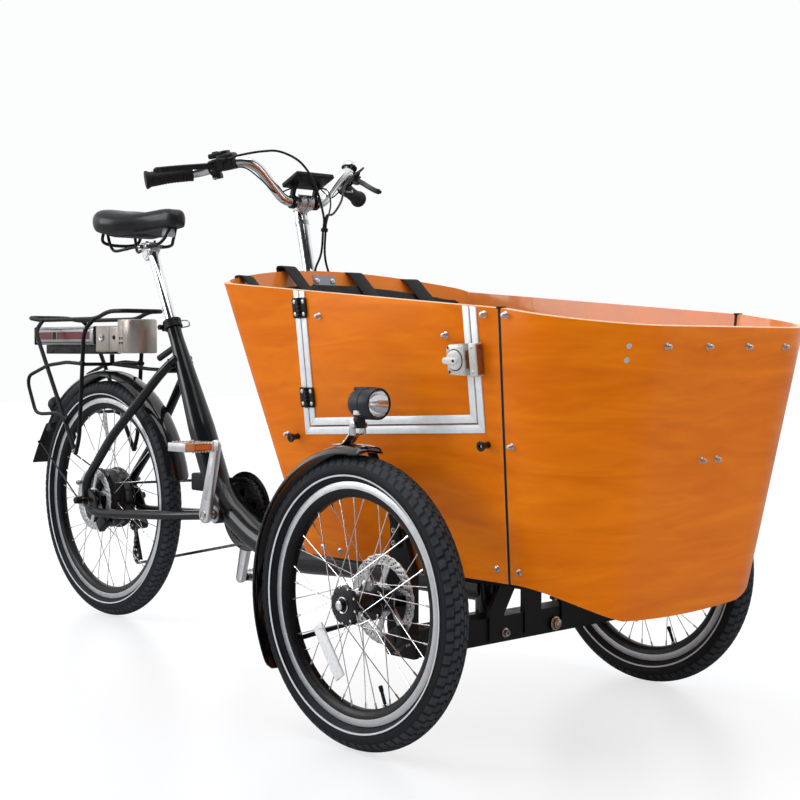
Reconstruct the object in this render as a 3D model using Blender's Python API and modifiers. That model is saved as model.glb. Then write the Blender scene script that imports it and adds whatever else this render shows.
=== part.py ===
"""Electric cargo tricycle with a plywood box between two front wheels.

Metres, +Z up, +X forward. The rider's frame carries the rear wheel with its hub motor; the box,
its chassis, both front wheels and the handlebar are one group that steers about an upright
kingpin under the box. While it is built, X = 0 is the rear axle and Y = 0 the centre plane.
The last section moves the whole tricycle so that the origin lies under its middle.
"""

import math

import bmesh
import bpy
from mathutils import Matrix, Vector

# Wheels
WHEELBASE = 1.4355
TRACK = 0.800
FRONT_TYRE_RADIUS = 0.2545
REAR_TYRE_RADIUS = 0.3045
TYRE_HEIGHT = 0.045
TYRE_WIDTH = 0.050
RIM_DEPTH = 0.028
RIM_WIDTH = 0.028
RIM_WALL = 0.0030
RIM_WELL = 0.0095
WHEEL_STEPS = 24
SPOKE_COUNT = 36
SPOKE_DIAMETER = 0.0020
FLANGE_THICKNESS = 0.005
FRONT_FLANGE_RADIUS = 0.034
FRONT_FLANGE_OUT = 0.032
FRONT_FLANGE_IN = 0.027
FRONT_HUB_END = 0.054
FRONT_AXLE_RADIUS = 0.010
MOTOR_RADIUS = 0.075
MOTOR_HALF_WIDTH = 0.040
REAR_AXLE_RADIUS = 0.006
REAR_AXLE_HALF_LENGTH = 0.105
ROTOR_RADIUS = 0.080
ROTOR_THICKNESS = 0.002

# Clearances
GAP = 0.0003
RUNNING_GAP = 0.0008

# Rider's frame
SEAT_TUBE_LEAN = math.radians(25.7)
SEAT_TUBE_TOP = Vector((0.287, 0.0, 0.757))
SEAT_TUBE_TOP_RADIUS = 0.0175
MAIN_TUBE_RADIUS = 0.032
BRACKET_X = 0.510
BRACKET_Z = 0.305
BRACKET_RADIUS = 0.022
BRACKET_HALF_WIDTH = 0.036
STAY_RADIUS = 0.0115
DROPOUT_Y = 0.070
POST_RADIUS = 0.0136
POST_INSERT = 0.180
POST_OUT = 0.200
CLAMP_EAR = 0.010
SADDLE_LENGTH = 0.290
SADDLE_WIDTH = 0.200

# Steering pivot
STEER_SETBACK = 0.075
KINGPIN_RADIUS = 0.0125
SLEEVE_RADIUS = 0.026
SLEEVE_BOTTOM = 0.176

# Drive
CRANK_LENGTH = 0.170
CRANK_LEAN = math.radians(14.7)
CHAINLINE = 0.0495
CHAINRING_RADIUS = 0.074
CHAIN_GUARD_RADIUS = 0.095
SPROCKET_RADIUS = 0.037
SPROCKET_STEP = 0.003
SPROCKET_PITCH = 0.005
SPROCKET_VALLEY = 0.021
UPPER_JOCKEY = (0.030, 0.2325)
LOWER_JOCKEY = (0.054, 0.1545)
JOCKEY_RADIUS = 0.0150
PEDAL_LENGTH = 0.090
PEDAL_WIDTH = 0.080
PEDAL_HEIGHT = 0.024

# Rack and battery
RACK_HALF_WIDTH = 0.060
RACK_TUBE_RADIUS = 0.0055
RACK_Z = 0.768
RACK_FRONT_X = 0.164
RACK_LENGTH = 0.476
RACK_NOSE_LIFT = 0.018
RACK_TAIL_LIFT = 0.008
BATTERY_LENGTH = 0.310
BATTERY_WIDTH = 0.090
BATTERY_HEIGHT = 0.048
BATTERY_BOTTOM = 0.702
DOCK_BOTTOM = 0.678
DOCK_FACE_X = 0.003
HOUSING_LENGTH = 0.182

# Box
PLY = 0.012
BOX_BOTTOM = 0.302
FLOOR_UNDERSIDE = 0.3005
BOTTOM_HALF_WIDTH = 0.285
FLARE = 0.110
RIM_CORNER_X = 0.9575
RIM_CORNER_Z = 0.820
RIM_SLOPE = -0.0857
REAR_BULGE_TOP = 0.0895
REAR_ARCH = 0.034
BOTTOM_CORNER_X = 1.140
REAR_BULGE_BOTTOM = 0.070
SEAM_TOP_X = 1.699
SEAM_BOTTOM_X = 1.677
SEAM_GAP = 0.006
FRONT_TOP_X = 1.915
FRONT_TOP_Z = 0.727
FRONT_BOTTOM_X = 1.818
FRONT_DIP = 0.066
FRONT_TOP_CORNER = 0.160
FRONT_BOTTOM_CORNER = 0.125
REAR_CORNER = 0.026

# Door and its fittings, as X and height on the near wall
DOOR_LEFT = 1.200
DOOR_RIGHT = 1.637
DOOR_BOTTOM = 0.560
DOOR_GAP = 0.003
TRIM_WIDTH = 0.014
TRIM_PROUD = 0.0015
HINGE_SIZE = 0.038
HINGE_HEIGHTS = (0.767, 0.601)
HINGE_PIN_RADIUS = 0.004
HINGE_PIN_OUT = 0.0052
LATCH_X = 1.613
LATCH_Z = 0.6745
LATCH_WIDTH = 0.042
LATCH_HEIGHT = 0.053
LATCH_DEPTH = 0.0165
KEEPER_WIDTH = 0.017

# Bench and cushions
BENCH_TOP = 0.520
BENCH_FRONT_X = 1.370
BENCH_SETBACK = 0.020
FLOOR_ROOM = 0.0012
SEAT_PAD = 0.040
BACK_PAD = 0.035
PAD_BELOW_RIM = 0.020
BELT_WIDTH = 0.038
BELT_THICKNESS = 0.0026
BELT_ROOM = 0.0130
BELT_PLACES = (-0.235, -0.085, 0.085, 0.235)

# Front chassis
BEAM_SIZE = 0.048
BEAM_BOTTOM = 0.150
BEAM_AHEAD = 0.0145
HANGER_INSET = 0.100
HANGER_THICKNESS = 0.012
RAIL_Y = 0.200
RAIL_HEIGHT = 0.020

# Handlebar
BAR_RADIUS = 0.0111
COLUMN_RADIUS = 0.0143
BAR_CENTRE = Vector((0.797, 0.0, 1.012))
GRIP_INNER = Vector((0.690, 0.200, 1.072))
GRIP_OUTER = Vector((0.637, 0.300, 1.052))
GRIP_RADIUS = 0.0165
LEVER_LENGTH = 0.105
COLUMN_SLOPE = 0.236
COLUMN_FOOT_Z = 0.400
DISPLAY_TILT = 24
CABLE_RADIUS = 0.0025
CABLE_TIE = (0.868, 0.0, 0.948)
NEAR_HOSE = [(0.803, -0.118, 1.113), (0.830, -0.090, 1.112), (0.850, -0.050, 1.090),
             (0.863, -0.022, 1.044)]
FAR_HOSE = [(0.812, 0.110, 1.060), (0.842, 0.070, 1.016), (0.862, 0.030, 0.985)]

# Fenders
FRONT_FENDER_ROOM = 0.0255
REAR_FENDER_ROOM = 0.0275
FENDER_WIDTH = 0.062
FENDER_SHEET = 0.003
LAMP_PIVOT_X = 1.437
LAMP_PIVOT_Z = 0.560
LAMP_RISE = 0.038

# Worked out from the sizes above
FRONT_X = WHEELBASE
FRONT_Z = FRONT_TYRE_RADIUS
REAR_Z = REAR_TYRE_RADIUS
FRONT_FENDER_RADIUS = FRONT_TYRE_RADIUS + FRONT_FENDER_ROOM
REAR_FENDER_RADIUS = REAR_TYRE_RADIUS + REAR_FENDER_ROOM
HANGER_Y = TRACK / 2 - HANGER_INSET
STEER_X = FRONT_X - STEER_SETBACK
WALL_LEAN = math.atan(FLARE)
CHASSIS_TOP = FLOOR_UNDERSIDE - GAP
SEAT_AXIS = Vector((math.sin(SEAT_TUBE_LEAN), 0.0, -math.cos(SEAT_TUBE_LEAN)))
ROTOR_Y_FRONT = TRACK / 2 - FRONT_HUB_END - GAP - ROTOR_THICKNESS / 2
RACK_LEG_Y = DROPOUT_Y + STAY_RADIUS + GAP + 0.0060
ROTOR_Y_REAR = MOTOR_HALF_WIDTH + 0.006 + GAP + ROTOR_THICKNESS / 2
NEAR = -1
FAR = 1
UP = Vector((0.0, 0.0, 1.0))
ALONG_Y = Vector((0.0, 1.0, 0.0))

# Clear the scene and make the collection
for leftover in list(bpy.data.objects):
    bpy.data.objects.remove(leftover, do_unlink=True)
PARTS = bpy.data.collections.new("cargo_trike")
bpy.context.scene.collection.children.link(PARTS)


# Materials
def material(name, colour, roughness, metallic=0.0):
    """A Principled surface with the part's colour, roughness and metallic value."""
    surface = bpy.data.materials.new(name)
    surface.use_nodes = True
    shader = surface.node_tree.nodes["Principled BSDF"]
    shader.inputs["Base Color"].default_value = (*colour, 1.0)
    shader.inputs["Roughness"].default_value = roughness
    shader.inputs["Metallic"].default_value = metallic
    surface.diffuse_color = (*colour, 1.0)
    return surface


FRAME_BLACK = material("frame_black", (0.012, 0.013, 0.016), 0.25)
MATT_BLACK = material("matt_black", (0.015, 0.015, 0.016), 0.6)
TYRE_RUBBER = material("tyre_rubber", (0.020, 0.021, 0.024), 0.75)
POLISHED = material("polished_aluminium", (0.80, 0.80, 0.81), 0.18, 1.0)
STEEL = material("bright_steel", (0.62, 0.62, 0.63), 0.3, 1.0)
PLYWOOD = material("varnished_plywood", (0.72, 0.25, 0.035), 0.28)
CUSHION_BLACK = material("cushion_black", (0.022, 0.022, 0.024), 0.85)
SADDLE_BLACK = material("saddle_black", (0.018, 0.019, 0.022), 0.45)
BATTERY_SILVER = material("battery_silver", (0.52, 0.50, 0.49), 0.35, 0.8)
LATCH_WHITE = material("latch_white", (0.78, 0.77, 0.74), 0.35)
LAMP_GREY = material("lamp_graphite", (0.06, 0.065, 0.075), 0.35, 0.4)
TAIL_RED = material("tail_red", (0.12, 0.01, 0.01), 0.3)


# Shape tools
def finished(shape, name):
    """A bmesh, welded and facing outward, as an object in the part's collection."""
    bmesh.ops.remove_doubles(shape, verts=shape.verts, dist=1e-6)
    bmesh.ops.recalc_face_normals(shape, faces=shape.faces)
    mesh = bpy.data.meshes.new(name)
    shape.to_mesh(mesh)
    shape.free()
    made = bpy.data.objects.new(name, mesh)
    PARTS.objects.link(made)
    return made


def baked(source):
    """The object as its modifiers leave it, as a plain mesh in world coordinates."""
    bpy.context.view_layer.update()
    view = bpy.context.evaluated_depsgraph_get()
    mesh = bpy.data.meshes.new_from_object(source.evaluated_get(view))
    mesh.transform(source.matrix_world)
    shape = bmesh.new()
    shape.from_mesh(mesh)
    name = source.name
    bpy.data.objects.remove(source, do_unlink=True)
    bpy.data.meshes.remove(mesh)
    return finished(shape, name)


def facing(axis, centre=(0.0, 0.0, 0.0)):
    """A matrix that lays local Z along the axis and the origin on the centre."""
    turn = Vector(axis).normalized().to_track_quat("Z", "Y").to_matrix().to_4x4()
    return Matrix.Translation(centre) @ turn


def block(centre, size, turn=Matrix.Identity(4)):
    shape = bmesh.new()
    placed = Matrix.Translation(centre) @ turn @ Matrix.Diagonal((*size, 1.0))
    bmesh.ops.create_cube(shape, size=1.0, matrix=placed)
    return finished(shape, "block")


def rod(start, end, radius, sides=12, end_radius=None):
    """A straight round bar or cone between two points."""
    start, end = Vector(start), Vector(end)
    shape = bmesh.new()
    bmesh.ops.create_cone(
        shape, cap_ends=True, segments=sides, radius1=radius,
        radius2=radius if end_radius is None else end_radius,
        depth=(end - start).length, matrix=facing(end - start, (start + end) / 2))
    return finished(shape, "rod")


def turned(profile, centre, axis, steps=16, closed=False, sweep=math.tau):
    """A profile of (radius, height) points turned about the axis."""
    mesh = bpy.data.meshes.new("turned")
    edges = [(i, i + 1) for i in range(len(profile) - 1)]
    if closed:
        edges.append((len(profile) - 1, 0))
    mesh.from_pydata([(radius, 0.0, height) for radius, height in profile], edges, [])
    made = bpy.data.objects.new("turned", mesh)
    PARTS.objects.link(made)
    made.matrix_world = facing(axis, centre)
    screw = made.modifiers.new("turn", "SCREW")
    screw.angle = sweep
    screw.steps = steps
    screw.render_steps = steps
    screw.use_merge_vertices = True
    screw.merge_threshold = 0.00001
    return baked(made)


def pipe(points, radius, resolution=2, closed=False, radii=None):
    """A round tube along straight runs between the points, with filled ends."""
    curve = bpy.data.curves.new("pipe", "CURVE")
    curve.dimensions = "3D"
    curve.bevel_depth = radius
    curve.bevel_resolution = resolution
    curve.use_fill_caps = not closed
    run = curve.splines.new("POLY")
    run.points.add(len(points) - 1)
    for i, point in enumerate(points):
        run.points[i].co = (*point, 1.0)
        run.points[i].radius = 1.0 if radii is None else radii[i] / radius
    run.use_cyclic_u = closed
    made = bpy.data.objects.new("pipe", curve)
    PARTS.objects.link(made)
    return baked(made)


def sheet(outline, thickness, placed, holes=()):
    """A flat outline with holes, given as (x, y) points, as thick as told about its own plane."""
    curve = bpy.data.curves.new("sheet", "CURVE")
    curve.dimensions = "2D"
    curve.fill_mode = "BOTH"
    curve.extrude = thickness / 2
    for ring in (outline, *holes):
        line = curve.splines.new("POLY")
        line.points.add(len(ring) - 1)
        for i, (x, y) in enumerate(ring):
            line.points[i].co = (x, y, 0.0, 1.0)
        line.use_cyclic_u = True
    made = bpy.data.objects.new("sheet", curve)
    PARTS.objects.link(made)
    made.matrix_world = placed
    return baked(made)


def strap(points, across, width, thickness):
    """A flat strip of steel or webbing along the points, its width laid along `across`."""
    points = [Vector(point) for point in points]
    across = Vector(across).normalized()
    shape = bmesh.new()
    rings = []
    for i, point in enumerate(points):
        run = points[min(i + 1, len(points) - 1)] - points[max(i - 1, 0)]
        flat = run.cross(across).normalized()
        corners = ((1, 1), (1, -1), (-1, -1), (-1, 1))
        rings.append([shape.verts.new(point + across * a * width / 2 + flat * b * thickness / 2)
                      for a, b in corners])
    for first, second in zip(rings, rings[1:]):
        for i in range(4):
            j = (i + 1) % 4
            shape.faces.new((first[i], first[j], second[j], second[i]))
    shape.faces.new(rings[0])
    shape.faces.new(rings[-1])
    return finished(shape, "strap")


def rounded(points, bend, steps=3):
    """The points with each inner corner replaced by a short curve that starts `bend` before it."""
    points = [Vector(point) for point in points]
    path = [points[0]]
    for before, corner, after in zip(points, points[1:], points[2:]):
        reach_in = min(bend, (corner - before).length / 2)
        reach_out = min(bend, (after - corner).length / 2)
        start = corner + (before - corner).normalized() * reach_in
        end = corner + (after - corner).normalized() * reach_out
        for i in range(steps + 1):
            t = i / steps
            path.append(start * (1 - t) ** 2 + corner * 2 * t * (1 - t) + end * t ** 2)
    path.append(points[-1])
    return path


def flowing(points, spacing):
    """Points at an even spacing on a smooth curve through the given points."""
    points = [Vector(point) for point in points]
    ends = [points[0] * 2 - points[1], *points, points[-1] * 2 - points[-2]]
    path = [points[0]]
    for a, b, c, d in zip(ends, ends[1:], ends[2:], ends[3:]):
        pieces = max(1, round((c - b).length / spacing))
        for i in range(1, pieces + 1):
            t = i / pieces
            path.append((b * 2 + (c - a) * t + (a * 2 - b * 5 + c * 4 - d) * t ** 2
                         + (b * 3 - a - c * 3 + d) * t ** 3) / 2)
    return path


def arc(centre, radius, start, end, steps):
    """(x, y) points on an arc between two angles in degrees."""
    angles = [math.radians(start + (end - start) * i / steps) for i in range(steps + 1)]
    return [(centre[0] + radius * math.cos(a), centre[1] + radius * math.sin(a)) for a in angles]


def combine(base, other, operation, overlapping=False):
    """One exact Boolean of the base with another object, which it uses up."""
    cut = base.modifiers.new("combine", "BOOLEAN")
    cut.object = other
    cut.operation = operation
    cut.solver = "EXACT"
    cut.use_self = overlapping
    result = baked(base)
    bpy.data.objects.remove(other, do_unlink=True)
    return result


def fuse(base, *others, overlapping=False):
    for other in others:
        base = combine(base, other, "UNION", overlapping)
    return base


def cut(base, *others):
    for other in others:
        base = combine(base, other, "DIFFERENCE")
    return base


def node(made, name, surface, parent):
    """Name a finished piece, give it its surface and hang it on its moving group."""
    made.name = name
    made.data.name = name
    made.data.materials.clear()
    made.data.materials.append(surface)
    made.data.shade_smooth()
    made.data.set_sharp_from_angle(angle=math.radians(35))
    made.parent = parent
    made.matrix_parent_inverse = parent.matrix_world.inverted()
    return made


def pivot(name, place, parent):
    """An empty on a joint's axis, which carries the pieces that move with the joint."""
    made = bpy.data.objects.new(name, None)
    PARTS.objects.link(made)
    made.empty_display_size = 0.05
    made.parent = parent
    made.location = Vector(place) - (parent.matrix_world.translation if parent else Vector())
    bpy.context.view_layer.update()
    return made


# Moving groups
ROOT = pivot("cargo_trike_root", (0, 0, 0), None)
STEERING = pivot("steering_axis", (STEER_X, 0, FLOOR_UNDERSIDE), ROOT)
FRONT_WHEELS = {side: pivot("front_wheel_axis_" + ("near" if side == NEAR else "far"),
                            (FRONT_X, side * TRACK / 2, FRONT_Z), STEERING)
                for side in (NEAR, FAR)}
REAR_WHEEL = pivot("rear_wheel_axis", (0, 0, REAR_Z), ROOT)
SPROCKET_AXIS = pivot("sprocket_axis", (0, CHAINLINE, REAR_Z), ROOT)
CRANK_AXIS = pivot("crank_axis", (BRACKET_X, 0, BRACKET_Z), ROOT)


# Wheels
def tyre_ring(radius, centre):
    """A tyre round the Y axis, its bead between the rim's two walls."""
    edge = radius - TYRE_HEIGHT
    bead = RIM_WIDTH / 2 - RIM_WALL - GAP
    half = [(edge - RIM_WELL + 0.0012, bead), (edge + 0.0008, bead),
            (edge + TYRE_HEIGHT * 0.42, TYRE_WIDTH / 2),
            (edge + TYRE_HEIGHT * 0.82, TYRE_WIDTH * 0.36), (radius, TYRE_WIDTH * 0.12)]
    profile = [*half, *[(r, -h) for r, h in reversed(half)]]
    return turned(profile, centre, ALONG_Y, WHEEL_STEPS, closed=True)


def rim_ring(radius, centre):
    """The rim: two walls, the well that the bead sits in and the spoke bed inside it."""
    edge = radius - TYRE_HEIGHT
    half = [(edge - RIM_WELL, RIM_WIDTH / 2 - RIM_WALL), (edge, RIM_WIDTH / 2 - RIM_WALL),
            (edge, RIM_WIDTH / 2), (edge - RIM_DEPTH, RIM_WIDTH * 0.30)]
    profile = [*half, *[(r, -h) for r, h in reversed(half)]]
    return turned(profile, centre, ALONG_Y, WHEEL_STEPS, closed=True)


def spoke_set(radius, centre, outward, flanges, flange_radius, crossing):
    """Spokes from two flanges to the rim, every other pair leaning forward or back."""
    bed = radius - TYRE_HEIGHT - RIM_DEPTH * 0.8
    shape = bmesh.new()
    for i in range(SPOKE_COUNT):
        at_rim = math.tau * (i + 0.5) / SPOKE_COUNT
        leaning = 1 if i % 4 < 2 else -1
        at_hub = at_rim + leaning * crossing
        flange = flanges[i % 2]
        shift = leaning * (FLANGE_THICKNESS / 2 - SPOKE_DIAMETER * 0.35)
        grip = flange_radius - FLANGE_THICKNESS * 0.6
        start = Vector(centre) + Vector((grip * math.cos(at_hub), outward * (flange + shift),
                                         grip * math.sin(at_hub)))
        end = Vector(centre) + Vector((bed * math.cos(at_rim), 0.0, bed * math.sin(at_rim)))
        bmesh.ops.create_cone(
            shape, cap_ends=True, segments=3, radius1=SPOKE_DIAMETER / 2,
            radius2=SPOKE_DIAMETER / 2, depth=(end - start).length,
            matrix=facing(end - start, (start + end) / 2))
    return finished(shape, "spokes")


def rotor_disc(centre, bore):
    """A brake disc with six windows and a scalloped look left to its surface."""
    windows = []
    for i in range(6):
        lean = i * 60
        inner = arc((0, 0), ROTOR_RADIUS * 0.42, lean - 17, lean + 17, 1)
        outer = arc((0, 0), ROTOR_RADIUS * 0.78, lean + 22, lean - 22, 2)
        windows.append([*inner, *outer])
    windows.append(arc((0, 0), bore, 0, 324, 9))
    flat = facing(ALONG_Y, centre)
    return sheet(arc((0, 0), ROTOR_RADIUS, 0, 340, 17), ROTOR_THICKNESS, flat, windows)


def front_wheel(side):
    label = "near" if side == NEAR else "far"
    centre = Vector((FRONT_X, side * TRACK / 2, FRONT_Z))
    outward = Vector((0, side, 0))
    axis = FRONT_WHEELS[side]
    half = FLANGE_THICKNESS / 2
    barrel = FRONT_FLANGE_RADIUS * 0.55
    bore = FRONT_AXLE_RADIUS + RUNNING_GAP
    bore_end = FRONT_FLANGE_OUT + half
    cap = bore_end + 0.012
    hub = turned(
        [(0, cap), (0.009, cap), (0.011, bore_end + 0.003), (barrel + 0.003, bore_end + 0.001),
         (FRONT_FLANGE_RADIUS, FRONT_FLANGE_OUT + half),
         (FRONT_FLANGE_RADIUS, FRONT_FLANGE_OUT - half), (barrel, FRONT_FLANGE_OUT - half - 0.002),
         (barrel, -FRONT_FLANGE_IN + half + 0.002), (FRONT_FLANGE_RADIUS, -FRONT_FLANGE_IN + half),
         (FRONT_FLANGE_RADIUS, -FRONT_FLANGE_IN - half), (barrel + 0.003, -FRONT_FLANGE_IN - half),
         (barrel + 0.003, -FRONT_HUB_END), (bore, -FRONT_HUB_END), (bore, bore_end - 0.001),
         (0, bore_end - 0.001)], centre, outward, 10)
    spokes = spoke_set(FRONT_TYRE_RADIUS, centre, side, (FRONT_FLANGE_OUT, -FRONT_FLANGE_IN),
                       FRONT_FLANGE_RADIUS, math.radians(62))
    wheel = fuse(rim_ring(FRONT_TYRE_RADIUS, centre), hub)
    node(fuse(wheel, spokes, overlapping=True), "wheel_front_" + label, STEEL, axis)
    node(tyre_ring(FRONT_TYRE_RADIUS, centre), "tyre_front_" + label, TYRE_RUBBER, axis)
    rotor = rotor_disc((FRONT_X, side * ROTOR_Y_FRONT, FRONT_Z), bore + 0.002)
    node(rotor, "rotor_front_" + label, STEEL, axis)


def rear_wheel():
    centre = Vector((0, 0, REAR_Z))
    bore = REAR_AXLE_RADIUS + RUNNING_GAP
    drive_face = MOTOR_HALF_WIDTH - 0.008
    rotor_face = MOTOR_HALF_WIDTH + 0.006
    flange = MOTOR_HALF_WIDTH - 0.012
    motor = turned(
        [(bore, drive_face), (0.030, drive_face), (MOTOR_RADIUS * 0.9, drive_face - 0.004),
         (MOTOR_RADIUS + 0.004, flange + FLANGE_THICKNESS / 2 - 0.003),
         (MOTOR_RADIUS + 0.004, flange - FLANGE_THICKNESS / 2 - 0.003),
         (MOTOR_RADIUS, flange - 0.010), (MOTOR_RADIUS, -flange + 0.003),
         (MOTOR_RADIUS + 0.004, -flange + FLANGE_THICKNESS / 2 - 0.003),
         (MOTOR_RADIUS + 0.004, -flange - FLANGE_THICKNESS / 2 - 0.003),
         (MOTOR_RADIUS * 0.9, -MOTOR_HALF_WIDTH), (0.026, -MOTOR_HALF_WIDTH),
         (0.024, -rotor_face), (bore, -rotor_face)], centre, ALONG_Y, 14, closed=True)
    spokes = spoke_set(REAR_TYRE_RADIUS, centre, 1, (flange - 0.003, -flange - 0.003),
                       MOTOR_RADIUS + 0.004, math.radians(22))
    wheel = fuse(rim_ring(REAR_TYRE_RADIUS, centre), spokes, overlapping=True)
    node(fuse(motor, wheel), "wheel_rear", STEEL, REAR_WHEEL)
    node(tyre_ring(REAR_TYRE_RADIUS, centre), "tyre_rear", TYRE_RUBBER, REAR_WHEEL)
    node(rotor_disc((0, -ROTOR_Y_REAR, REAR_Z), bore + 0.002), "rotor_rear", STEEL, REAR_WHEEL)


def rear_sprockets():
    """Four stepped sprockets on a freewheel; the chain runs on the third."""
    bore = REAR_AXLE_RADIUS + RUNNING_GAP
    profile = [(bore, CHAINLINE - 0.0125), (SPROCKET_VALLEY, CHAINLINE - 0.0125)]
    for i in range(4):
        radius = SPROCKET_RADIUS - SPROCKET_STEP * i
        middle = CHAINLINE + SPROCKET_PITCH * (i - 2)
        profile += [(radius, middle - 0.0009), (radius, middle + 0.0009),
                    (SPROCKET_VALLEY, middle + SPROCKET_PITCH / 2)]
    profile.append((bore, CHAINLINE + SPROCKET_PITCH * 1.5))
    made = turned(profile, (0, 0, REAR_Z), ALONG_Y, 12, closed=True)
    node(made, "rear_sprockets", STEEL, SPROCKET_AXIS)


# Rider's frame
def along_seat_tube(distance):
    return SEAT_TUBE_TOP + SEAT_AXIS * distance


def main_frame():
    """Main tube from the seat down and forward to the kingpin sleeve, with stays and axle."""
    bend_start = along_seat_tube(0.315)
    spine = rounded([SEAT_TUBE_TOP, along_seat_tube(0.030), bend_start, (BRACKET_X - 0.019, 0, BRACKET_Z + 0.030),
                     (BRACKET_X + 0.130, 0, BRACKET_Z - 0.055), (BRACKET_X + 0.260, 0, 0.224),
                     (STEER_X - 0.400, 0, 0.235), (STEER_X, 0, 0.232)], 0.060, 2)
    swell = [min(MAIN_TUBE_RADIUS,
                 SEAT_TUBE_TOP_RADIUS + max(0, (point - SEAT_TUBE_TOP).length - 0.050) * 0.062)
             for point in spine]
    frame = pipe(spine, MAIN_TUBE_RADIUS, 3, radii=swell)
    shell = rod((BRACKET_X, -BRACKET_HALF_WIDTH, BRACKET_Z),
                (BRACKET_X, BRACKET_HALF_WIDTH, BRACKET_Z), BRACKET_RADIUS, 16)
    sleeve_top = CHASSIS_TOP - 0.008 - RUNNING_GAP
    sleeve = rod((STEER_X, 0, SLEEVE_BOTTOM), (STEER_X, 0, sleeve_top), SLEEVE_RADIUS, 16)
    frame = fuse(frame, shell, sleeve)
    for side in (NEAR, FAR):
        out = side * DROPOUT_Y
        stay = rounded([(0.330, side * 0.016, 0.668), (0.300, side * 0.034, 0.640),
                        (0.120, out, 0.470), (-0.004, out, REAR_Z + 0.045),
                        (0.006, out, REAR_Z - 0.020), (0.060, out, REAR_Z - 0.031),
                        (0.345, side * 0.038, 0.289), (BRACKET_X - 0.025, side * 0.014, 0.300)],
                       0.028, 1)
        frame = fuse(frame, pipe(stay, STAY_RADIUS, 2))
        plate = [(-0.012, 0.020), (0.010, 0.032), (0.042, 0.012), (0.055, -0.022),
                 (0.010, -0.026), (-0.016, -0.014)]
        flat = Matrix(((1, 0, 0, 0), (0, 0, 1, out), (0, 1, 0, REAR_Z), (0, 0, 0, 1)))
        frame = fuse(frame, sheet(plate, 0.007, flat))
    axle = rod((0, -REAR_AXLE_HALF_LENGTH, REAR_Z), (0, REAR_AXLE_HALF_LENGTH, REAR_Z),
               REAR_AXLE_RADIUS, 12)
    nuts = [rod((0, side * (DROPOUT_Y + 0.001), REAR_Z),
                (0, side * (REAR_AXLE_HALF_LENGTH - 0.004), REAR_Z), 0.0125, 10)
            for side in (NEAR, FAR)]
    bridge = rod((0.349, -0.042, 0.289), (0.349, 0.042, 0.289), 0.008, 8)
    upper_bridge = rod((0.2995, -0.034, 0.640), (0.2995, 0.034, 0.640), 0.008, 8)
    fender_block = block((0.418, 0, 0.373), (0.062, 0.034, 0.042))
    rack_lug = rod((0.310, 0, 0.700), (0.232, 0, 0.668), 0.008, 8)
    frame = fuse(frame, axle, *nuts, bridge, upper_bridge, fender_block, rack_lug)
    post_bore = rod(SEAT_TUBE_TOP - SEAT_AXIS * 0.01, along_seat_tube(POST_INSERT + 0.06),
                    POST_RADIUS + GAP, 16)
    spindle_bore = rod((BRACKET_X, -0.06, BRACKET_Z), (BRACKET_X, 0.06, BRACKET_Z),
                       0.009 + RUNNING_GAP, 12)
    kingpin_bore = rod((STEER_X, 0, SLEEVE_BOTTOM - 0.02), (STEER_X, 0, sleeve_top + 0.02),
                       KINGPIN_RADIUS + RUNNING_GAP, 16)
    node(cut(frame, post_bore, spindle_bore, kingpin_bore), "main_frame", FRAME_BLACK, ROOT)


def seat_clamp():
    inner = SEAT_TUBE_TOP_RADIUS + GAP * 3
    outer = inner + 0.0045
    collar = turned([(outer, 0.004), (outer, -0.018), (inner, -0.018), (inner, 0.0005),
                     (POST_RADIUS + GAP * 2, 0.0005), (POST_RADIUS + GAP * 2, 0.004)],
                    SEAT_TUBE_TOP, -SEAT_AXIS, 12, closed=True)
    ears = block(SEAT_TUBE_TOP + SEAT_AXIS * 0.007 + Vector((-outer - 0.0055, 0, -0.0065)),
                 (0.017, CLAMP_EAR * 2, 0.016), Matrix.Rotation(SEAT_TUBE_LEAN, 4, (0, -1, 0)))
    tube_room = rod(SEAT_TUBE_TOP - SEAT_AXIS * 0.0002, along_seat_tube(0.06), inner, 12)
    post_room = rod(SEAT_TUBE_TOP - SEAT_AXIS * 0.03, along_seat_tube(0.03),
                    POST_RADIUS + GAP * 2, 12)
    middle = clamp_screw()
    skewer = rod(middle - ALONG_Y * 0.0150, middle + ALONG_Y * CLAMP_EAR, 0.0030, 8)
    nut = rod(middle - ALONG_Y * 0.0205, middle - ALONG_Y * (CLAMP_EAR - 0.0008), 0.0065, 8)
    ring = fuse(cut(fuse(collar, ears), tube_room, post_room), nut, skewer)
    node(ring, "seat_clamp", MATT_BLACK, ROOT)


def clamp_screw():
    """The clamp screw's middle, behind the seat tube."""
    outer = SEAT_TUBE_TOP_RADIUS + GAP * 3 + 0.0045
    return SEAT_TUBE_TOP + SEAT_AXIS * 0.007 + Vector((-outer - 0.0085, 0, -0.0065))


def seat_clamp_lever():
    """The wire lever on its cam, folded forward along the clamp's far side."""
    middle = clamp_screw() + ALONG_Y * (CLAMP_EAR + GAP + 0.0065)
    cam = rod(middle - SEAT_AXIS * 0.0075, middle + SEAT_AXIS * 0.0075, 0.0065, 10)
    tip = middle + Vector((0.056, 0.014, 0.016))
    loop = pipe(rounded([middle + Vector((0, 0.003, 0.003)), middle + Vector((0.030, 0.013, 0.018)),
                         tip, middle + Vector((0.060, 0.014, 0.003)),
                         middle + Vector((0.030, 0.013, 0.000)),
                         middle + Vector((0, 0.003, -0.003))], 0.010, 2), 0.0017, 1)
    axis = pivot("seat_clamp_lever_axis", middle, ROOT)
    node(fuse(cam, loop, overlapping=True), "seat_clamp_lever", STEEL, axis)


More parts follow.
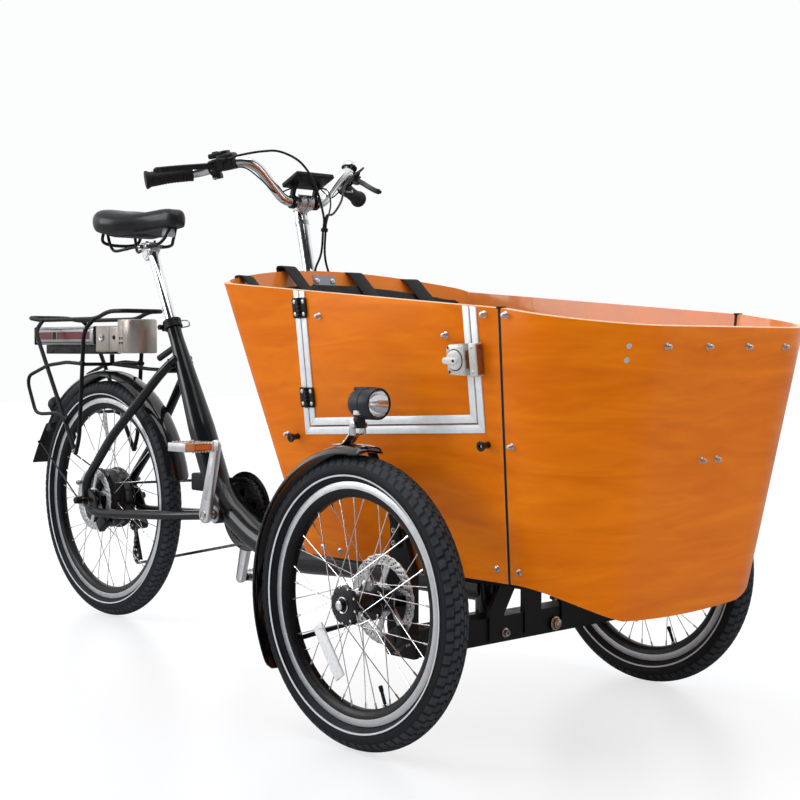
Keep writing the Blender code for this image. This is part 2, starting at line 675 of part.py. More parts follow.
def seat_post():
    """The post inside the seat tube with the clamp head that holds the saddle's rails."""
    top = SEAT_TUBE_TOP - SEAT_AXIS * POST_OUT
    bottom = along_seat_tube(POST_INSERT)
    post = rod(bottom, top + SEAT_AXIS * 0.004, POST_RADIUS, 16)
    head = block(top + Vector((-0.004, 0, 0.010)), (0.046, 0.034, 0.030))
    crown = rod(top + Vector((-0.004, -0.016, -0.010)), top + Vector((-0.004, 0.016, -0.010)),
                0.017, 12)
    axis = pivot("seat_post_axis", SEAT_TUBE_TOP, ROOT)
    node(fuse(post, crown, head), "seat_post", POLISHED, axis)
    return top, axis


def saddle(top, axis):
    """A padded saddle on two rails, lofted through sections from tail to nose."""
    tail = top.x - 0.150
    seat_z = top.z + 0.060
    sections = [(0.00, 0.30, 0.034, 0.024), (0.04, 0.80, 0.044, 0.038), (0.25, 1.00, 0.042, 0.047),
                (0.50, 0.72, 0.031, 0.046), (0.72, 0.36, 0.031, 0.050), (0.93, 0.25, 0.030, 0.052),
                (1.00, 0.14, 0.010, 0.030)]
    shape = bmesh.new()
    rings = []
    for along, width, rise, depth in sections:
        half = SADDLE_WIDTH / 2 * width
        x = tail + SADDLE_LENGTH * along
        z = seat_z + rise
        ring = [(0, z), (half * 0.90, z - 0.004), (half * 1.02, z - depth * 0.66),
                (0, z - depth)]
        ring += [(-y, height) for y, height in reversed(ring[1:-1])]
        rings.append([shape.verts.new((x, y, height)) for y, height in ring])
    count = len(rings[0])
    for first, second in zip(rings, rings[1:]):
        for i in range(count):
            j = (i + 1) % count
            shape.faces.new((first[i], first[j], second[j], second[i]))
    shape.faces.new(rings[0])
    shape.faces.new(rings[-1])
    made = finished(shape, "saddle")
    soft = made.modifiers.new("soft", "SUBSURF")
    soft.levels = 1
    soft.render_levels = 1
    made = baked(made)
    for side in (NEAR, FAR):
        rail = rounded([(tail + 0.045, side * 0.040, seat_z + 0.020),
                        (tail + 0.060, side * 0.024, top.z + 0.008),
                        (tail + 0.200, side * 0.022, top.z + 0.008),
                        (tail + 0.245, side * 0.010, seat_z - 0.010)], 0.016, 2)
        made = fuse(made, pipe(rail, 0.0035, 1))
    node(made, "saddle", SADDLE_BLACK, axis)


# Drive
def crank_arm(side, inner_y):
    """A flat arm from the spindle to the pedal, wider at the spindle."""
    lean = CRANK_LEAN if side == NEAR else CRANK_LEAN + math.pi
    tip = Vector((CRANK_LENGTH * math.sin(lean), CRANK_LENGTH * math.cos(lean)))
    along = math.degrees(math.atan2(tip.y, tip.x))
    outline = [*arc((0, 0), 0.019, along + 100, along + 260, 6),
               *arc((tip.x, tip.y), 0.0125, along - 80, along + 80, 6)]
    middle_y = side * (inner_y + 0.007)
    flat = Matrix(((1, 0, 0, BRACKET_X), (0, 0, 1, middle_y), (0, 1, 0, BRACKET_Z), (0, 0, 0, 1)))
    return sheet(outline, 0.014, flat), tip


def pedal(side, tip, arm_outer):
    """A cage pedal with its axle, open between its two side bars."""
    x = BRACKET_X + tip.x
    z = BRACKET_Z + tip.y
    start = arm_outer + RUNNING_GAP
    middle = start + 0.012 + PEDAL_LENGTH / 2
    barrel = rod((x, side * start, z), (x, side * (middle + PEDAL_LENGTH / 2 - 0.002), z), 0.0095, 10)
    body = block((x, side * middle, z), (PEDAL_WIDTH, PEDAL_LENGTH, PEDAL_HEIGHT))
    for way in (-1, 1):
        window = block((x + way * PEDAL_WIDTH * 0.235, side * middle, z),
                       (PEDAL_WIDTH * 0.29, PEDAL_LENGTH - 0.022, PEDAL_HEIGHT * 2))
        body = cut(body, window)
    label = "near" if side == NEAR else "far"
    axis = pivot("pedal_axis_" + label, (x, side * middle, z), CRANK_AXIS)
    node(fuse(body, barrel), "pedal_" + label, POLISHED, axis)


def crankset():
    """Both cranks on one spindle, the chainring with its guard, and the pedals."""
    spindle_half = BRACKET_HALF_WIDTH + 0.030
    near_inner = BRACKET_HALF_WIDTH + 0.018
    far_inner = CHAINLINE + 0.016
    arm, tip = crank_arm(NEAR, near_inner)
    spindle = rod((BRACKET_X, -spindle_half, BRACKET_Z), (BRACKET_X, CHAINLINE - 0.006, BRACKET_Z),
                  0.009, 12)
    bolt = rod((BRACKET_X, -near_inner - 0.013, BRACKET_Z),
               (BRACKET_X, -near_inner - 0.0165, BRACKET_Z), 0.008, 10)
    node(fuse(arm, spindle, bolt), "crank_near", POLISHED, CRANK_AXIS)
    pedal(NEAR, tip, near_inner + 0.014)
    arm, tip = crank_arm(FAR, far_inner)
    middle = Vector((BRACKET_X, 0, BRACKET_Z))
    ring = turned([(0, CHAINLINE + 0.0014), (CHAINRING_RADIUS, CHAINLINE + 0.0014),
                   (CHAINRING_RADIUS, CHAINLINE - 0.0014), (0, CHAINLINE - 0.0014)],
                  middle, ALONG_Y, 24)
    stub = rod((BRACKET_X, CHAINLINE, BRACKET_Z), (BRACKET_X, far_inner + 0.002, BRACKET_Z),
               0.015, 12)
    node(fuse(arm, stub, ring), "crank_far", POLISHED, CRANK_AXIS)
    pedal(FAR, tip, far_inner + 0.014)
    guard_face = CHAINLINE + 0.0085
    guard_bore = 0.015 + GAP
    guard = turned([(CHAIN_GUARD_RADIUS, guard_face - 0.0025), (CHAIN_GUARD_RADIUS, guard_face),
                    (0.072, guard_face + 0.0045), (guard_bore, guard_face + 0.0045),
                    (guard_bore, guard_face + 0.0015), (0.070, guard_face + 0.0015)],
                   middle, ALONG_Y, 24, closed=True)
    node(guard, "chain_guard", FRAME_BLACK, CRANK_AXIS)


def chain_path():
    """The chain's loop in X and Z: round the chainring, the sprocket and both jockey wheels."""
    pitch_front = CHAINRING_RADIUS + 0.0045
    pitch_rear = SPROCKET_RADIUS - SPROCKET_STEP * 2 + 0.0045
    wrap = JOCKEY_RADIUS + 0.0045
    loop = [*arc((BRACKET_X, BRACKET_Z), pitch_front, 95, -98, 14),
            *arc(LOWER_JOCKEY, wrap, -80, -215, 5), *arc(UPPER_JOCKEY, wrap, -35, 30, 3),
            *arc((0, REAR_Z), pitch_rear, -30, -265, 9)]
    return loop


def chain():
    loop = [Vector((x, CHAINLINE, z)) for x, z in chain_path()]
    shape = bmesh.new()
    rings = []
    for i, point in enumerate(loop):
        run = loop[(i + 1) % len(loop)] - loop[i - 1]
        side = run.cross(ALONG_Y).normalized()
        corners = ((1, 1), (1, -1), (-1, -1), (-1, 1))
        rings.append([shape.verts.new(point + ALONG_Y * a * 0.0035 + side * b * 0.0036)
                      for a, b in corners])
    for first, second in zip(rings, [*rings[1:], rings[0]]):
        for i in range(4):
            j = (i + 1) % 4
            shape.faces.new((first[i], first[j], second[j], second[i]))
    node(finished(shape, "chain"), "chain", STEEL, ROOT)


def rear_caliper():
    """The caliper astride the rear rotor, in the angle below the near chainstay."""
    lean = math.radians(-52)
    radius = ROTOR_RADIUS - 0.006
    inner = MOTOR_HALF_WIDTH + 0.001
    outer = DROPOUT_Y - STAY_RADIUS - GAP
    inward = Vector((math.cos(lean), 0, math.sin(lean)))
    centre = Vector((0, -(inner + outer) / 2, REAR_Z)) + inward * radius
    turn = Matrix.Rotation(-lean, 4, "Y")
    body = block(centre, (0.030, outer - inner, 0.040), turn)
    gap_centre = Vector((centre.x, -ROTOR_Y_REAR, centre.z)) - inward * 0.006
    slot = block(gap_centre, (0.030, ROTOR_THICKNESS + RUNNING_GAP * 2, 0.060), turn)
    node(cut(body, slot), "brake_caliper_rear", MATT_BLACK, ROOT)


def derailleur():
    """The knuckle below the far dropout, and the cage with two jockey wheels the chain runs on."""
    out = DROPOUT_Y + STAY_RADIUS + 0.004
    boss_x, boss_z = UPPER_JOCKEY
    hanger = strap([(0.010, out, REAR_Z - 0.020), (0.018, out, REAR_Z - 0.045),
                    (boss_x, out, boss_z)], ALONG_Y, 0.007, 0.020)
    boss = rod((boss_x, CHAINLINE + 0.0075, boss_z), (boss_x, out + 0.006, boss_z), 0.012, 12)
    node(fuse(hanger, boss), "derailleur_body", MATT_BLACK, ROOT)
    upper = Vector((UPPER_JOCKEY[0], CHAINLINE, UPPER_JOCKEY[1]))
    lower = Vector((LOWER_JOCKEY[0], CHAINLINE, LOWER_JOCKEY[1]))
    plate = CHAINLINE + 0.0055
    reach = (lower - upper).normalized() * 0.012
    cage = strap([upper - reach + ALONG_Y * (plate - CHAINLINE),
                  lower + reach + ALONG_Y * (plate - CHAINLINE)], (1, 0, 0), 0.020, 0.0022)
    for place in (upper, lower):
        wheel = rod(place - ALONG_Y * 0.0018, place + ALONG_Y * 0.0056, JOCKEY_RADIUS, 14)
        cage = fuse(cage, wheel)
    node(cage, "derailleur_cage", MATT_BLACK, ROOT)


# Rack, battery and rear fender
def rack():
    """The carrier: a closed hoop with raised ends, and legs and a pannier guard each side."""
    front, rear = RACK_FRONT_X, RACK_FRONT_X - RACK_LENGTH
    rail = []
    for side in (NEAR, FAR):
        y = side * RACK_HALF_WIDTH
        half = [(rear, y, RACK_Z + RACK_TAIL_LIFT), (rear + 0.060, y, RACK_Z),
                (front - 0.130, y, RACK_Z), (front - 0.070, y, RACK_Z + RACK_NOSE_LIFT),
                (front, y, RACK_Z + RACK_NOSE_LIFT)]
        rail += half if side == NEAR else list(reversed(half))
    middle = Vector((rear, 0, RACK_Z + RACK_TAIL_LIFT))
    made = pipe(rounded([middle, *rail, middle], 0.026, 2)[:-1], RACK_TUBE_RADIUS, 1, closed=True)
    guard_top = BATTERY_BOTTOM - 0.050
    for side in (NEAR, FAR):
        y = side * RACK_HALF_WIDTH
        out = side * RACK_LEG_Y
        foot = (-0.022, out, REAR_Z + 0.118)
        rear_leg = [(rear + 0.080, y, RACK_Z), (rear + 0.090, out, RACK_Z - 0.030), foot]
        front_leg = [(front - 0.138, y, RACK_Z), (front - 0.142, out, RACK_Z - 0.030),
                     (-0.004, out, REAR_Z + 0.160), foot]
        guard = [(front - 0.150, out, guard_top + 0.001), (-0.062, out, guard_top + 0.005),
                 (-0.160, out, guard_top - 0.004), (-0.258, out, guard_top - 0.032),
                 (-0.264, out, guard_top - 0.054), (-0.226, out, guard_top - 0.128),
                 (-0.198, out, guard_top - 0.133), (-0.112, out, guard_top - 0.128),
                 (-0.064, out, guard_top - 0.142)]
        foot_plate = strap([(foot[0], out, foot[2] + 0.012), (-0.010, out, REAR_Z + 0.070),
                            (-0.006, out, REAR_Z + 0.034)], (1, 0, 0), 0.014, 0.003)
        boss = rod((-0.005, out, REAR_Z + 0.046),
                   (-0.005, side * (DROPOUT_Y + STAY_RADIUS + GAP), REAR_Z + 0.046), 0.005, 8)
        made = fuse(made, pipe(rounded(rear_leg, 0.02, 1), RACK_TUBE_RADIUS, 1),
                    pipe(rounded(front_leg, 0.02, 1), RACK_TUBE_RADIUS, 1),
                    pipe(guard, RACK_TUBE_RADIUS * 0.85, 1), foot_plate, boss)
    cross = rod((front - 0.150, -RACK_LEG_Y, guard_top), (front - 0.150, RACK_LEG_Y, guard_top),
                0.0045, 8)
    post = rod((front - 0.150, 0, guard_top), (front - 0.150, 0, DOCK_BOTTOM - GAP), 0.006, 8)
    nose = pipe([(front - 0.150, 0, guard_top), (0.200, 0, guard_top - 0.012),
                 (0.2895, 0, guard_top - 0.012)], 0.0045, 1)
    node(fuse(made, cross, post, nose), "rear_rack", MATT_BLACK, ROOT)


def battery_and_dock():
    """The slide-in battery, and the dock: a rail below it and a round-nosed housing ahead."""
    middle_z = BATTERY_BOTTOM + BATTERY_HEIGHT / 2
    length_room = DOCK_FACE_X - GAP * 4
    pack = block((length_room - BATTERY_LENGTH / 2, 0, middle_z),
                 (BATTERY_LENGTH, BATTERY_WIDTH, BATTERY_HEIGHT))
    soft = pack.modifiers.new("rounded", "BEVEL")
    soft.width = 0.008
    soft.segments = 1
    axis = pivot("battery_slide", (0, 0, middle_z), ROOT)
    node(baked(pack), "battery", BATTERY_SILVER, axis)
    rail_top = BATTERY_BOTTOM - GAP
    rail_rear = length_room - BATTERY_LENGTH + 0.025
    rail = block(((rail_rear + DOCK_FACE_X + 0.02) / 2, 0, (rail_top + DOCK_BOTTOM) / 2),
                 (DOCK_FACE_X + 0.02 - rail_rear, 0.044, rail_top - DOCK_BOTTOM))
    nose_x = DOCK_FACE_X + HOUSING_LENGTH - BATTERY_WIDTH / 2
    lock_low, lock_top = DOCK_BOTTOM + 0.005, BATTERY_BOTTOM + BATTERY_HEIGHT
    lock = block((DOCK_FACE_X + 0.060, 0, (lock_low + lock_top) / 2),
                 (0.120, BATTERY_WIDTH - 0.004, lock_top - lock_low))
    tall = block(((DOCK_FACE_X + 0.110 + nose_x) / 2, 0, DOCK_BOTTOM + 0.0445),
                 (nose_x - DOCK_FACE_X - 0.110, BATTERY_WIDTH - 0.0015, 0.085))
    nose = rod((nose_x, 0, DOCK_BOTTOM + 0.002), (nose_x, 0, DOCK_BOTTOM + 0.0875),
               BATTERY_WIDTH / 2, 20)
    node(fuse(lock, rail, tall, nose), "battery_dock", BATTERY_SILVER, ROOT)


def arched_strip(centre, radius, start, end, steps):
    """A fender's arched sheet round the Y axis from one angle to another, in degrees."""
    half = FENDER_WIDTH / 2
    profile = [(radius - 0.014, -half), (radius - 0.0015, -half * 0.5),
               (radius - 0.0015, half * 0.5), (radius - 0.014, half)]
    mesh = bpy.data.meshes.new("strip")
    mesh.from_pydata([(r, 0.0, h) for r, h in profile], [(i, i + 1) for i in range(3)], [])
    made = bpy.data.objects.new("strip", mesh)
    PARTS.objects.link(made)
    first = math.radians(start)
    along = Vector((math.cos(first), 0, math.sin(first)))
    up = (-ALONG_Y).cross(along)
    turn = Matrix((along, up, -ALONG_Y)).transposed().to_4x4()
    made.matrix_world = Matrix.Translation(centre) @ turn
    screw = made.modifiers.new("turn", "SCREW")
    screw.angle = math.radians(end - start)
    screw.steps = steps
    screw.render_steps = steps
    screw.use_merge_vertices = False
    screw.merge_threshold = 0.00001
    solid = made.modifiers.new("sheet", "SOLIDIFY")
    solid.thickness = FENDER_SHEET
    solid.offset = 0.0
    return baked(made)


def on_circle(centre, radius, angle, y):
    lean = math.radians(angle)
    return Vector((centre[0] + radius * math.cos(lean), y, centre[2] + radius * math.sin(lean)))


def rear_fender_and_light():
    centre = (0, 0, REAR_Z)
    made = arched_strip(centre, REAR_FENDER_RADIUS, 11.5, 150, 14)
    flap = strap([on_circle(centre, REAR_FENDER_RADIUS - 0.002, 146, 0),
                  on_circle(centre, REAR_FENDER_RADIUS + 0.008, 157, 0),
                  on_circle(centre, REAR_FENDER_RADIUS + 0.026, 168, 0)], ALONG_Y, 0.056, 0.004)
    made = fuse(made, flap)
    for side in (NEAR, FAR):
        top = on_circle(centre, REAR_FENDER_RADIUS + 0.008, 157, side * 0.026)
        stay = rod(top, (-0.0205, side * (DROPOUT_Y + 0.010), REAR_Z - 0.002), 0.002, 6)
        made = fuse(made, stay)
    node(made, "rear_fender", FRAME_BLACK, ROOT)
    angle = 139
    foot = on_circle(centre, REAR_FENDER_RADIUS + FENDER_SHEET / 2 + GAP, angle, 0)
    out = on_circle(centre, 1, angle, 0) - Vector(centre)
    lamp = turned([(0, 0.046), (0.016, 0.044), (0.021, 0.034), (0.021, 0.014), (0.012, 0.004),
                   (0.012, 0), (0, 0)], foot, out, 16)
    node(lamp, "tail_light", TAIL_RED, ROOT)


# Front chassis
def front_chassis():
    """Cross beam, hangers with the stub axles, floor rails, and the kingpin between two plates."""
    beam_x = FRONT_X + BEAM_AHEAD
    beam_z = BEAM_BOTTOM + BEAM_SIZE / 2
    front_face = beam_x + BEAM_SIZE / 2
    reach = HANGER_Y - 0.001
    made = block((beam_x, 0, beam_z), (BEAM_SIZE, reach * 2, BEAM_SIZE))
    rail_low = CHASSIS_TOP - RAIL_HEIGHT
    cross = block((beam_x, 0, CHASSIS_TOP - RAIL_HEIGHT / 2),
                  (BEAM_SIZE - 0.003, RAIL_Y * 2 + 0.070, RAIL_HEIGHT))
    made = fuse(made, cross)
    rail_rear = BOTTOM_CORNER_X + 0.010
    rail_front = SEAM_BOTTOM_X + 0.020
    for side in (NEAR, FAR):
        rail = block(((rail_rear + rail_front) / 2, side * RAIL_Y, CHASSIS_TOP - 0.0098),
                     (rail_front - rail_rear, 0.030, RAIL_HEIGHT - 0.0024))
        y = side * HANGER_Y
        outline = [(-0.0205, BEAM_BOTTOM - 0.002), (0.0375, BEAM_BOTTOM - 0.002), (0.0375, 0.300),
                   (0.008, 0.374), (-0.018, 0.374), (-0.032, 0.300), (-0.032, 0.200)]
        flat = Matrix(((1, 0, 0, FRONT_X), (0, 0, 1, y), (0, 1, 0, 0), (0, 0, 0, 1)))
        hanger = sheet(outline, HANGER_THICKNESS, flat)
        hub_end = side * (TRACK / 2 + FRONT_FLANGE_OUT + FLANGE_THICKNESS / 2 - 0.0025)
        stub = rod((FRONT_X, y, FRONT_Z), (FRONT_X, hub_end, FRONT_Z), FRONT_AXLE_RADIUS, 12)
        shoulder = rod((FRONT_X, y, FRONT_Z),
                       (FRONT_X, side * (ROTOR_Y_FRONT - ROTOR_THICKNESS / 2 - RUNNING_GAP),
                        FRONT_Z), 0.018, 12)
        leg = [(0.080, BEAM_BOTTOM + 0.006), (0.120, BEAM_BOTTOM + 0.006), (0.120, 0.212),
               (0.066, rail_low + 0.014), (0.022, rail_low + 0.014), (0.080, 0.204)]
        turn = Matrix(((0, 0, 1, front_face), (side, 0, 0, 0), (0, 1, 0, 0), (0, 0, 0, 1)))
        made = fuse(made, rail, hanger, shoulder, stub, sheet(leg, 0.008, turn))
    head = block((front_face - 0.003, 0, (BEAM_BOTTOM + CHASSIS_TOP) / 2 + 0.002),
                 (0.012, 0.046, CHASSIS_TOP - BEAM_BOTTOM - 0.014))
    plate_length = beam_x - STEER_X + 0.060
    plate_x = (STEER_X + beam_x) / 2 - 0.015
    upper_plate = block((plate_x, 0, CHASSIS_TOP - 0.0042), (plate_length, 0.110, 0.0068))
    lower_plate = block((plate_x, 0, SLEEVE_BOTTOM - 0.0060), (plate_length, 0.080, 0.0104))
    kingpin = rod((STEER_X, 0, SLEEVE_BOTTOM - 0.009), (STEER_X, 0, CHASSIS_TOP - 0.004),
                  KINGPIN_RADIUS, 16)
    rear_cross = block((rail_rear + 0.016, 0, CHASSIS_TOP - 0.0080), (0.028, RAIL_Y * 2, 0.012))
    made = fuse(made, head, upper_plate, lower_plate, kingpin, rear_cross)
    node(made, "front_chassis", MATT_BLACK, STEERING)


def front_caliper(side):
    """The caliper astride a front rotor, on a leg that reaches the hanger."""
    lean = math.radians(-58)
    radius = ROTOR_RADIUS - 0.004
    inward = Vector((math.cos(lean), 0, math.sin(lean)))
    centre = Vector((FRONT_X, side * ROTOR_Y_FRONT, FRONT_Z)) + inward * radius
    turn = Matrix.Rotation(-lean, 4, "Y")
    body = block(centre, (0.034, 0.030, 0.052), turn)
    slot = block(centre - inward * 0.007, (0.034, ROTOR_THICKNESS + RUNNING_GAP * 2, 0.070), turn)
    hanger_face = HANGER_Y + HANGER_THICKNESS / 2 + GAP
    inner = ROTOR_Y_FRONT - 0.012
    leg = block((centre.x, side * (hanger_face + inner) / 2, centre.z + 0.004),
                (0.024, inner - hanger_face, 0.030), turn)
    label = "near" if side == NEAR else "far"
    node(fuse(cut(body, slot), leg), "brake_caliper_front_" + label, MATT_BLACK, STEERING)


def front_fender(side):
    """A front fender with its upright, lower stay and, on the near side, the lamp bracket."""
    centre = (FRONT_X, side * TRACK / 2, FRONT_Z)
    y = side * TRACK / 2
    made = arched_strip(centre, FRONT_FENDER_RADIUS, 78, 211, 12)
    face = side * (HANGER_Y + HANGER_THICKNESS / 2 + GAP + 0.0025)
    crown = FRONT_Z + FRONT_FENDER_RADIUS - 0.004
    upright = strap([(FRONT_X - 0.006, face, 0.342), (FRONT_X - 0.008, face, 0.388),
                     (FRONT_X - 0.022, side * (HANGER_Y + 0.042), crown - 0.030),
                     (FRONT_X - 0.024, side * (HANGER_Y + 0.052), crown - 0.006),
                     (FRONT_X - 0.024, y, crown)], (1, 0, 0), 0.022, 0.005)
    stay_end = on_circle(centre, FRONT_FENDER_RADIUS - 0.008, 204, side * (TRACK / 2 - 0.027))
    stay = pipe([(FRONT_X - 0.026, face + side * 0.002, FRONT_Z - 0.030), stay_end], 0.0045, 1)
    made = fuse(made, upright, stay)
    if side == NEAR:
        made = lamp_bracket(made, crown)
    label = "near" if side == NEAR else "far"
    node(made, "front_fender_" + label, FRAME_BLACK, STEERING)


def lamp_bracket(fender, crown):
    """The bent steel strip that stands on the near fender and holds the lamp between two ears."""
    y = -TRACK / 2
    x, z = LAMP_PIVOT_X, LAMP_PIVOT_Z
    strip = strap([(x - 0.058, y, crown - 0.0005), (x - 0.030, y, crown + 0.0035),
                   (x - 0.012, y, z - 0.0145)], ALONG_Y, 0.026, 0.0026)
    ears = [block((x - 0.005, y + way * 0.0118, z - 0.0055), (0.016, 0.0024, 0.023))
            for way in (-1, 1)]
    hole = rod((x, y - 0.03, z), (x, y + 0.03, z), 0.0030 + RUNNING_GAP, 8)
    return cut(fuse(fender, strip, *ears), hole)


def headlight():
    """A round lamp with a flat lens, on a lug that tilts between the bracket's ears."""
    y = -TRACK / 2
    x, z = LAMP_PIVOT_X, LAMP_PIVOT_Z
    lamp = turned([(0, 0.038), (0.024, 0.0365), (0.0275, 0.033), (0.0275, -0.004), (0.0235, -0.026),
                   (0.016, -0.034), (0, -0.036)], (x + 0.015, y, z + LAMP_RISE), (1, 0, 0), 16)
    lug = block((x, y, z + 0.0055), (0.012, 0.0185, 0.021))
    pin = rod((x, y - 0.0155, z), (x, y + 0.0155, z), 0.0030, 8)
    axis = pivot("headlight_tilt", (x, y, z), STEERING)
    node(fuse(lamp, lug, pin), "headlight", LAMP_GREY, axis)


# Box
def wall_y(z):
    """Half the box's width outside, at a height."""
    return BOTTOM_HALF_WIDTH + FLARE * (z - BOX_BOTTOM)


def rim_z(x):
    """The height of the side wall's rim."""
    return RIM_CORNER_Z + RIM_SLOPE * (x - RIM_CORNER_X)


def rear_rim_z(y):
    """The height of the rear wall's arched rim."""
    return RIM_CORNER_Z + REAR_ARCH * (1 - (y / wall_y(RIM_CORNER_Z)) ** 2)


def rear_face_x(y, z):
    """The outer face of the bulging, leaning rear wall."""
    away = 1 - (y / wall_y(z)) ** 2
    low = BOTTOM_CORNER_X - REAR_BULGE_BOTTOM * away
    top = RIM_CORNER_X - REAR_BULGE_TOP * away
    return low + (top - low) * (z - BOX_BOTTOM) / (RIM_CORNER_Z + REAR_ARCH * away - BOX_BOTTOM)


def rear_columns():
    """Bottom and top points of the rear sheet's outer face, from the far seam to the middle."""
    top_y, low_y = wall_y(RIM_CORNER_Z), wall_y(BOX_BOTTOM)

    def bulge_top(y):
        away = 1 - (y / top_y) ** 2
        return Vector((RIM_CORNER_X - REAR_BULGE_TOP * away, y, RIM_CORNER_Z + REAR_ARCH * away))

    def bulge_low(y):
        away = 1 - (y / low_y) ** 2
        return Vector((BOTTOM_CORNER_X - REAR_BULGE_BOTTOM * away, y, BOX_BOTTOM))

    seam_z = rim_z(SEAM_TOP_X)
    columns = [(Vector((SEAM_BOTTOM_X, low_y, BOX_BOTTOM)),
                Vector((SEAM_TOP_X, wall_y(seam_z), seam_z)))]
    start_x = RIM_CORNER_X + REAR_CORNER
    top_bend = (Vector((start_x, wall_y(rim_z(start_x)), rim_z(start_x))),
                Vector((RIM_CORNER_X, top_y, RIM_CORNER_Z)), bulge_top(top_y - REAR_CORNER))
    low_bend = (Vector((BOTTOM_CORNER_X + REAR_CORNER, low_y, BOX_BOTTOM)),
                Vector((BOTTOM_CORNER_X, low_y, BOX_BOTTOM)), bulge_low(low_y - REAR_CORNER))
    for i in range(5):
        t = i / 4
        columns.append(tuple(a * (1 - t) ** 2 + b * 2 * t * (1 - t) + c * t ** 2
                             for a, b, c in (low_bend, top_bend)))
    for i in range(1, 6):
        share = 1 - i / 5
        columns.append((bulge_low((low_y - REAR_CORNER) * share),
                        bulge_top((top_y - REAR_CORNER) * share)))
    return columns


def front_columns():
    """Bottom and top points of the front sheet's outer face, from the far seam to the middle."""
    columns = []
    start_top, start_low = FRONT_TOP_X - FRONT_TOP_CORNER, FRONT_BOTTOM_X - FRONT_BOTTOM_CORNER
    seam_z = rim_z(SEAM_TOP_X)
    fall = (FRONT_TOP_Z - seam_z) / (FRONT_TOP_X - SEAM_TOP_X)
    low_y = wall_y(BOX_BOTTOM)
    columns.append((Vector((SEAM_BOTTOM_X + SEAM_GAP, low_y, BOX_BOTTOM)),
                    Vector((SEAM_TOP_X + SEAM_GAP, wall_y(seam_z), seam_z))))
    for i in range(9):
        lean = math.pi / 2 * i / 8
        x = start_top + FRONT_TOP_CORNER * math.sin(lean)
        z = seam_z + fall * (x - SEAM_TOP_X)
        top = Vector((x, wall_y(z) - FRONT_TOP_CORNER * (1 - math.cos(lean)), z))
        dip = (0.8 * i / 8) ** 2 * (3 - 1.6 * i / 8)
        low = Vector((start_low + FRONT_BOTTOM_CORNER * math.sin(lean),
                      low_y - FRONT_BOTTOM_CORNER * (1 - math.cos(lean)),
                      BOX_BOTTOM - FRONT_DIP * dip))
        columns.append((low, top))
    for share, dip in ((0.5, 0.98), (0.0, 1.0)):
        columns.append((Vector((FRONT_BOTTOM_X, (low_y - FRONT_BOTTOM_CORNER) * share,
                                BOX_BOTTOM - FRONT_DIP * dip)),
                        Vector((FRONT_TOP_X, (wall_y(FRONT_TOP_Z) - FRONT_TOP_CORNER) * share,
                                FRONT_TOP_Z))))
    return columns


def both_halves(columns):
    """Columns from one seam round to the other, the near half mirrored from the far half."""
    mirrored = [tuple(Vector((p.x, -p.y, p.z)) for p in column) for column in reversed(columns[:-1])]
    return columns + mirrored


def bent_sheet(columns):
    """An open skin through the columns, thickened inward to the plywood's thickness."""
    shape = bmesh.new()
    edges = [[shape.verts.new(point) for point in column] for column in columns]
    for (low, top), (next_low, next_top) in zip(edges, edges[1:]):
        shape.faces.new((low, next_low, next_top, top))
    mesh = bpy.data.meshes.new("sheet")
    shape.to_mesh(mesh)
    shape.free()
    made = bpy.data.objects.new("sheet", mesh)
    PARTS.objects.link(made)
    middle = mesh.polygons[len(mesh.polygons) // 2]
    outward = middle.normal.x * (1 if middle.center.x > FRONT_X else -1) > 0
    solid = made.modifiers.new("plywood", "SOLIDIFY")
    solid.thickness = PLY
    solid.offset = -1.0 if outward else 1.0
    solid.use_even_offset = True
    return baked(made)


def plan_at(columns, z, inset):
    """(x, y) points of the inner face at a height, moved in by a clearance."""
    cuts = [low.lerp(top, (z - low.z) / (top.z - low.z)).xy for low, top in columns]
    line = []
    for i, point in enumerate(cuts):
        run = cuts[min(i + 1, len(cuts) - 1)] - cuts[max(i - 1, 0)]
        inward = Vector((-run.y, run.x)).normalized()
        if inward.dot(Vector((FRONT_X - 0.1, 0)) - point) < 0:
            inward.negate()
        line.append(point + inward * inset)
    return line


def near_wall(x, z, out=0.0):
    """A point on the near wall's outer face, or some way out from it."""
    face = Vector((x, -wall_y(z), z))
    return face + Vector((0, -math.cos(WALL_LEAN), -math.sin(WALL_LEAN))) * out


def wall_frame(x, z, out=0.0):
    """A matrix at a point of the near wall: local X along the wall, Y up it and Z out of it."""
    along = Vector((1, 0, 0))
    up = Vector((0, -math.sin(WALL_LEAN), math.cos(WALL_LEAN)))
    away = along.cross(up)
    made = Matrix((along, up, away)).transposed().to_4x4()
    made.translation = near_wall(x, z, out)
    return made


def up_wall(z):
    """A height as a distance up the leaning wall from the door's bottom line."""
    return (z - DOOR_BOTTOM) / math.cos(WALL_LEAN)


def door_band(left, right, bottom, width, thickness):
    """A U-shaped strip along a door edge, open at the rim, its inner edge given."""
    outer_left, outer_right = left - width, right + width
    ring = [(left, up_wall(rim_z(left) - 0.004)), (outer_left, up_wall(rim_z(outer_left) - 0.004)),
            (outer_left, bottom - width), (outer_right, bottom - width),
            (outer_right, up_wall(rim_z(outer_right) - 0.004)),
            (right, up_wall(rim_z(right) - 0.004)), (right, bottom), (left, bottom)]
    return sheet(ring, thickness, wall_frame(0, DOOR_BOTTOM, 0))


def bolt(x, z, radius=0.0045, proud=0.006):
    return rod(near_wall(x, z, -0.004), near_wall(x, z, proud), radius, 6)


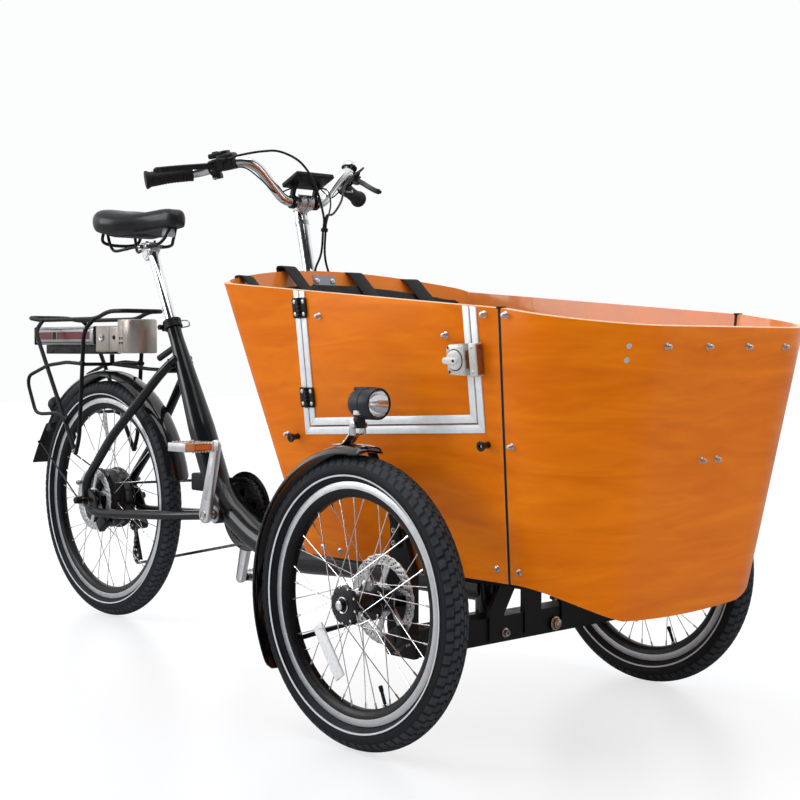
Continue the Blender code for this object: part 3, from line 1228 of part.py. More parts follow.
def box_shells():
    """The rear sheet with its doorway and the front sheet, both bent from plywood."""
    rear = bent_sheet(both_halves(rear_columns()))
    half_gap = DOOR_GAP / 2
    opening = block((0, 0, 0), (DOOR_RIGHT - DOOR_LEFT + DOOR_GAP, 0.6, 0.080))
    opening.data.transform(Matrix.Translation(((DOOR_LEFT + DOOR_RIGHT) / 2, 0.3 - half_gap, 0)))
    opening.data.transform(wall_frame(0, DOOR_BOTTOM))
    trim = door_band(DOOR_LEFT - half_gap, DOOR_RIGHT + half_gap, -half_gap, TRIM_WIDTH,
                     TRIM_PROUD * 2)
    rear = fuse(cut(rear, opening), trim)
    for x, z in ((1.669, 0.747), (1.129, 0.529), (1.204, 0.318), (1.253, 0.315), (1.655, 0.325)):
        rear = fuse(rear, bolt(x, z))
    for x, z in ((1.159, 0.526), (1.656, 0.533)):
        rear = fuse(rear, bolt(x, z, 0.008, 0.020))
    node(rear, "box_rear_shell", PLYWOOD, STEERING)
    front = bent_sheet(both_halves(front_columns()))
    for y in (-0.167, -0.056, 0.056, 0.167):
        x = front_face_x(0.695) - 0.004
        front = fuse(front, rod((x - 0.004, y, 0.695), (x + 0.010, y, 0.695), 0.0045, 6))
    node(front, "box_front_shell", PLYWOOD, STEERING)


def front_face_x(z):
    low, top = BOX_BOTTOM - FRONT_DIP, FRONT_TOP_Z
    return FRONT_BOTTOM_X + (FRONT_TOP_X - FRONT_BOTTOM_X) * (z - low) / (top - low)


def door():
    """The door panel with its edge strips and the loose leaves of both hinges."""
    half_gap = DOOR_GAP / 2
    left, right = DOOR_LEFT + half_gap, DOOR_RIGHT - half_gap
    outline = [(left, half_gap), (right, half_gap), (right, up_wall(rim_z(right))),
               (left, up_wall(rim_z(left)))]
    panel = sheet(outline, PLY, wall_frame(0, DOOR_BOTTOM, -PLY / 2))
    inner_left, inner_right = left + TRIM_WIDTH, right - TRIM_WIDTH
    trim = door_band(inner_left, inner_right, half_gap + TRIM_WIDTH, TRIM_WIDTH, TRIM_PROUD * 2)
    made = fuse(panel, trim)
    for height in HINGE_HEIGHTS:
        leaf = hinge_leaf(height, 1)
        made = fuse(made, leaf)
    pin = hinge_axis_point(HINGE_HEIGHTS[0])
    axis = pivot("door_hinge_axis", pin, STEERING)
    node(made, "door", PLYWOOD, axis)


def hinge_leaf(height, way):
    """One leaf of a hinge on the wall, its inner edge clear of the pin's barrel."""
    start = HINGE_PIN_RADIUS + RUNNING_GAP if way > 0 else 0.0
    end = HINGE_SIZE / 2
    size = (end - start, HINGE_SIZE, 0.0030)
    leaf = block((0, 0, 0), size)
    leaf.data.transform(Matrix.Translation((way * (start + end) / 2, 0, 0)))
    leaf.data.transform(wall_frame(DOOR_LEFT, height, 0.0026 if way > 0 else 0.0035))
    return leaf


def hinge_axis_point(height):
    return near_wall(DOOR_LEFT, height, HINGE_PIN_OUT)


def hinges():
    for label, height in zip(("upper", "lower"), HINGE_HEIGHTS):
        up = Vector((0, -math.sin(WALL_LEAN), math.cos(WALL_LEAN)))
        middle = hinge_axis_point(height)
        barrel = rod(middle - up * HINGE_SIZE / 2, middle + up * HINGE_SIZE / 2,
                     HINGE_PIN_RADIUS, 10)
        node(fuse(hinge_leaf(height, -1), barrel), "door_hinge_" + label, MATT_BLACK, STEERING)


def latch():
    """The rim lock on the door with its thumb turn, and the keeper on the frame beside it."""
    base = TRIM_PROUD + GAP
    body = block((0, 0, 0), (LATCH_WIDTH, LATCH_HEIGHT, LATCH_DEPTH))
    body.data.transform(wall_frame(LATCH_X, LATCH_Z, base + LATCH_DEPTH / 2))
    keeper = block((0, 0, 0), (KEEPER_WIDTH, LATCH_HEIGHT + 0.002, LATCH_DEPTH))
    keeper_x = DOOR_RIGHT + 0.007 + KEEPER_WIDTH / 2
    keeper.data.transform(wall_frame(keeper_x, LATCH_Z, base + LATCH_DEPTH / 2))
    knob_x = LATCH_X - 0.002
    face = base + LATCH_DEPTH + GAP
    out = wall_frame(knob_x, LATCH_Z, 0).col[2].to_3d()
    start = near_wall(knob_x, LATCH_Z, face)
    knob = rod(start, start + out * 0.006, 0.017, 20)
    wing = block((0, 0, 0), (0.034, 0.010, 0.013))
    wing.data.transform(wall_frame(knob_x - 0.002, LATCH_Z, face + 0.010))
    door_axis = bpy.data.objects["door_hinge_axis"]
    node(body, "latch_body", LATCH_WHITE, door_axis)
    node(keeper, "latch_keeper", LATCH_WHITE, STEERING)
    node(fuse(knob, wing), "latch_knob", LATCH_WHITE, pivot("latch_turn", start, door_axis))


def floor_and_bench():
    """The two floor panels, and the bench: a seat board on a front panel over their joint."""
    rear, front = both_halves(rear_columns()), both_halves(front_columns())
    seam_x = BENCH_FRONT_X - BENCH_SETBACK + PLY / 2 + GAP
    level = Matrix.Translation((0, 0, FLOOR_UNDERSIDE + PLY / 2))
    behind = bench_outline(rear, FLOOR_UNDERSIDE, FLOOR_ROOM, seam_x)
    node(sheet(behind, PLY, level), "box_floor_rear", PLYWOOD, STEERING)
    inset = PLY + FLOOR_ROOM
    side_y = wall_y(FLOOR_UNDERSIDE) - inset
    seams = plan_at(rear, FLOOR_UNDERSIDE, inset)
    outline = [(seam_x + GAP, side_y), seams[0], *plan_at(front, FLOOR_UNDERSIDE, inset), seams[-1],
               (seam_x + GAP, -side_y)]
    node(sheet(outline, PLY, level), "box_floor", PLYWOOD, STEERING)
    board_z = BENCH_TOP - PLY
    board = bench_outline(rear, board_z, 0.0025, BENCH_FRONT_X)
    top = sheet(board, PLY, Matrix.Translation((0, 0, BENCH_TOP - PLY / 2)))
    floor_top = FLOOR_UNDERSIDE + PLY + GAP
    low, high = wall_y(floor_top) - PLY - 0.003, wall_y(board_z) - PLY - 0.003
    flat = Matrix(((0, 0, 1, BENCH_FRONT_X - BENCH_SETBACK), (1, 0, 0, 0), (0, 1, 0, 0), (0, 0, 0, 1)))
    panel = sheet([(-low, floor_top), (low, floor_top), (high, board_z + 0.002),
                   (-high, board_z + 0.002)], PLY, flat)
    node(fuse(top, panel), "seat_bench", PLYWOOD, STEERING)


def bench_outline(columns, z, clearance, front_x):
    """The inner face's plan at a height, closed by a straight front edge."""
    line = [point for point in plan_at(columns, z, PLY + clearance) if point.x < front_x - 0.02]
    side = wall_y(z) - PLY - clearance
    return [(front_x, side), *[tuple(point) for point in line], (front_x, -side)]


def cushions():
    """The seat pad on the bench and the back pad along the rear wall, both crowned."""
    rear = both_halves(rear_columns())
    base = BENCH_TOP + GAP * 2
    outline = [Vector(point) for point in bench_outline(rear, base, 0.004, BENCH_FRONT_X + 0.004)]
    middle = sum(outline, Vector((0, 0))) / len(outline)
    layers = ((0.960, 0.0), (1.0, 0.22), (1.0, 0.62), (0.965, 0.86), (0.80, 1.0), (0.40, 1.12))
    shape = bmesh.new()
    rings = [[shape.verts.new((*(middle + (point - middle) * size), base + SEAT_PAD * height))
              for point in outline] for size, height in layers]
    count = len(outline)
    for first, second in zip(rings, rings[1:]):
        for i in range(count):
            j = (i + 1) % count
            shape.faces.new((first[i], first[j], second[j], second[i]))
    shape.faces.new(rings[0])
    crown = shape.verts.new((*middle, base + SEAT_PAD * 1.16))
    for i in range(count):
        shape.faces.new((rings[-1][i], rings[-1][(i + 1) % count], crown))
    node(finished(shape, "seat_cushion"), "seat_cushion", CUSHION_BLACK, STEERING)
    back_cushion(rear[5:-5], base + SEAT_PAD * 1.02 + 0.002)


def back_cushion(columns, bottom):
    """A pad that follows the rear wall, thinner at its edges than in its middle."""
    rows = 6
    shape = bmesh.new()
    back, front = [], []
    for row in range(rows):
        v = row / (rows - 1)
        back_row, front_row = [], []
        heights = [bottom + (top.z - PAD_BELOW_RIM - bottom) * v for low, top in columns]
        for i, height in enumerate(heights):
            u = i / (len(columns) - 1)
            swell = (1 - abs(2 * u - 1) ** 4) * (1 - abs(2 * v - 1) ** 4)
            back_face = PLY + BELT_ROOM
            behind = plan_at(columns, height, back_face)[i]
            ahead = plan_at(columns, height, back_face + BACK_PAD * (0.45 + 0.55 * swell))[i]
            back_row.append(shape.verts.new((*behind, height)))
            front_row.append(shape.verts.new((*ahead, height)))
        back.append(back_row)
        front.append(front_row)
    last = len(columns) - 1
    for row in range(rows - 1):
        for i in range(last):
            for grid in (back, front):
                shape.faces.new((grid[row][i], grid[row][i + 1], grid[row + 1][i + 1],
                                 grid[row + 1][i]))
        for i in (0, last):
            shape.faces.new((back[row][i], back[row + 1][i], front[row + 1][i], front[row][i]))
    for row in (0, rows - 1):
        for i in range(last):
            shape.faces.new((back[row][i], back[row][i + 1], front[row][i + 1], front[row][i]))
    node(finished(shape, "back_cushion"), "back_cushion", CUSHION_BLACK, STEERING)


def seat_belts():
    """Four webbing loops over the back pad, sewn to one strip between the pad and the wall."""
    rear = both_halves(rear_columns())[5:-5]
    middle = PLY + BELT_ROOM / 2
    half = BELT_THICKNESS / 2
    level = RIM_CORNER_Z - 0.052
    rows = [(level - 0.013, middle - half), (level - 0.013, middle + half),
            (level + 0.013, middle + half), (level + 0.013, middle - half)]
    shape = bmesh.new()
    rings = [[shape.verts.new((*point, z)) for point in plan_at(rear, z, inset)]
             for z, inset in rows]
    columns = list(zip(*rings))
    for first, second in zip(columns, columns[1:]):
        for i in range(4):
            j = (i + 1) % 4
            shape.faces.new((first[i], first[j], second[j], second[i]))
    shape.faces.new(columns[0])
    shape.faces.new(columns[-1])
    made = finished(shape, "strip")
    for place in BELT_PLACES:
        rim = rear_rim_z(place)
        slant = 1.07 + 1.5 * place ** 2
        behind, ahead = middle * slant + 0.001, (PLY + BELT_ROOM + BACK_PAD + 0.006) * slant + 0.004
        line = [(behind, level - 0.010), (behind, rim - 0.012), (behind + 0.003, rim + 0.016),
                (ahead - 0.004, rim + 0.017), (ahead + 0.002, rim - 0.012), (ahead, rim - 0.050),
                (ahead, rim - 0.095)]
        loop = [(rear_face_x(place, z) + inset, place, z) for inset, z in line]
        step = BELT_WIDTH / 2
        level_run = rear_face_x(place + step, level) - rear_face_x(place - step, level)
        made = fuse(made, strap(loop, (level_run, BELT_WIDTH, 0), BELT_WIDTH, BELT_THICKNESS))
    node(made, "seat_belts", CUSHION_BLACK, STEERING)


# Steering column, handlebar and what is on it
def bar_points(side):
    """The handlebar's line from its straight middle to one end, swept up and back."""
    y = side
    return [Vector((BAR_CENTRE.x, y * 0.054, BAR_CENTRE.z)),
            Vector((BAR_CENTRE.x - 0.006, y * 0.080, BAR_CENTRE.z + 0.030)),
            Vector((BAR_CENTRE.x - 0.009, y * 0.118, BAR_CENTRE.z + 0.070)),
            Vector((BAR_CENTRE.x - 0.020, y * 0.150, BAR_CENTRE.z + 0.082)),
            Vector((BAR_CENTRE.x - 0.055, y * 0.178, BAR_CENTRE.z + 0.072)),
            Vector((GRIP_INNER.x, y * GRIP_INNER.y, GRIP_INNER.z)),
            Vector((GRIP_OUTER.x, y * GRIP_OUTER.y, GRIP_OUTER.z))]


def grip_frame(side):
    """Inner and outer points of a grip, its direction, and the way forward square to it."""
    inner = Vector((GRIP_INNER.x, side * GRIP_INNER.y, GRIP_INNER.z))
    outer = Vector((GRIP_OUTER.x, side * GRIP_OUTER.y, GRIP_OUTER.z))
    along = (outer - inner).normalized()
    forward = (Vector((1, 0, 0)) - along * along.x).normalized()
    return inner, outer, along, forward


def column_point(z):
    """The column's centre line at a height; it leans with the rear wall behind it."""
    return Vector((BAR_CENTRE.x - 0.0155 + COLUMN_SLOPE * (BAR_CENTRE.z - z), 0, z))


def steering_column():
    """A tube bolted behind the box by two brackets, with the handlebar's clamp at its top."""
    tube = rod(column_point(COLUMN_FOOT_Z), column_point(BAR_CENTRE.z - 0.004), COLUMN_RADIUS, 12)
    clamp = rod(BAR_CENTRE - ALONG_Y * 0.020, BAR_CENTRE + ALONG_Y * 0.020, BAR_RADIUS + 0.006, 12)
    neck = block((BAR_CENTRE.x - 0.010, 0, BAR_CENTRE.z - 0.010), (0.026, 0.030, 0.022))
    made = fuse(tube, neck, clamp)
    for z in (COLUMN_FOOT_Z + 0.040, RIM_CORNER_Z - 0.022):
        start = column_point(z).x
        end = rear_face_x(0, z + 0.015) - GAP
        made = fuse(made, block(((start + end) / 2, 0, z), (end - start, 0.046, 0.030)))
    brace = strap([column_point(RIM_CORNER_Z + 0.055), (rear_face_x(0, RIM_CORNER_Z + 0.010) - 0.006, 0,
                                                       RIM_CORNER_Z + 0.010),
                   (rear_face_x(0, RIM_CORNER_Z - 0.010) - 0.006, 0, RIM_CORNER_Z - 0.020)],
                  ALONG_Y, 0.016, 0.004)
    bore = rod(BAR_CENTRE - ALONG_Y * 0.04, BAR_CENTRE + ALONG_Y * 0.04, BAR_RADIUS + GAP * 3, 12)
    node(cut(fuse(made, brace), bore), "steering_column", POLISHED, STEERING)


def handlebar():
    far_half = bar_points(FAR)
    line = [*reversed(bar_points(NEAR)), *far_half]
    node(pipe(rounded(line, 0.016, 1), BAR_RADIUS, 2), "handlebar", POLISHED, STEERING)


def grip_and_lever(side):
    """A rubber grip, the lever mount clamped inboard of it and the sprung brake lever."""
    label = "near" if side == NEAR else "far"
    inner, outer, along, forward = grip_frame(side)
    length = (outer - inner).length
    start = 0.017
    bore = BAR_RADIUS + GAP * 2
    grip = turned([(0, length + 0.004), (GRIP_RADIUS + 0.003, length + 0.004),
                   (GRIP_RADIUS + 0.003, length - 0.002), (GRIP_RADIUS, length - 0.006),
                   (GRIP_RADIUS * 0.94, length * 0.5), (GRIP_RADIUS, start), (bore, start),
                   (bore, length + 0.0008), (0, length + 0.0008)], inner, along, 12)
    node(grip, "grip_" + label, MATT_BLACK, STEERING)
    up = forward.cross(along) * (1 if side == NEAR else -1)
    if up.z < 0:
        up.negate()
    knee = bar_points(side)[4]
    run = (inner - knee).normalized()
    middle = knee.lerp(inner, 0.35)
    ring = rod(middle - run * 0.009, middle + run * 0.009, BAR_RADIUS + 0.006, 14)
    turn = Matrix((run, up, run.cross(up))).transposed().to_4x4()
    body = block(middle + forward * 0.016 + up * 0.006, (0.040, 0.024, 0.022), turn)
    cable_end = middle + forward * 0.020 + up * 0.010 - run * 0.030
    body = fuse(ring, body, rod(middle + forward * 0.020 + up * 0.010, cable_end, 0.006, 8))
    bar_room = rod(middle - run * 0.06, middle + run * 0.06, BAR_RADIUS + GAP * 4, 14)
    pin = middle + forward * 0.030 + up * 0.006 + run * 0.014
    jaw = block(pin + forward * 0.004 + along * 0.004, (0.030, 0.009, 0.024), turn)
    body = cut(body, bar_room, jaw)
    node(body, "brake_mount_" + label, MATT_BLACK, STEERING)
    tip = pin + along * LEVER_LENGTH + forward * 0.006 + up * 0.004
    blade = strap(rounded([pin - run * 0.004, pin + along * 0.030 + forward * 0.006,
                           pin + along * 0.070 + forward * 0.003, tip,
                           tip + along * 0.008 + forward * 0.008], 0.02, 2), up, 0.007, 0.006)
    axis = pivot("brake_lever_axis_" + label, pin, STEERING)
    node(blade, "brake_lever_" + label, MATT_BLACK, axis)
    return cable_end, run


def display():
    """The flat screen on two legs that clamp the straight middle of the bar."""
    centre = BAR_CENTRE + Vector((0.016, 0, 0.046))
    turn = Matrix.Rotation(math.radians(-DISPLAY_TILT), 4, "Y")
    made = block(centre, (0.060, 0.104, 0.011), turn)
    for side in (NEAR, FAR):
        y = side * 0.031
        ring = rod((BAR_CENTRE.x, y - 0.005, BAR_CENTRE.z), (BAR_CENTRE.x, y + 0.005, BAR_CENTRE.z),
                   BAR_RADIUS + 0.004, 10)
        leg = strap([(BAR_CENTRE.x, y, BAR_CENTRE.z + 0.006),
                     (BAR_CENTRE.x + 0.004, y, BAR_CENTRE.z + 0.028), (centre.x, y, centre.z)],
                    ALONG_Y, 0.009, 0.012)
        made = fuse(made, ring, leg)
        room = rod((BAR_CENTRE.x, y - 0.02, BAR_CENTRE.z), (BAR_CENTRE.x, y + 0.02, BAR_CENTRE.z),
                   BAR_RADIUS + GAP * 4, 10)
        made = cut(made, room)
    node(made, "display", MATT_BLACK, STEERING)


def bell():
    """A domed bell on the bar's far rise, whose cap is twisted to ring it."""
    points = bar_points(FAR)
    middle = points[3].lerp(points[4], 0.4)
    run = (points[4] - points[3]).normalized()
    out = (UP - run * run.z).normalized()
    foot = middle + out * (BAR_RADIUS + 0.0008)
    dome = turned([(0, 0.020), (0.008, 0.0185), (0.014, 0.013), (0.016, 0.005), (0.016, 0.002),
                   (0, 0.002)], foot, out, 16)
    node(dome, "bell", POLISHED, pivot("bell_twist", foot, STEERING))


def control_cables(ends):
    """Brake hoses and control leads from both mounts to the tie, then down behind the box."""
    tie = Vector(CABLE_TIE)
    made = block(tie, (0.013, 0.014, 0.008))
    port = column_point(COLUMN_FOOT_Z + 0.075)
    for (end, run), side, route in zip(ends, (NEAR, FAR), (NEAR_HOSE, FAR_HOSE)):
        lead = end - run * (CABLE_RADIUS + GAP)
        made = fuse(made, pipe(flowing([lead, lead - run * 0.030, *route,
                                        tie + Vector((0.002, side * 0.004, 0.030)),
                                        tie + Vector((0, side * 0.0035, -0.002))], 0.019),
                               CABLE_RADIUS, 1))
    for side in (NEAR, FAR):
        drop = [tie + Vector((0, side * 0.0035, 0.002)), tie + Vector((-0.005, side * 0.005, -0.050)),
                Vector((rear_face_x(0, 0.853) - 0.010, side * 0.018, 0.862)),
                Vector((rear_face_x(0, 0.825) - 0.009, side * 0.029, 0.825)),
                Vector((rear_face_x(0, 0.775) - 0.016, side * 0.029, 0.775)),
                Vector((rear_face_x(0, 0.660) - 0.032, side * 0.022, 0.660)),
                Vector((port.x + 0.032, side * 0.007, port.z + 0.035)),
                port + Vector((COLUMN_RADIUS + 0.0022, side * 0.004, 0.0))]
        made = fuse(made, pipe(flowing(drop, 0.040), CABLE_RADIUS, 1))
    node(made, "control_cables", MATT_BLACK, STEERING)


def stand_on_origin():
    """Move the whole tricycle so that the origin is under the middle of its outer box."""
    bpy.context.view_layer.update()
    corners = [piece.matrix_world @ vertex.co for piece in PARTS.objects if piece.type == "MESH"
               for vertex in piece.data.vertices]
    low = Vector((min(c.x for c in corners), min(c.y for c in corners), min(c.z for c in corners)))
    high = Vector((max(c.x for c in corners), max(c.y for c in corners), max(c.z for c in corners)))
    ROOT.location = (-(low.x + high.x) / 2, -(low.y + high.y) / 2, -low.z)
    bpy.context.view_layer.update()
    print("origin shift", *(round(value, 5) for value in ROOT.location))
    print("size", *(round(value, 4) for value in high - low))
    for empty in PARTS.objects:
        if empty.type == "EMPTY":
            print("axis", empty.name, *(round(v, 5) for v in empty.matrix_world.translation))


for wheel_side in (NEAR, FAR):
    front_wheel(wheel_side)
    front_caliper(wheel_side)
    front_fender(wheel_side)
rear_wheel()
rear_sprockets()
main_frame()
seat_clamp()
seat_clamp_lever()
saddle(*seat_post())
crankset()
chain()
rear_caliper()
derailleur()
rack()
battery_and_dock()
rear_fender_and_light()
front_chassis()
headlight()
box_shells()
door()
hinges()
latch()
floor_and_bench()
cushions()
seat_belts()
steering_column()
handlebar()
lever_ends = [grip_and_lever(grip_side) for grip_side in (NEAR, FAR)]
display()
bell()
control_cables(lever_ends)
stand_on_origin()
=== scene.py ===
"""Electric cargo tricycle: its visible pieces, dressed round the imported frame.

Sections follow the tricycle as it is put together, from the rider's frame to the cables. Pieces
are modelled with the rear axle at X = 0, as a frame builder measures. Each building function puts
what it makes on the bench, and settle() joins the bench and moves it to its place in the frame.
"""
import math

import bmesh
import bpy
from mathutils import Matrix, Vector


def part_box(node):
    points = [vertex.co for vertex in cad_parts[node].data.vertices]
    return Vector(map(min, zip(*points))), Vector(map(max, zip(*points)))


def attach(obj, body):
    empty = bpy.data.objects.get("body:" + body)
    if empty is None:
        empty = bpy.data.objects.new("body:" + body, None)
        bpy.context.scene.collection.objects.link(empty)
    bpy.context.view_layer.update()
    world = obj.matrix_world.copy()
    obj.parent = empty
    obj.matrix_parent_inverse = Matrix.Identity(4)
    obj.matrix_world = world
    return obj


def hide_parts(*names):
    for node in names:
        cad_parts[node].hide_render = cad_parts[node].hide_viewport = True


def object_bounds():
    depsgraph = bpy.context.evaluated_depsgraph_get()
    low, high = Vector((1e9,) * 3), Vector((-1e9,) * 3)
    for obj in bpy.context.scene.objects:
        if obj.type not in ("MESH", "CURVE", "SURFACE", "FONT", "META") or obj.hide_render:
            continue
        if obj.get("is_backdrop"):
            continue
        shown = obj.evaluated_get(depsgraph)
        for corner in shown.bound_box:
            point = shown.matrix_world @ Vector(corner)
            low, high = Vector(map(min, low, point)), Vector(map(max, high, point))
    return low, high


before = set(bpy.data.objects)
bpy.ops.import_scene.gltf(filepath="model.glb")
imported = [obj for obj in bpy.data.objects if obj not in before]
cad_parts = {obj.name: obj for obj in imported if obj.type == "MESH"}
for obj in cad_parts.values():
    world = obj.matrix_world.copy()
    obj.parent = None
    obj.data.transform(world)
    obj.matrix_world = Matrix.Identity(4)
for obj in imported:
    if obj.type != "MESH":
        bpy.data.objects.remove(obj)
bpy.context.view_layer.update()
bpy.ops.object.select_all(action="DESELECT")

# ---------------------------------------------------------------------------------------------
# Rider's frame: hydroformed main tube, stays and dropouts of steel, welded with small round
# beads and painted gloss black. The kingpin sleeve at its front carries the cargo box.

REAR_AXLE_X = -0.78157
SIDES = (("near", -1), ("far", 1))
AHEAD, ALONG_Y, UP = Vector((1, 0, 0)), Vector((0, 1, 0)), Vector((0, 0, 1))
REAR_Z = 0.3045
BRACKET = Vector((0.51, 0, 0.305))
SEAT_LEAN = math.radians(25.7)
SEAT_AXIS = Vector((math.sin(SEAT_LEAN), 0, -math.cos(SEAT_LEAN)))
SEAT_TUBE_TOP = Vector((0.287, 0, 0.757))
STEER_X = 1.3605
DROPOUT_Y = 0.07
STAY_RADIUS = 0.0115
bench = []


def wired(tree, made, ramp=(), **settings):
    """Give a node its settings: attributes, values of inputs, or the sockets linked to them."""
    for name, value in settings.items():
        if hasattr(made, name):
            setattr(made, name, value)
            continue
        socket = made.inputs[int(name[1:]) if name[0] == "_" else name.replace("_", " ")]
        if isinstance(value, bpy.types.NodeSocket):
            tree.links.new(value, socket)
        else:
            socket.default_value = value
    for i, (position, colour) in enumerate(ramp):
        elements = made.color_ramp.elements
        element = elements[i] if i < 2 else elements.new(position)
        element.position, element.color = position, (*colour, 1)
    return made


def add_node(tree, kind, ramp=(), **settings):
    return wired(tree, tree.nodes.new("ShaderNode" + kind), ramp, **settings)


def new_material(name, colour):
    """A material with its node tree, its shader and the object's own coordinates."""
    made = bpy.data.materials.new(name)
    made.use_nodes = True
    made.diffuse_color = (*colour, 1.0)
    tree = made.node_tree
    place = add_node(tree, "TexCoord").outputs["Object"]
    return made, tree, tree.nodes["Principled BSDF"], place


def surface(name, colour, rough, metal=0.0, mottle=0.2, cloud=60.0, grain=0.1, grain_scale=900.0, coat=0.0,
        sheen=0.0, shine=0.22):
    """A finish whose colour, gloss and fine texture vary a little over the piece."""
    made, tree, shader, place = new_material(name, colour)
    patches = add_node(tree, "TexNoise", Vector=place, Scale=cloud, Detail=5).outputs["Fac"]
    pores = add_node(tree, "TexNoise", Vector=place, Scale=grain_scale, Detail=2).outputs["Fac"]
    tint = add_node(tree, "ValToRGB", ((0.32, [c * (1 - mottle) for c in colour]),
        (0.68, [min(1, c * (1 + mottle)) for c in colour])), Fac=patches)
    gloss = add_node(tree, "MapRange", Value=patches, From_Min=0.3, From_Max=0.7, To_Min=rough * 0.82,
        To_Max=min(1, rough * 1.22))
    relief = add_node(tree, "Bump", Height=pores, Strength=grain, Distance=0.0006)
    wired(tree, shader, Base_Color=tint.outputs["Color"], Roughness=gloss.outputs["Result"],
        Normal=relief.outputs["Normal"], Metallic=metal, Coat_Weight=coat, Coat_Roughness=0.08,
        Sheen_Weight=sheen, Specular_IOR_Level=shine)
    return made


def at(*place):
    return Vector(place)


def take(made):
    """Make the object the only one selected and the active one."""
    bpy.ops.object.select_all(action="DESELECT")
    made.select_set(True)
    bpy.context.view_layer.objects.active = made
    return made


def linked(name, data):
    made = bpy.data.objects.new(name, data)
    bpy.context.collection.objects.link(made)
    return take(made)


def edited(made, *steps):
    """Run mesh operators on the whole of an object, each given with its settings."""
    take(made)
    bpy.ops.object.mode_set(mode="EDIT")
    bpy.ops.mesh.select_all(action="SELECT")
    for operator, settings in steps:
        operator(**settings)
    bpy.ops.object.mode_set(mode="OBJECT")
    return made


def welded(made):
    """Close seams and poles and turn every face outwards."""
    return edited(made, (bpy.ops.mesh.remove_doubles, {"threshold": 0.000005}),
        (bpy.ops.mesh.normals_make_consistent, {"inside": False}))


def painted(made, *finishes):
    made.data.materials.clear()
    for finish in finishes:
        made.data.materials.append(finish)
    return made


def kept(made, *finishes):
    """Paint a finished part and lay it on the bench."""
    bench.append(painted(made, *finishes))
    return made


def altered(made, kind, **settings):
    """Apply a modifier to an object."""
    change = take(made).modifiers.new("change", kind)
    for name, value in settings.items():
        setattr(change, name, value)
    bpy.ops.object.modifier_apply(modifier=change.name)
    return made


def softened(made, width, segments=2, angle=35):
    """Round the hard edges with a bevel."""
    return altered(made, "BEVEL", width=width, segments=segments, limit_method="ANGLE",
        angle_limit=math.radians(angle))


def settle(name, body, slot, *nodes, angle=38):
    """Join the bench to one piece, move it to its place, smooth it and hang it on its body."""
    bpy.ops.object.select_all(action="DESELECT")
    for part in bench:
        part.select_set(True)
    bpy.context.view_layer.objects.active = bench[0]
    bpy.ops.object.join()
    made = take(bpy.context.view_layer.objects.active)
    bench.clear()
    made.name = made.data.name = name
    made.location.x += REAR_AXLE_X
    bpy.ops.object.transform_apply(location=True, rotation=True, scale=True)
    bpy.ops.object.shade_smooth_by_angle(angle=math.radians(angle))
    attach(made, body)
    if nodes:
        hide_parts(*nodes)
    return made


def laid(axis, centre):
    """A matrix with local Z along the axis and the origin on the centre."""
    turn = Vector(axis).normalized().to_track_quat("Z", "Y").to_matrix().to_4x4()
    return Matrix.Translation(centre) @ turn


def dowel(start, end, radius, finish, sides=28, end_radius=None, edge=0.0):
    """A straight round bar between two points, its rims rounded where `edge` is given."""
    start, end = Vector(start), Vector(end)
    bpy.ops.mesh.primitive_cone_add(vertices=sides, radius1=radius,
        radius2=radius if end_radius is None else end_radius, depth=(end - start).length)
    made = bpy.context.active_object
    made.matrix_world = laid(end - start, (start + end) / 2)
    return kept(softened(made, edge, 2, 50) if edge else made, finish)


def ball(centre, radius, finish, stretch=1.0):
    bpy.ops.mesh.primitive_uv_sphere_add(segments=20, ring_count=12, radius=radius, location=centre)
    made = bpy.context.active_object
    made.scale.x = stretch
    return kept(made, finish)


def cast_block(centre, size, finish, turn=Matrix.Identity(4), edge=0.002, segments=3, placed=None):
    """A box section with rounded edges, turned about its centre or laid in a matrix."""
    bpy.ops.mesh.primitive_cube_add(size=1.0)
    made = take(bpy.context.active_object)
    made.matrix_world = Matrix.Translation(centre) @ turn @ Matrix.Diagonal((*size, 1.0))
    bpy.ops.object.transform_apply(location=True, rotation=True, scale=True)
    softened(made, edge, segments)
    if placed:
        made.data.transform(placed)
    return kept(made, finish)


def turned(profile, centre, axis, finish, steps=48, closed=False):
    """A profile of (radius, height) points spun about the axis."""
    mesh = bpy.data.meshes.new("turned")
    edges = [(i, i + 1) for i in range(len(profile) - 1)]
    if closed:
        edges.append((len(profile) - 1, 0))
    mesh.from_pydata([(radius, 0.0, height) for radius, height in profile], edges, [])
    made = welded(edited(linked("turned", mesh), (bpy.ops.mesh.spin,
        {"steps": steps, "angle": math.tau, "center": (0, 0, 0), "axis": (0, 0, 1)})))
    made.matrix_world = laid(axis, centre)
    return kept(made, finish)


def traced(curve, rings, closed, radii=None):
    """The mesh of a curve object that follows the rings of points."""
    for ring in rings:
        line = curve.splines.new("POLY")
        line.points.add(len(ring) - 1)
        for i, point in enumerate(ring):
            line.points[i].co = (*point, 1.0) if len(point) == 3 else (*point, 0.0, 1.0)
            line.points[i].radius = radii[i] if radii else 1.0
        line.use_cyclic_u = closed
    linked("traced", curve)
    bpy.ops.object.convert(target="MESH")
    return bpy.context.active_object


def bent_tube(points, radius, finish, round_steps=4, closed=False, radii=None):
    """A tube of constant or given radii along the points, its ends closed."""
    curve = bpy.data.curves.new("tube", "CURVE")
    curve.dimensions = "3D"
    curve.bevel_depth = radius
    curve.bevel_resolution = round_steps
    curve.use_fill_caps = not closed
    return kept(traced(curve, [points], closed, radii and [r / radius for r in radii]), finish)


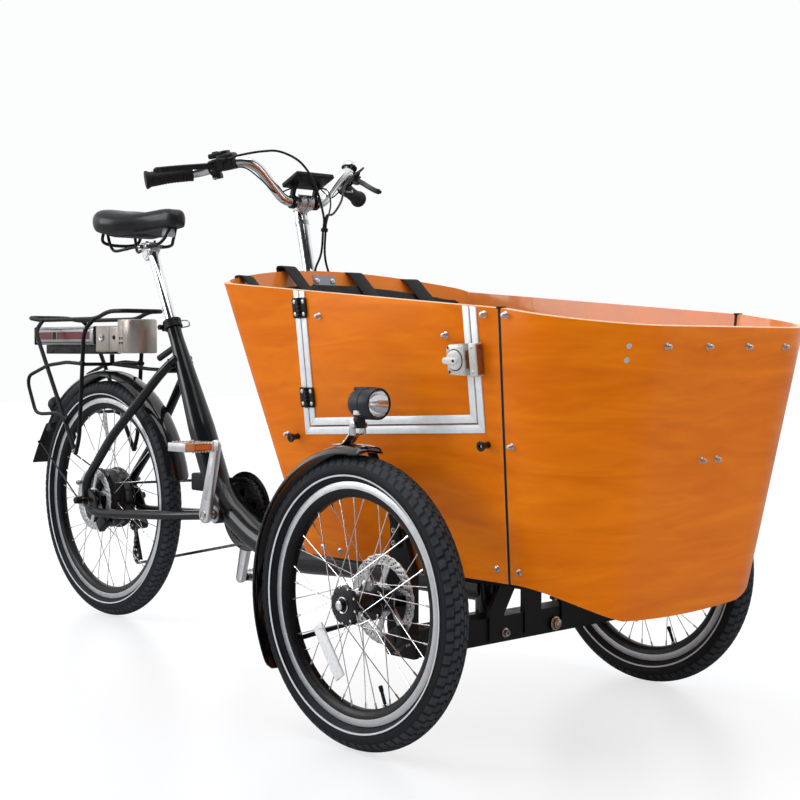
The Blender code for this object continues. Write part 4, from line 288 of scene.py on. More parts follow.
def cut_plate(outline, thickness, placed, finish, holes=(), edge=0.0):
    """Sheet metal cut to an outline with holes, in the plane of the matrix."""
    curve = bpy.data.curves.new("plate", "CURVE")
    curve.dimensions = "2D"
    curve.fill_mode = "BOTH"
    curve.extrude = thickness / 2 - edge
    curve.bevel_depth = edge
    curve.bevel_resolution = 1
    curve.offset = -edge
    made = traced(curve, (outline, *holes), True)
    made.matrix_world = placed
    return kept(welded(made), finish)


def skinned(shape, rings, loop=True, caps=True):
    """Faces through rings of points; a ring is open or closed, the end rings may get a face."""
    grid = [[shape.verts.new(point) for point in ring] for ring in rings]
    for first, second in zip(grid, grid[1:]):
        for i in range(len(first) - (not loop)):
            j = (i + 1) % len(first)
            shape.faces.new((first[i], first[j], second[j], second[i]))
    if caps:
        shape.faces.new(grid[0])
        shape.faces.new(grid[-1])
    return shape


def meshed(name, shape):
    """An object of a bmesh."""
    mesh = bpy.data.meshes.new(name)
    shape.to_mesh(mesh)
    shape.free()
    return linked(name, mesh)


def strip(points, across, width, thickness, finish, edge=0.0006):
    """Flat bar or webbing along the points, its width laid along `across`."""
    points = [Vector(point) for point in points]
    side = Vector(across).normalized()
    rings = []
    for i, point in enumerate(points):
        run = points[min(i + 1, len(points) - 1)] - points[max(i - 1, 0)]
        flat = run.cross(side).normalized()
        rings.append([point + side * a * width / 2 + flat * b * thickness / 2 for a, b in ((1, 1), (1, -1),
            (-1, -1), (-1, 1))])
    made = welded(meshed("strip", skinned(bmesh.new(), rings)))
    return kept(softened(made, edge, 1, 50), finish)


def rounded(points, bend, steps=6):
    """The points with each inner corner replaced by a bend that starts `bend` before it."""
    points = [Vector(point) for point in points]
    path = [points[0]]
    for before, corner, after in zip(points, points[1:], points[2:]):
        start = corner + (before - corner).normalized() * min(bend, (corner - before).length / 2)
        end = corner + (after - corner).normalized() * min(bend, (after - corner).length / 2)
        for i in range(steps + 1):
            t = i / steps
            path.append(start * (1 - t) ** 2 + corner * 2 * t * (1 - t) + end * t ** 2)
    path.append(points[-1])
    return path


def flowing(points, spacing):
    """Points at an even spacing on a smooth curve through the given points."""
    points = [Vector(point) for point in points]
    ends = [points[0] * 2 - points[1], *points, points[-1] * 2 - points[-2]]
    path = [points[0]]
    for a, b, c, d in zip(ends, ends[1:], ends[2:], ends[3:]):
        pieces = max(1, round((c - b).length / spacing))
        for i in range(1, pieces + 1):
            t = i / pieces
            path.append((b * 2 + (c - a) * t + (a * 2 - b * 5 + c * 4 - d) * t ** 2 + (b * 3 - a - c * 3 + d)
                * t ** 3) / 2)
    return path


def polar(radius, angle, centre=(0, 0)):
    """(x, y) at a radius and an angle in radians from the centre."""
    return centre[0] + radius * math.cos(angle), centre[1] + radius * math.sin(angle)


def arc(centre, radius, start, end, steps):
    """(x, y) points on an arc between two angles in degrees."""
    return [polar(radius, math.radians(start + (end - start) * i / steps), centre) for i in range(steps + 1)]


def toothed(count, corners):
    """A gear's outline: each tooth repeats the corners, given as (angle, radius)."""
    return [polar(r, math.tau * k / count + turn_by) for k in range(count) for turn_by, r in corners]


def hex_bolt(place, out, across, height, finish, socket=True, washer=0.0):
    """A bolt head on a washer, with a hexagon socket or a domed top."""
    out, place = Vector(out).normalized(), Vector(place)
    if washer:
        dowel(place, place + out * 0.0012, washer, finish, 20, edge=0.0003)
        place = place + out * 0.001
    if socket:
        inner = across * 0.3
        turned([(0, height * 0.4), (inner, height * 0.4), (inner, height * 0.96), (inner * 1.5, height),
            (across * 0.44, height * 0.93), (across / 2, height * 0.7), (across / 2, 0), (0, 0)], place, out,
            finish, 20)
    else:
        dowel(place, place + out * height * 0.7, across / 2, finish, 6, edge=0.0004)
        turned([(0, height), (across * 0.22, height * 0.95), (across * 0.4, height * 0.66),
            (0, height * 0.6)], place, out, finish, 16)


def frame_plane(x, y, z):
    """A matrix whose local X is ahead, local Y up and local Z across the machine."""
    return Matrix(((1, 0, 0, x), (0, 0, 1, y), (0, 1, 0, z), (0, 0, 0, 1)))


GLOSS_BLACK = surface("gloss_black_paint", (0.006, 0.007, 0.008), 0.16, cloud=18, grain=0.05, grain_scale=260,
    coat=0.35)
SATIN_BLACK = surface("satin_black_coat", (0.007, 0.007, 0.008), 0.42, mottle=0.25, grain=0.28,
    grain_scale=1500)
ZINC = surface("zinc_plated_steel", (0.6, 0.6, 0.6), 0.28, 1.0, mottle=0.14, cloud=120, grain=0.12)


def seat_tube(distance):
    return SEAT_TUBE_TOP + SEAT_AXIS * distance


spine = rounded([SEAT_TUBE_TOP, seat_tube(0.03), seat_tube(0.315), (BRACKET.x - 0.019, 0, BRACKET.z + 0.03),
    (BRACKET.x + 0.13, 0, BRACKET.z - 0.055), (BRACKET.x + 0.26, 0, 0.224), (STEER_X - 0.4, 0, 0.235),
    (STEER_X, 0, 0.232)], 0.06, 12)
swell = [min(0.032, 0.0175 + max(0, (point - SEAT_TUBE_TOP).length - 0.05) * 0.062) for point in spine]
bent_tube(spine, 0.032, GLOSS_BLACK, 10, radii=swell)
dowel(BRACKET - ALONG_Y * 0.036, BRACKET + ALONG_Y * 0.036, 0.022, GLOSS_BLACK, 40, edge=0.0015)
dowel((STEER_X, 0, 0.176), (STEER_X, 0, 0.2914), 0.026, GLOSS_BLACK, 40, edge=0.002)
dowel((0.349, -0.042, 0.289), (0.349, 0.042, 0.289), 0.008, GLOSS_BLACK)
dowel((0.2995, -0.034, 0.64), (0.2995, 0.034, 0.64), 0.008, GLOSS_BLACK)
cast_block((0.418, 0, 0.373), (0.062, 0.034, 0.042), SATIN_BLACK, edge=0.005)
dowel((0.31, 0, 0.7), (0.232, 0, 0.668), 0.008, GLOSS_BLACK)
for name, side in SIDES:
    out = side * DROPOUT_Y
    stay = rounded([(0.33, side * 0.016, 0.668), (0.3, side * 0.034, 0.64), (0.12, out, 0.47),
        (-0.004, out, REAR_Z + 0.045), (0.006, out, REAR_Z - 0.02), (0.06, out, REAR_Z - 0.031),
        (0.345, side * 0.038, 0.289), (BRACKET.x - 0.025, side * 0.014, 0.3)], 0.03, 8)
    bent_tube(stay, STAY_RADIUS, GLOSS_BLACK, 5)
    dropout = [(-0.012, 0.02), (0.01, 0.032), (0.042, 0.012), (0.055, -0.022), (0.01, -0.026),
        (-0.016, -0.014)]
    cut_plate(dropout, 0.007, frame_plane(0, out, REAR_Z), GLOSS_BLACK, edge=0.0012)
    dowel((0, side * 0.0735, REAR_Z), (0, side * 0.076, REAR_Z), 0.0135, ZINC, 28, edge=0.0004)
    dowel((0, side * 0.076, REAR_Z), (0, side * 0.088, REAR_Z), 0.0105, ZINC, 6, edge=0.0007)
    dowel((0, side * 0.076, REAR_Z), (0, side * 0.1045, REAR_Z), 0.0105, SATIN_BLACK, 24, end_radius=0.0085,
        edge=0.0015)
    # weld beads where the stays meet the main tube
    turned(arc((STAY_RADIUS + 0.0005, 0), 0.002, 0, 330, 9), (0.318, side * 0.024, 0.656),
        (0.7, side * -0.5, 0.65), GLOSS_BLACK, 24, True)
for y in (-0.036, 0.036):
    turned([(0.0125, -0.0004), (0.0195, -0.0004), (0.0195, 0.0014), (0.0125, 0.0014)],
        BRACKET + ALONG_Y * y * 1.012, (0, math.copysign(1, y), 0), ZINC, 32, True)
settle("rider_frame", "frame", "frame_paint", "main_frame")

# ---------------------------------------------------------------------------------------------
# Seat clamp, post and saddle: a black forged collar with a wire lever on a cam, a polished post,
# and a gel saddle in satin cover on steel wire rails, held by a cast two-bolt head.

POLISHED = surface("polished_aluminium", (0.86, 0.86, 0.87), 0.1, 1.0, mottle=0.05, cloud=40, grain=0.03,
    grain_scale=1200)
CAST_ALUMINIUM = surface("cast_aluminium", (0.66, 0.66, 0.67), 0.3, 1.0, mottle=0.12, cloud=140, grain=0.22,
    grain_scale=1100)
WIRE = surface("black_wire", (0.016, 0.016, 0.017), 0.28, 0.3, cloud=90)
SADDLE_COVER = surface("saddle_cover", (0.009, 0.01, 0.013), 0.36, mottle=0.22, cloud=30, grain=0.35,
    grain_scale=1700)
SADDLE_PANEL = surface("saddle_side_panel", (0.014, 0.014, 0.016), 0.34, cloud=40, grain=0.2,
    grain_scale=1300, coat=0.2)
SADDLE_PLATE = surface("saddle_base_plate", (0.03, 0.03, 0.032), 0.5, grain=0.3)
BUMPER_GREY = surface("nose_bumper_grey", (0.34, 0.35, 0.35), 0.42, mottle=0.12, cloud=70, grain=0.2)
CLAMP_OUTER, CLAMP_INNER, POST_RADIUS = 0.0229, 0.0184, 0.0136
clamp_middle = SEAT_TUBE_TOP + SEAT_AXIS * 0.007 + at(-CLAMP_OUTER - 0.0085, 0, -0.0065)
lean_turn = Matrix.Rotation(SEAT_LEAN, 4, (0, -1, 0))
turned([(CLAMP_OUTER - 0.0012, 0.004), (CLAMP_OUTER, 0.0028), (CLAMP_OUTER, -0.003),
    (CLAMP_OUTER - 0.001, -0.004), (CLAMP_OUTER - 0.001, -0.01), (CLAMP_OUTER, -0.011),
    (CLAMP_OUTER, -0.0168), (CLAMP_OUTER - 0.0012, -0.018), (CLAMP_INNER, -0.018), (CLAMP_INNER, 0.0005),
    (POST_RADIUS + 0.0006, 0.0005), (POST_RADIUS + 0.0006, 0.004)], SEAT_TUBE_TOP, -SEAT_AXIS, SATIN_BLACK,
    48, closed=True)
ear_place = SEAT_TUBE_TOP + SEAT_AXIS * 0.007 + at(-CLAMP_OUTER - 0.005, 0, -0.0065)
for _, side in SIDES:
    cast_block(ear_place + ALONG_Y * side * 0.0059, (0.0165, 0.0082, 0.016), SATIN_BLACK, lean_turn, 0.0018)
turned([(0, 0.0113), (0.005, 0.0113), (0.0065, 0.01), (0.0065, 0.003), (0.0056, 0.0024), (0.0056, 0.0),
    (0, 0.0)], clamp_middle - ALONG_Y * 0.0092, -ALONG_Y, SATIN_BLACK, 28)
dowel(clamp_middle - ALONG_Y * 0.015, clamp_middle + ALONG_Y * 0.01, 0.003, ZINC, 20)
settle("seat_clamp_ring", "frame", "black_metal", "seat_clamp")

cam_middle = clamp_middle + ALONG_Y * 0.0168
dowel(cam_middle - SEAT_AXIS * 0.0075, cam_middle + SEAT_AXIS * 0.0075, 0.0065, SATIN_BLACK, 32, edge=0.0008)
loop = [cam_middle + Vector(step) for step in ((0, 0.003, 0.003), (0.03, 0.013, 0.018), (0.056, 0.014, 0.016),
    (0.06, 0.014, 0.003), (0.03, 0.013, 0.0), (0, 0.003, -0.003))]
bent_tube(rounded(loop, 0.01, 8), 0.0017, ZINC, 3)
settle("wire_clamp_lever", "seat_clamp_lever", "bright_steel", "seat_clamp_lever")

post_top = SEAT_TUBE_TOP - SEAT_AXIS * 0.2
dowel(seat_tube(0.18), post_top + SEAT_AXIS * 0.004, POST_RADIUS, POLISHED, 64, edge=0.0008)
for mark in range(6):
    ring = SEAT_TUBE_TOP - SEAT_AXIS * (0.06 + 0.01 * mark)
    cast_block(ring + at(-POST_RADIUS * math.cos(SEAT_LEAN) + 0.00025, 0,
        -POST_RADIUS * math.sin(SEAT_LEAN) + 0.0001), (0.0004, 0.006 if mark % 2 else 0.01, 0.0006), ZINC,
        lean_turn, 0.0001, 1)
crown = post_top + at(-0.004, 0, -0.01)
turned([(0, 0.016), (0.009, 0.016), (0.01, 0.0145), (0.0152, 0.0145), (0.017, 0.013), (0.017, -0.013),
    (0.0152, -0.0145), (0.01, -0.0145), (0.009, -0.016), (0, -0.016)], crown, ALONG_Y, CAST_ALUMINIUM, 40)
cast_block(post_top + at(-0.004, 0, 0.0005), (0.044, 0.03, 0.012), CAST_ALUMINIUM, edge=0.004, segments=4)
cast_block(post_top + at(-0.004, 0, 0.0135), (0.04, 0.034, 0.009), CAST_ALUMINIUM, edge=0.003, segments=4)
for way in (-1, 1):
    bolt_foot = post_top + at(-0.004 + way * 0.0165, 0, 0.018)
    dowel(bolt_foot + at(0, 0, -0.024), bolt_foot, 0.0024, ZINC, 16)
    hex_bolt(bolt_foot, (0, 0, 1), 0.0085, 0.005, ZINC)
    for _, side in SIDES:
        dowel(post_top + at(-0.004 + way * 0.02, side * 0.0225, 0.008),
            post_top + at(-0.004 + way * 0.008, side * 0.0225, 0.008), 0.0052, CAST_ALUMINIUM, 24,
            edge=0.0008)
settle("seat_post_with_head", "seat", "polished_aluminium", "seat_post")

SADDLE_TAIL_X, SADDLE_Z = 0.0453, 0.9972
saddle_sections = [(0.0, 0.4, 0.026, 0.02), (0.01, 0.62, 0.038, 0.044), (0.035, 0.8, 0.0445, 0.056),
    (0.09, 0.94, 0.0465, 0.062), (0.19, 0.99, 0.044, 0.065), (0.3, 0.95, 0.0375, 0.062),
    (0.42, 0.82, 0.0315, 0.056), (0.54, 0.62, 0.03, 0.051), (0.66, 0.46, 0.0322, 0.049),
    (0.77, 0.36, 0.0355, 0.049), (0.87, 0.3, 0.036, 0.048), (0.94, 0.24, 0.032, 0.043),
    (0.98, 0.16, 0.024, 0.031), (1.0, 0.07, 0.012, 0.012)]
rings = []
for along, width, rise, depth in saddle_sections:
    half, x, z = 0.1 * width, SADDLE_TAIL_X + 0.284 * along, SADDLE_Z + rise
    groove = 0.003 * max(0.0, 1 - abs(along - 0.42) / 0.4)
    ring = [(0, z - groove), (half * 0.22, z - groove * 0.3), (half * 0.52, z + 0.0006),
        (half * 0.8, z - 0.0032), (half * 0.97, z - depth * 0.3), (half * 1.0, z - depth * 0.58),
        (half * 0.93, z - depth * 0.88), (half * 0.8, z - depth), (half * 0.4, z - depth * 0.95),
        (0, z - depth * 0.9)]
    rings.append([(x, y, height) for y, height in ring + [(-y, height) for y, height in ring[-2:0:-1]]])
pad = kept(welded(meshed("saddle_pad", skinned(bmesh.new(), rings))), SADDLE_COVER, SADDLE_PANEL,
    SADDLE_PLATE)
for face in pad.data.polygons:
    if face.normal.z < -0.75:
        face.material_index = 2
    elif abs(face.normal.z) < 0.42:
        face.material_index = 1
altered(pad, "SUBSURF", levels=2, render_levels=2)
tail = at(SADDLE_TAIL_X, 0, SADDLE_Z)
rail_z = post_top.z - SADDLE_Z
for _, side in SIDES:
    rail = [tail + at(x, side * y, z) for x, y, z in ((0.012, 0.034, 0.004), (0.016, 0.04, -0.016),
        (0.034, 0.036, rail_z + 0.004), (0.072, 0.026, rail_z + 0.004), (0.11, 0.0222, rail_z + 0.008),
        (0.2, 0.0222, rail_z + 0.008), (0.228, 0.014, rail_z + 0.022), (0.246, 0.009, -0.012))]
    bent_tube(flowing(rail, 0.006), 0.004, WIRE, 3)
loop = [tail + Vector(step) for step in ((0.024, -0.056, -0.006), (0.012, -0.05, -0.036), (0.01, 0.0, -0.043),
    (0.012, 0.05, -0.036), (0.024, 0.056, -0.006))]
bent_tube(flowing(loop, 0.005), 0.0042, WIRE, 4)
skirt = [tail + Vector(step) for step in ((0.03, 0, -0.012), (0.075, 0, -0.02), (0.12, 0, -0.017))]
strip(flowing(skirt, 0.01), ALONG_Y, 0.11, 0.014, SADDLE_PLATE, 0.005)
strip([tail + at(0.216, 0, -0.018), tail + at(0.244, 0, -0.022)], ALONG_Y, 0.024, 0.022, BUMPER_GREY, 0.003)
saddle = settle("saddle_on_rails", "seat", "saddle_cover", "saddle", angle=50)

# ---------------------------------------------------------------------------------------------
# Carrier: a closed hoop of satin black 11 mm tube with raised ends, on legs that splay out to
# zinc foot plates at the axle, with a hoop each side to guard bags from the wheel.

RACK_FRONT, RACK_REAR, RACK_Z = 0.164, -0.312, 0.768
RACK_LEG_Y = DROPOUT_Y + STAY_RADIUS + 0.0063
rail = []
for name, side in SIDES:
    y = side * 0.06
    half = [(RACK_REAR, y, RACK_Z + 0.008), (RACK_REAR + 0.06, y, RACK_Z), (RACK_FRONT - 0.13, y, RACK_Z),
        (RACK_FRONT - 0.07, y, RACK_Z + 0.018), (RACK_FRONT, y, RACK_Z + 0.018)]
    rail += half if side < 0 else list(reversed(half))
rail_middle = (RACK_REAR, 0, RACK_Z + 0.008)
bent_tube(rounded([rail_middle, *rail, rail_middle], 0.026, 7)[:-1], 0.0055, SATIN_BLACK, 4, closed=True)
for name, side in SIDES:
    y, out = side * 0.06, side * RACK_LEG_Y
    foot = (-0.022, out, 0.4225)
    rear_leg = [(RACK_REAR + 0.08, y, RACK_Z), (RACK_REAR + 0.09, out, 0.738), foot]
    front_leg = [(RACK_FRONT - 0.138, y, RACK_Z), (RACK_FRONT - 0.142, out, 0.738), (-0.004, out, 0.4645),
        foot]
    guard = [(RACK_FRONT - 0.15, 0.653), (-0.062, 0.657), (-0.16, 0.648), (-0.258, 0.62), (-0.264, 0.598),
        (-0.226, 0.524), (-0.198, 0.519), (-0.112, 0.524), (-0.064, 0.51)]
    bent_tube(rounded(rear_leg, 0.02, 6), 0.0055, SATIN_BLACK, 4)
    bent_tube(rounded(front_leg, 0.02, 6), 0.0055, SATIN_BLACK, 4)
    bent_tube(rounded([(x, out, z) for x, z in guard], 0.016, 5), 0.0047, SATIN_BLACK, 4)
    for joint in ((RACK_REAR + 0.08, y, RACK_Z), (RACK_FRONT - 0.138, y, RACK_Z)):
        ball(joint, 0.0066, SATIN_BLACK, 1.25)
    cut_plate([(-0.032, 0.42), (-0.029, 0.438), (-0.017, 0.438), (-0.008, 0.392), (0.002, 0.35),
        (0.001, 0.3385), (-0.012, 0.3385), (-0.015, 0.352), (-0.02, 0.39)], 0.003, frame_plane(0, 0, out),
        ZINC, holes=[arc((-0.01, 0.372), 0.0028, 0, 330, 11), arc((-0.015, 0.396), 0.0028, 0, 330, 11)],
        edge=0.0004)
    for x, z in ((-0.0055, 0.349), (-0.0225, 0.429)):
        hex_bolt((x, out + side * 0.0012, z), (0, side, 0), 0.0105, 0.0052, ZINC, washer=0.0072)
    dowel((-0.005, side * (DROPOUT_Y + STAY_RADIUS + 0.0003), 0.3505), (-0.005, out, 0.3505), 0.005, ZINC, 20)
    for x, z in ((RACK_FRONT - 0.15, 0.6535), (-0.064, 0.5105)):
        dowel((x - 0.0062, out, z + 0.004), (x + 0.0062, out, z - 0.002), 0.0068, SATIN_BLACK, 20, edge=0.001)
cross_x = RACK_FRONT - 0.15
dowel((cross_x, -RACK_LEG_Y, 0.652), (cross_x, RACK_LEG_Y, 0.652), 0.0045, SATIN_BLACK, 24)
dowel((cross_x, 0, 0.652), (cross_x, 0, 0.6777), 0.006, SATIN_BLACK, 24)
bent_tube(rounded([(cross_x, 0, 0.652), (0.2, 0, 0.64), (0.2895, 0, 0.64)], 0.03, 5), 0.0045, SATIN_BLACK, 4)
settle("carrier_rack", "frame", "black_metal", "rear_rack")

# Battery: an extruded aluminium case that slides along a black rail into a round-nosed housing
# with the lock and the motor's electronics. A dark red band and a black one are inlaid on it.
BATTERY_CASE = surface("battery_anodised_case", (0.42, 0.415, 0.41), 0.3, 0.85, mottle=0.06, cloud=25,
    grain=0.12, grain_scale=1500)
DARK_RED = surface("battery_red_inlay", (0.12, 0.016, 0.015), 0.35, coat=0.3)
HOUSING_SILVER = surface("dock_housing_silver", (0.42, 0.375, 0.335), 0.33, 0.75, mottle=0.08, cloud=40,
    grain=0.15, grain_scale=1400)
MOULDED_BLACK = surface("moulded_black_plastic", (0.008, 0.008, 0.009), 0.45, cloud=50, grain=0.35,
    grain_scale=1200)
BATTERY_FRONT, BATTERY_REAR = 0.0018, -0.3082
battery_centre = ((BATTERY_FRONT + BATTERY_REAR) / 2, 0, 0.726)
cast_block(battery_centre, (0.302, 0.0896, 0.0478), BATTERY_CASE, edge=0.0105, segments=6)
for x in (BATTERY_REAR + 0.004, BATTERY_FRONT - 0.004):
    cast_block((x, 0, 0.726), (0.008, 0.09, 0.048), MOULDED_BLACK, edge=0.0035, segments=4)
for name, side in SIDES:
    for start, end, height, finish in ((-0.292, -0.212, 0.02, DARK_RED), (-0.21, -0.19, 0.02, MOULDED_BLACK),
            (-0.188, -0.022, 0.02, DARK_RED)):
        cast_block(((start + end) / 2, side * 0.0446, 0.726), (end - start, 0.0008, height), finish,
            edge=0.0003, segments=1)
    for z in (0.708, 0.743):
        cast_block((-0.156, side * 0.0448, z), (0.27, 0.0004, 0.0012), MOULDED_BLACK, edge=0.0001, segments=1)
handle = rounded([(BATTERY_REAR + 0.0006, -0.024, 0.714), (BATTERY_REAR - 0.0002, -0.024, 0.7355),
    (BATTERY_REAR - 0.0002, 0.024, 0.7355), (BATTERY_REAR + 0.0006, 0.024, 0.714)], 0.008, 4)
bent_tube(handle, 0.0022, SATIN_BLACK, 3)
settle("battery_case", "battery", "battery_shell", "battery")

cast_block(((-0.2832 + 0.023) / 2, 0, 0.68985), (0.3062, 0.044, 0.0237), MOULDED_BLACK, edge=0.0022)
for x in (-0.262, -0.15, -0.04):
    for name, side in SIDES:
        cast_block((x, side * 0.02, 0.685), (0.034, 0.006, 0.012), MOULDED_BLACK, edge=0.0016)
cast_block((0.063, 0, 0.7165), (0.12, 0.086, 0.067), HOUSING_SILVER, edge=0.0045, segments=4)
cast_block((0.1265, 0, 0.7225), (0.031, 0.0885, 0.085), HOUSING_SILVER, edge=0.0012)
turned([(0, 0.0855), (0.04, 0.0855), (0.0438, 0.0838), (0.045, 0.08), (0.045, 0.003), (0.0438, 0.0008),
    (0.04, 0.0), (0, 0.0)], (0.14, 0, 0.68), (0, 0, 1), HOUSING_SILVER, 64)
for name, side in SIDES:
    cast_block((0.069, side * 0.043, 0.7165), (0.0012, 0.001, 0.06), MOULDED_BLACK, edge=0.0002, segments=1)
    cast_block((0.112, side * 0.0432, 0.7165), (0.0014, 0.0014, 0.064), MOULDED_BLACK, edge=0.0002,
        segments=1)
    for dx in (0.0, 0.0105):
        for dz in (0.0, 0.012):
            cast_block((0.121 + dx, side * 0.0444, 0.706 + dz), (0.0065, 0.0009, 0.006), MOULDED_BLACK,
                edge=0.0003, segments=1)
    hex_bolt((0.092, side * 0.0428, 0.72), (0, side, 0), 0.0105, 0.0022, SATIN_BLACK)
turned([(0, 0.0035), (0.0028, 0.0035), (0.0032, 0.003), (0.005, 0.0038), (0.0092, 0.0036), (0.01, 0.0028),
    (0.01, 0.0), (0, 0.0)], (0.033, -0.0428, 0.72), (0, -1, 0), ZINC, 36)
cast_block((0.033, -0.0466, 0.72), (0.001, 0.0008, 0.0046), MOULDED_BLACK, edge=0.0001, segments=1)
settle("battery_dock_and_rail", "frame", "battery_shell", "battery_dock")

# Rear mudguard of gloss black sheet with rolled edges, a rubber flap, wire stays and the lamp.
MUDFLAP = surface("mudflap_rubber", (0.013, 0.013, 0.013), 0.58, cloud=40, grain=0.3)
GUARD_BLACK = surface("mudguard_gloss_black", (0.008, 0.008, 0.009), 0.12, mottle=0.15, cloud=14, grain=0.02,
    grain_scale=200, coat=0.7)
LAMP_RED = surface("tail_lens_dark_red", (0.16, 0.01, 0.012), 0.18, cloud=300, grain=0.5, grain_scale=500,
    coat=0.6)


def on_circle(centre, radius, angle, y):
    x, z = polar(radius, math.radians(angle), (centre[0], centre[2]))
    return at(x, y, z)


def mudguard(centre, radius, start, end, steps):
    """A crowned sheet round the wheel, its long edges rolled inwards and its ends rounded."""
    half = [(0.0002, 0.0), (0.0012, 0.0115), (0.004, 0.0208), (0.0085, 0.0272), (0.0138, 0.0312),
        (0.015, 0.0308), (0.0142, 0.0296)]
    profile = [(drop, -h) for drop, h in half[:0:-1]] + half
    corner, flat = 0.018, 0.012
    rings = []
    for i in range(steps + 1):
        share = i / steps
        near_end = min(share, 1 - share) * math.radians(abs(end - start)) * radius
        narrow = 1.0 if near_end > corner else 0.55 + 0.45 * math.sqrt(max(0.0,
            1 - (1 - near_end / corner) ** 2))
        rings.append([on_circle(centre, radius - drop * (1 if abs(h) < flat else narrow),
            start + (end - start) * share, centre[1] + h * narrow) for drop, h in profile])
    made = welded(meshed("mudguard", skinned(bmesh.new(), rings, False, False)))
    return kept(altered(made, "SOLIDIFY", thickness=0.0018, offset=0.0), GUARD_BLACK)


rear_centre = (0, 0, REAR_Z)
REAR_GUARD = 0.332
mudguard(rear_centre, REAR_GUARD, 11.5, 150, 110)
flap_line = [on_circle(rear_centre, REAR_GUARD + out, angle, 0) for angle, out in ((146, -0.002),
    (150, 0.0015), (154, 0.005), (157, 0.0085), (160, 0.012), (163, 0.0165), (166, 0.022), (168, 0.0262))]
strip(flap_line, ALONG_Y, 0.056, 0.004, MUDFLAP, 0.001)
for name, side in SIDES:
    top = on_circle(rear_centre, REAR_GUARD + 0.008, 157, side * 0.026)
    end = (-0.0205, side * (DROPOUT_Y + 0.01), REAR_Z - 0.002)
    bent_tube([top, end], 0.002, WIRE, 3)
    hex_bolt(top + at(0, side * 0.0016, 0), (0, side, 0), 0.0075, 0.004, SATIN_BLACK)
    turned([(0, 0.003), (0.005, 0.003), (0.0062, 0.0018), (0.0062, 0), (0, 0)], end, (0, side, 0), ZINC, 24)
settle("rear_mudguard", "frame", "fender_plastic", "rear_fender", angle=45)

lamp_foot = on_circle(rear_centre, REAR_GUARD + 0.0018, 139, 0)
lamp_out = on_circle(rear_centre, 1, 139, 0) - Vector(rear_centre)
turned([(0, 0.034), (0.0204, 0.034), (0.0212, 0.032), (0.0212, 0.014), (0.018, 0.009), (0.0125, 0.004),
    (0.012, 0.0), (0, 0.0)], lamp_foot, lamp_out, MOULDED_BLACK, 48)
turned([(0, 0.044), (0.008, 0.0436), (0.016, 0.0405), (0.0192, 0.0365), (0.0198, 0.034), (0, 0.034)],
    lamp_foot, lamp_out, LAMP_RED, 48)
settle("round_tail_light", "frame", "tail_lens", "tail_light")

# ---------------------------------------------------------------------------------------------
# Cranks and pedals: forged silver arms on one spindle, a gloss black guard over the chainring,
# and open cage pedals with a serrated rim and amber reflectors in black frames.

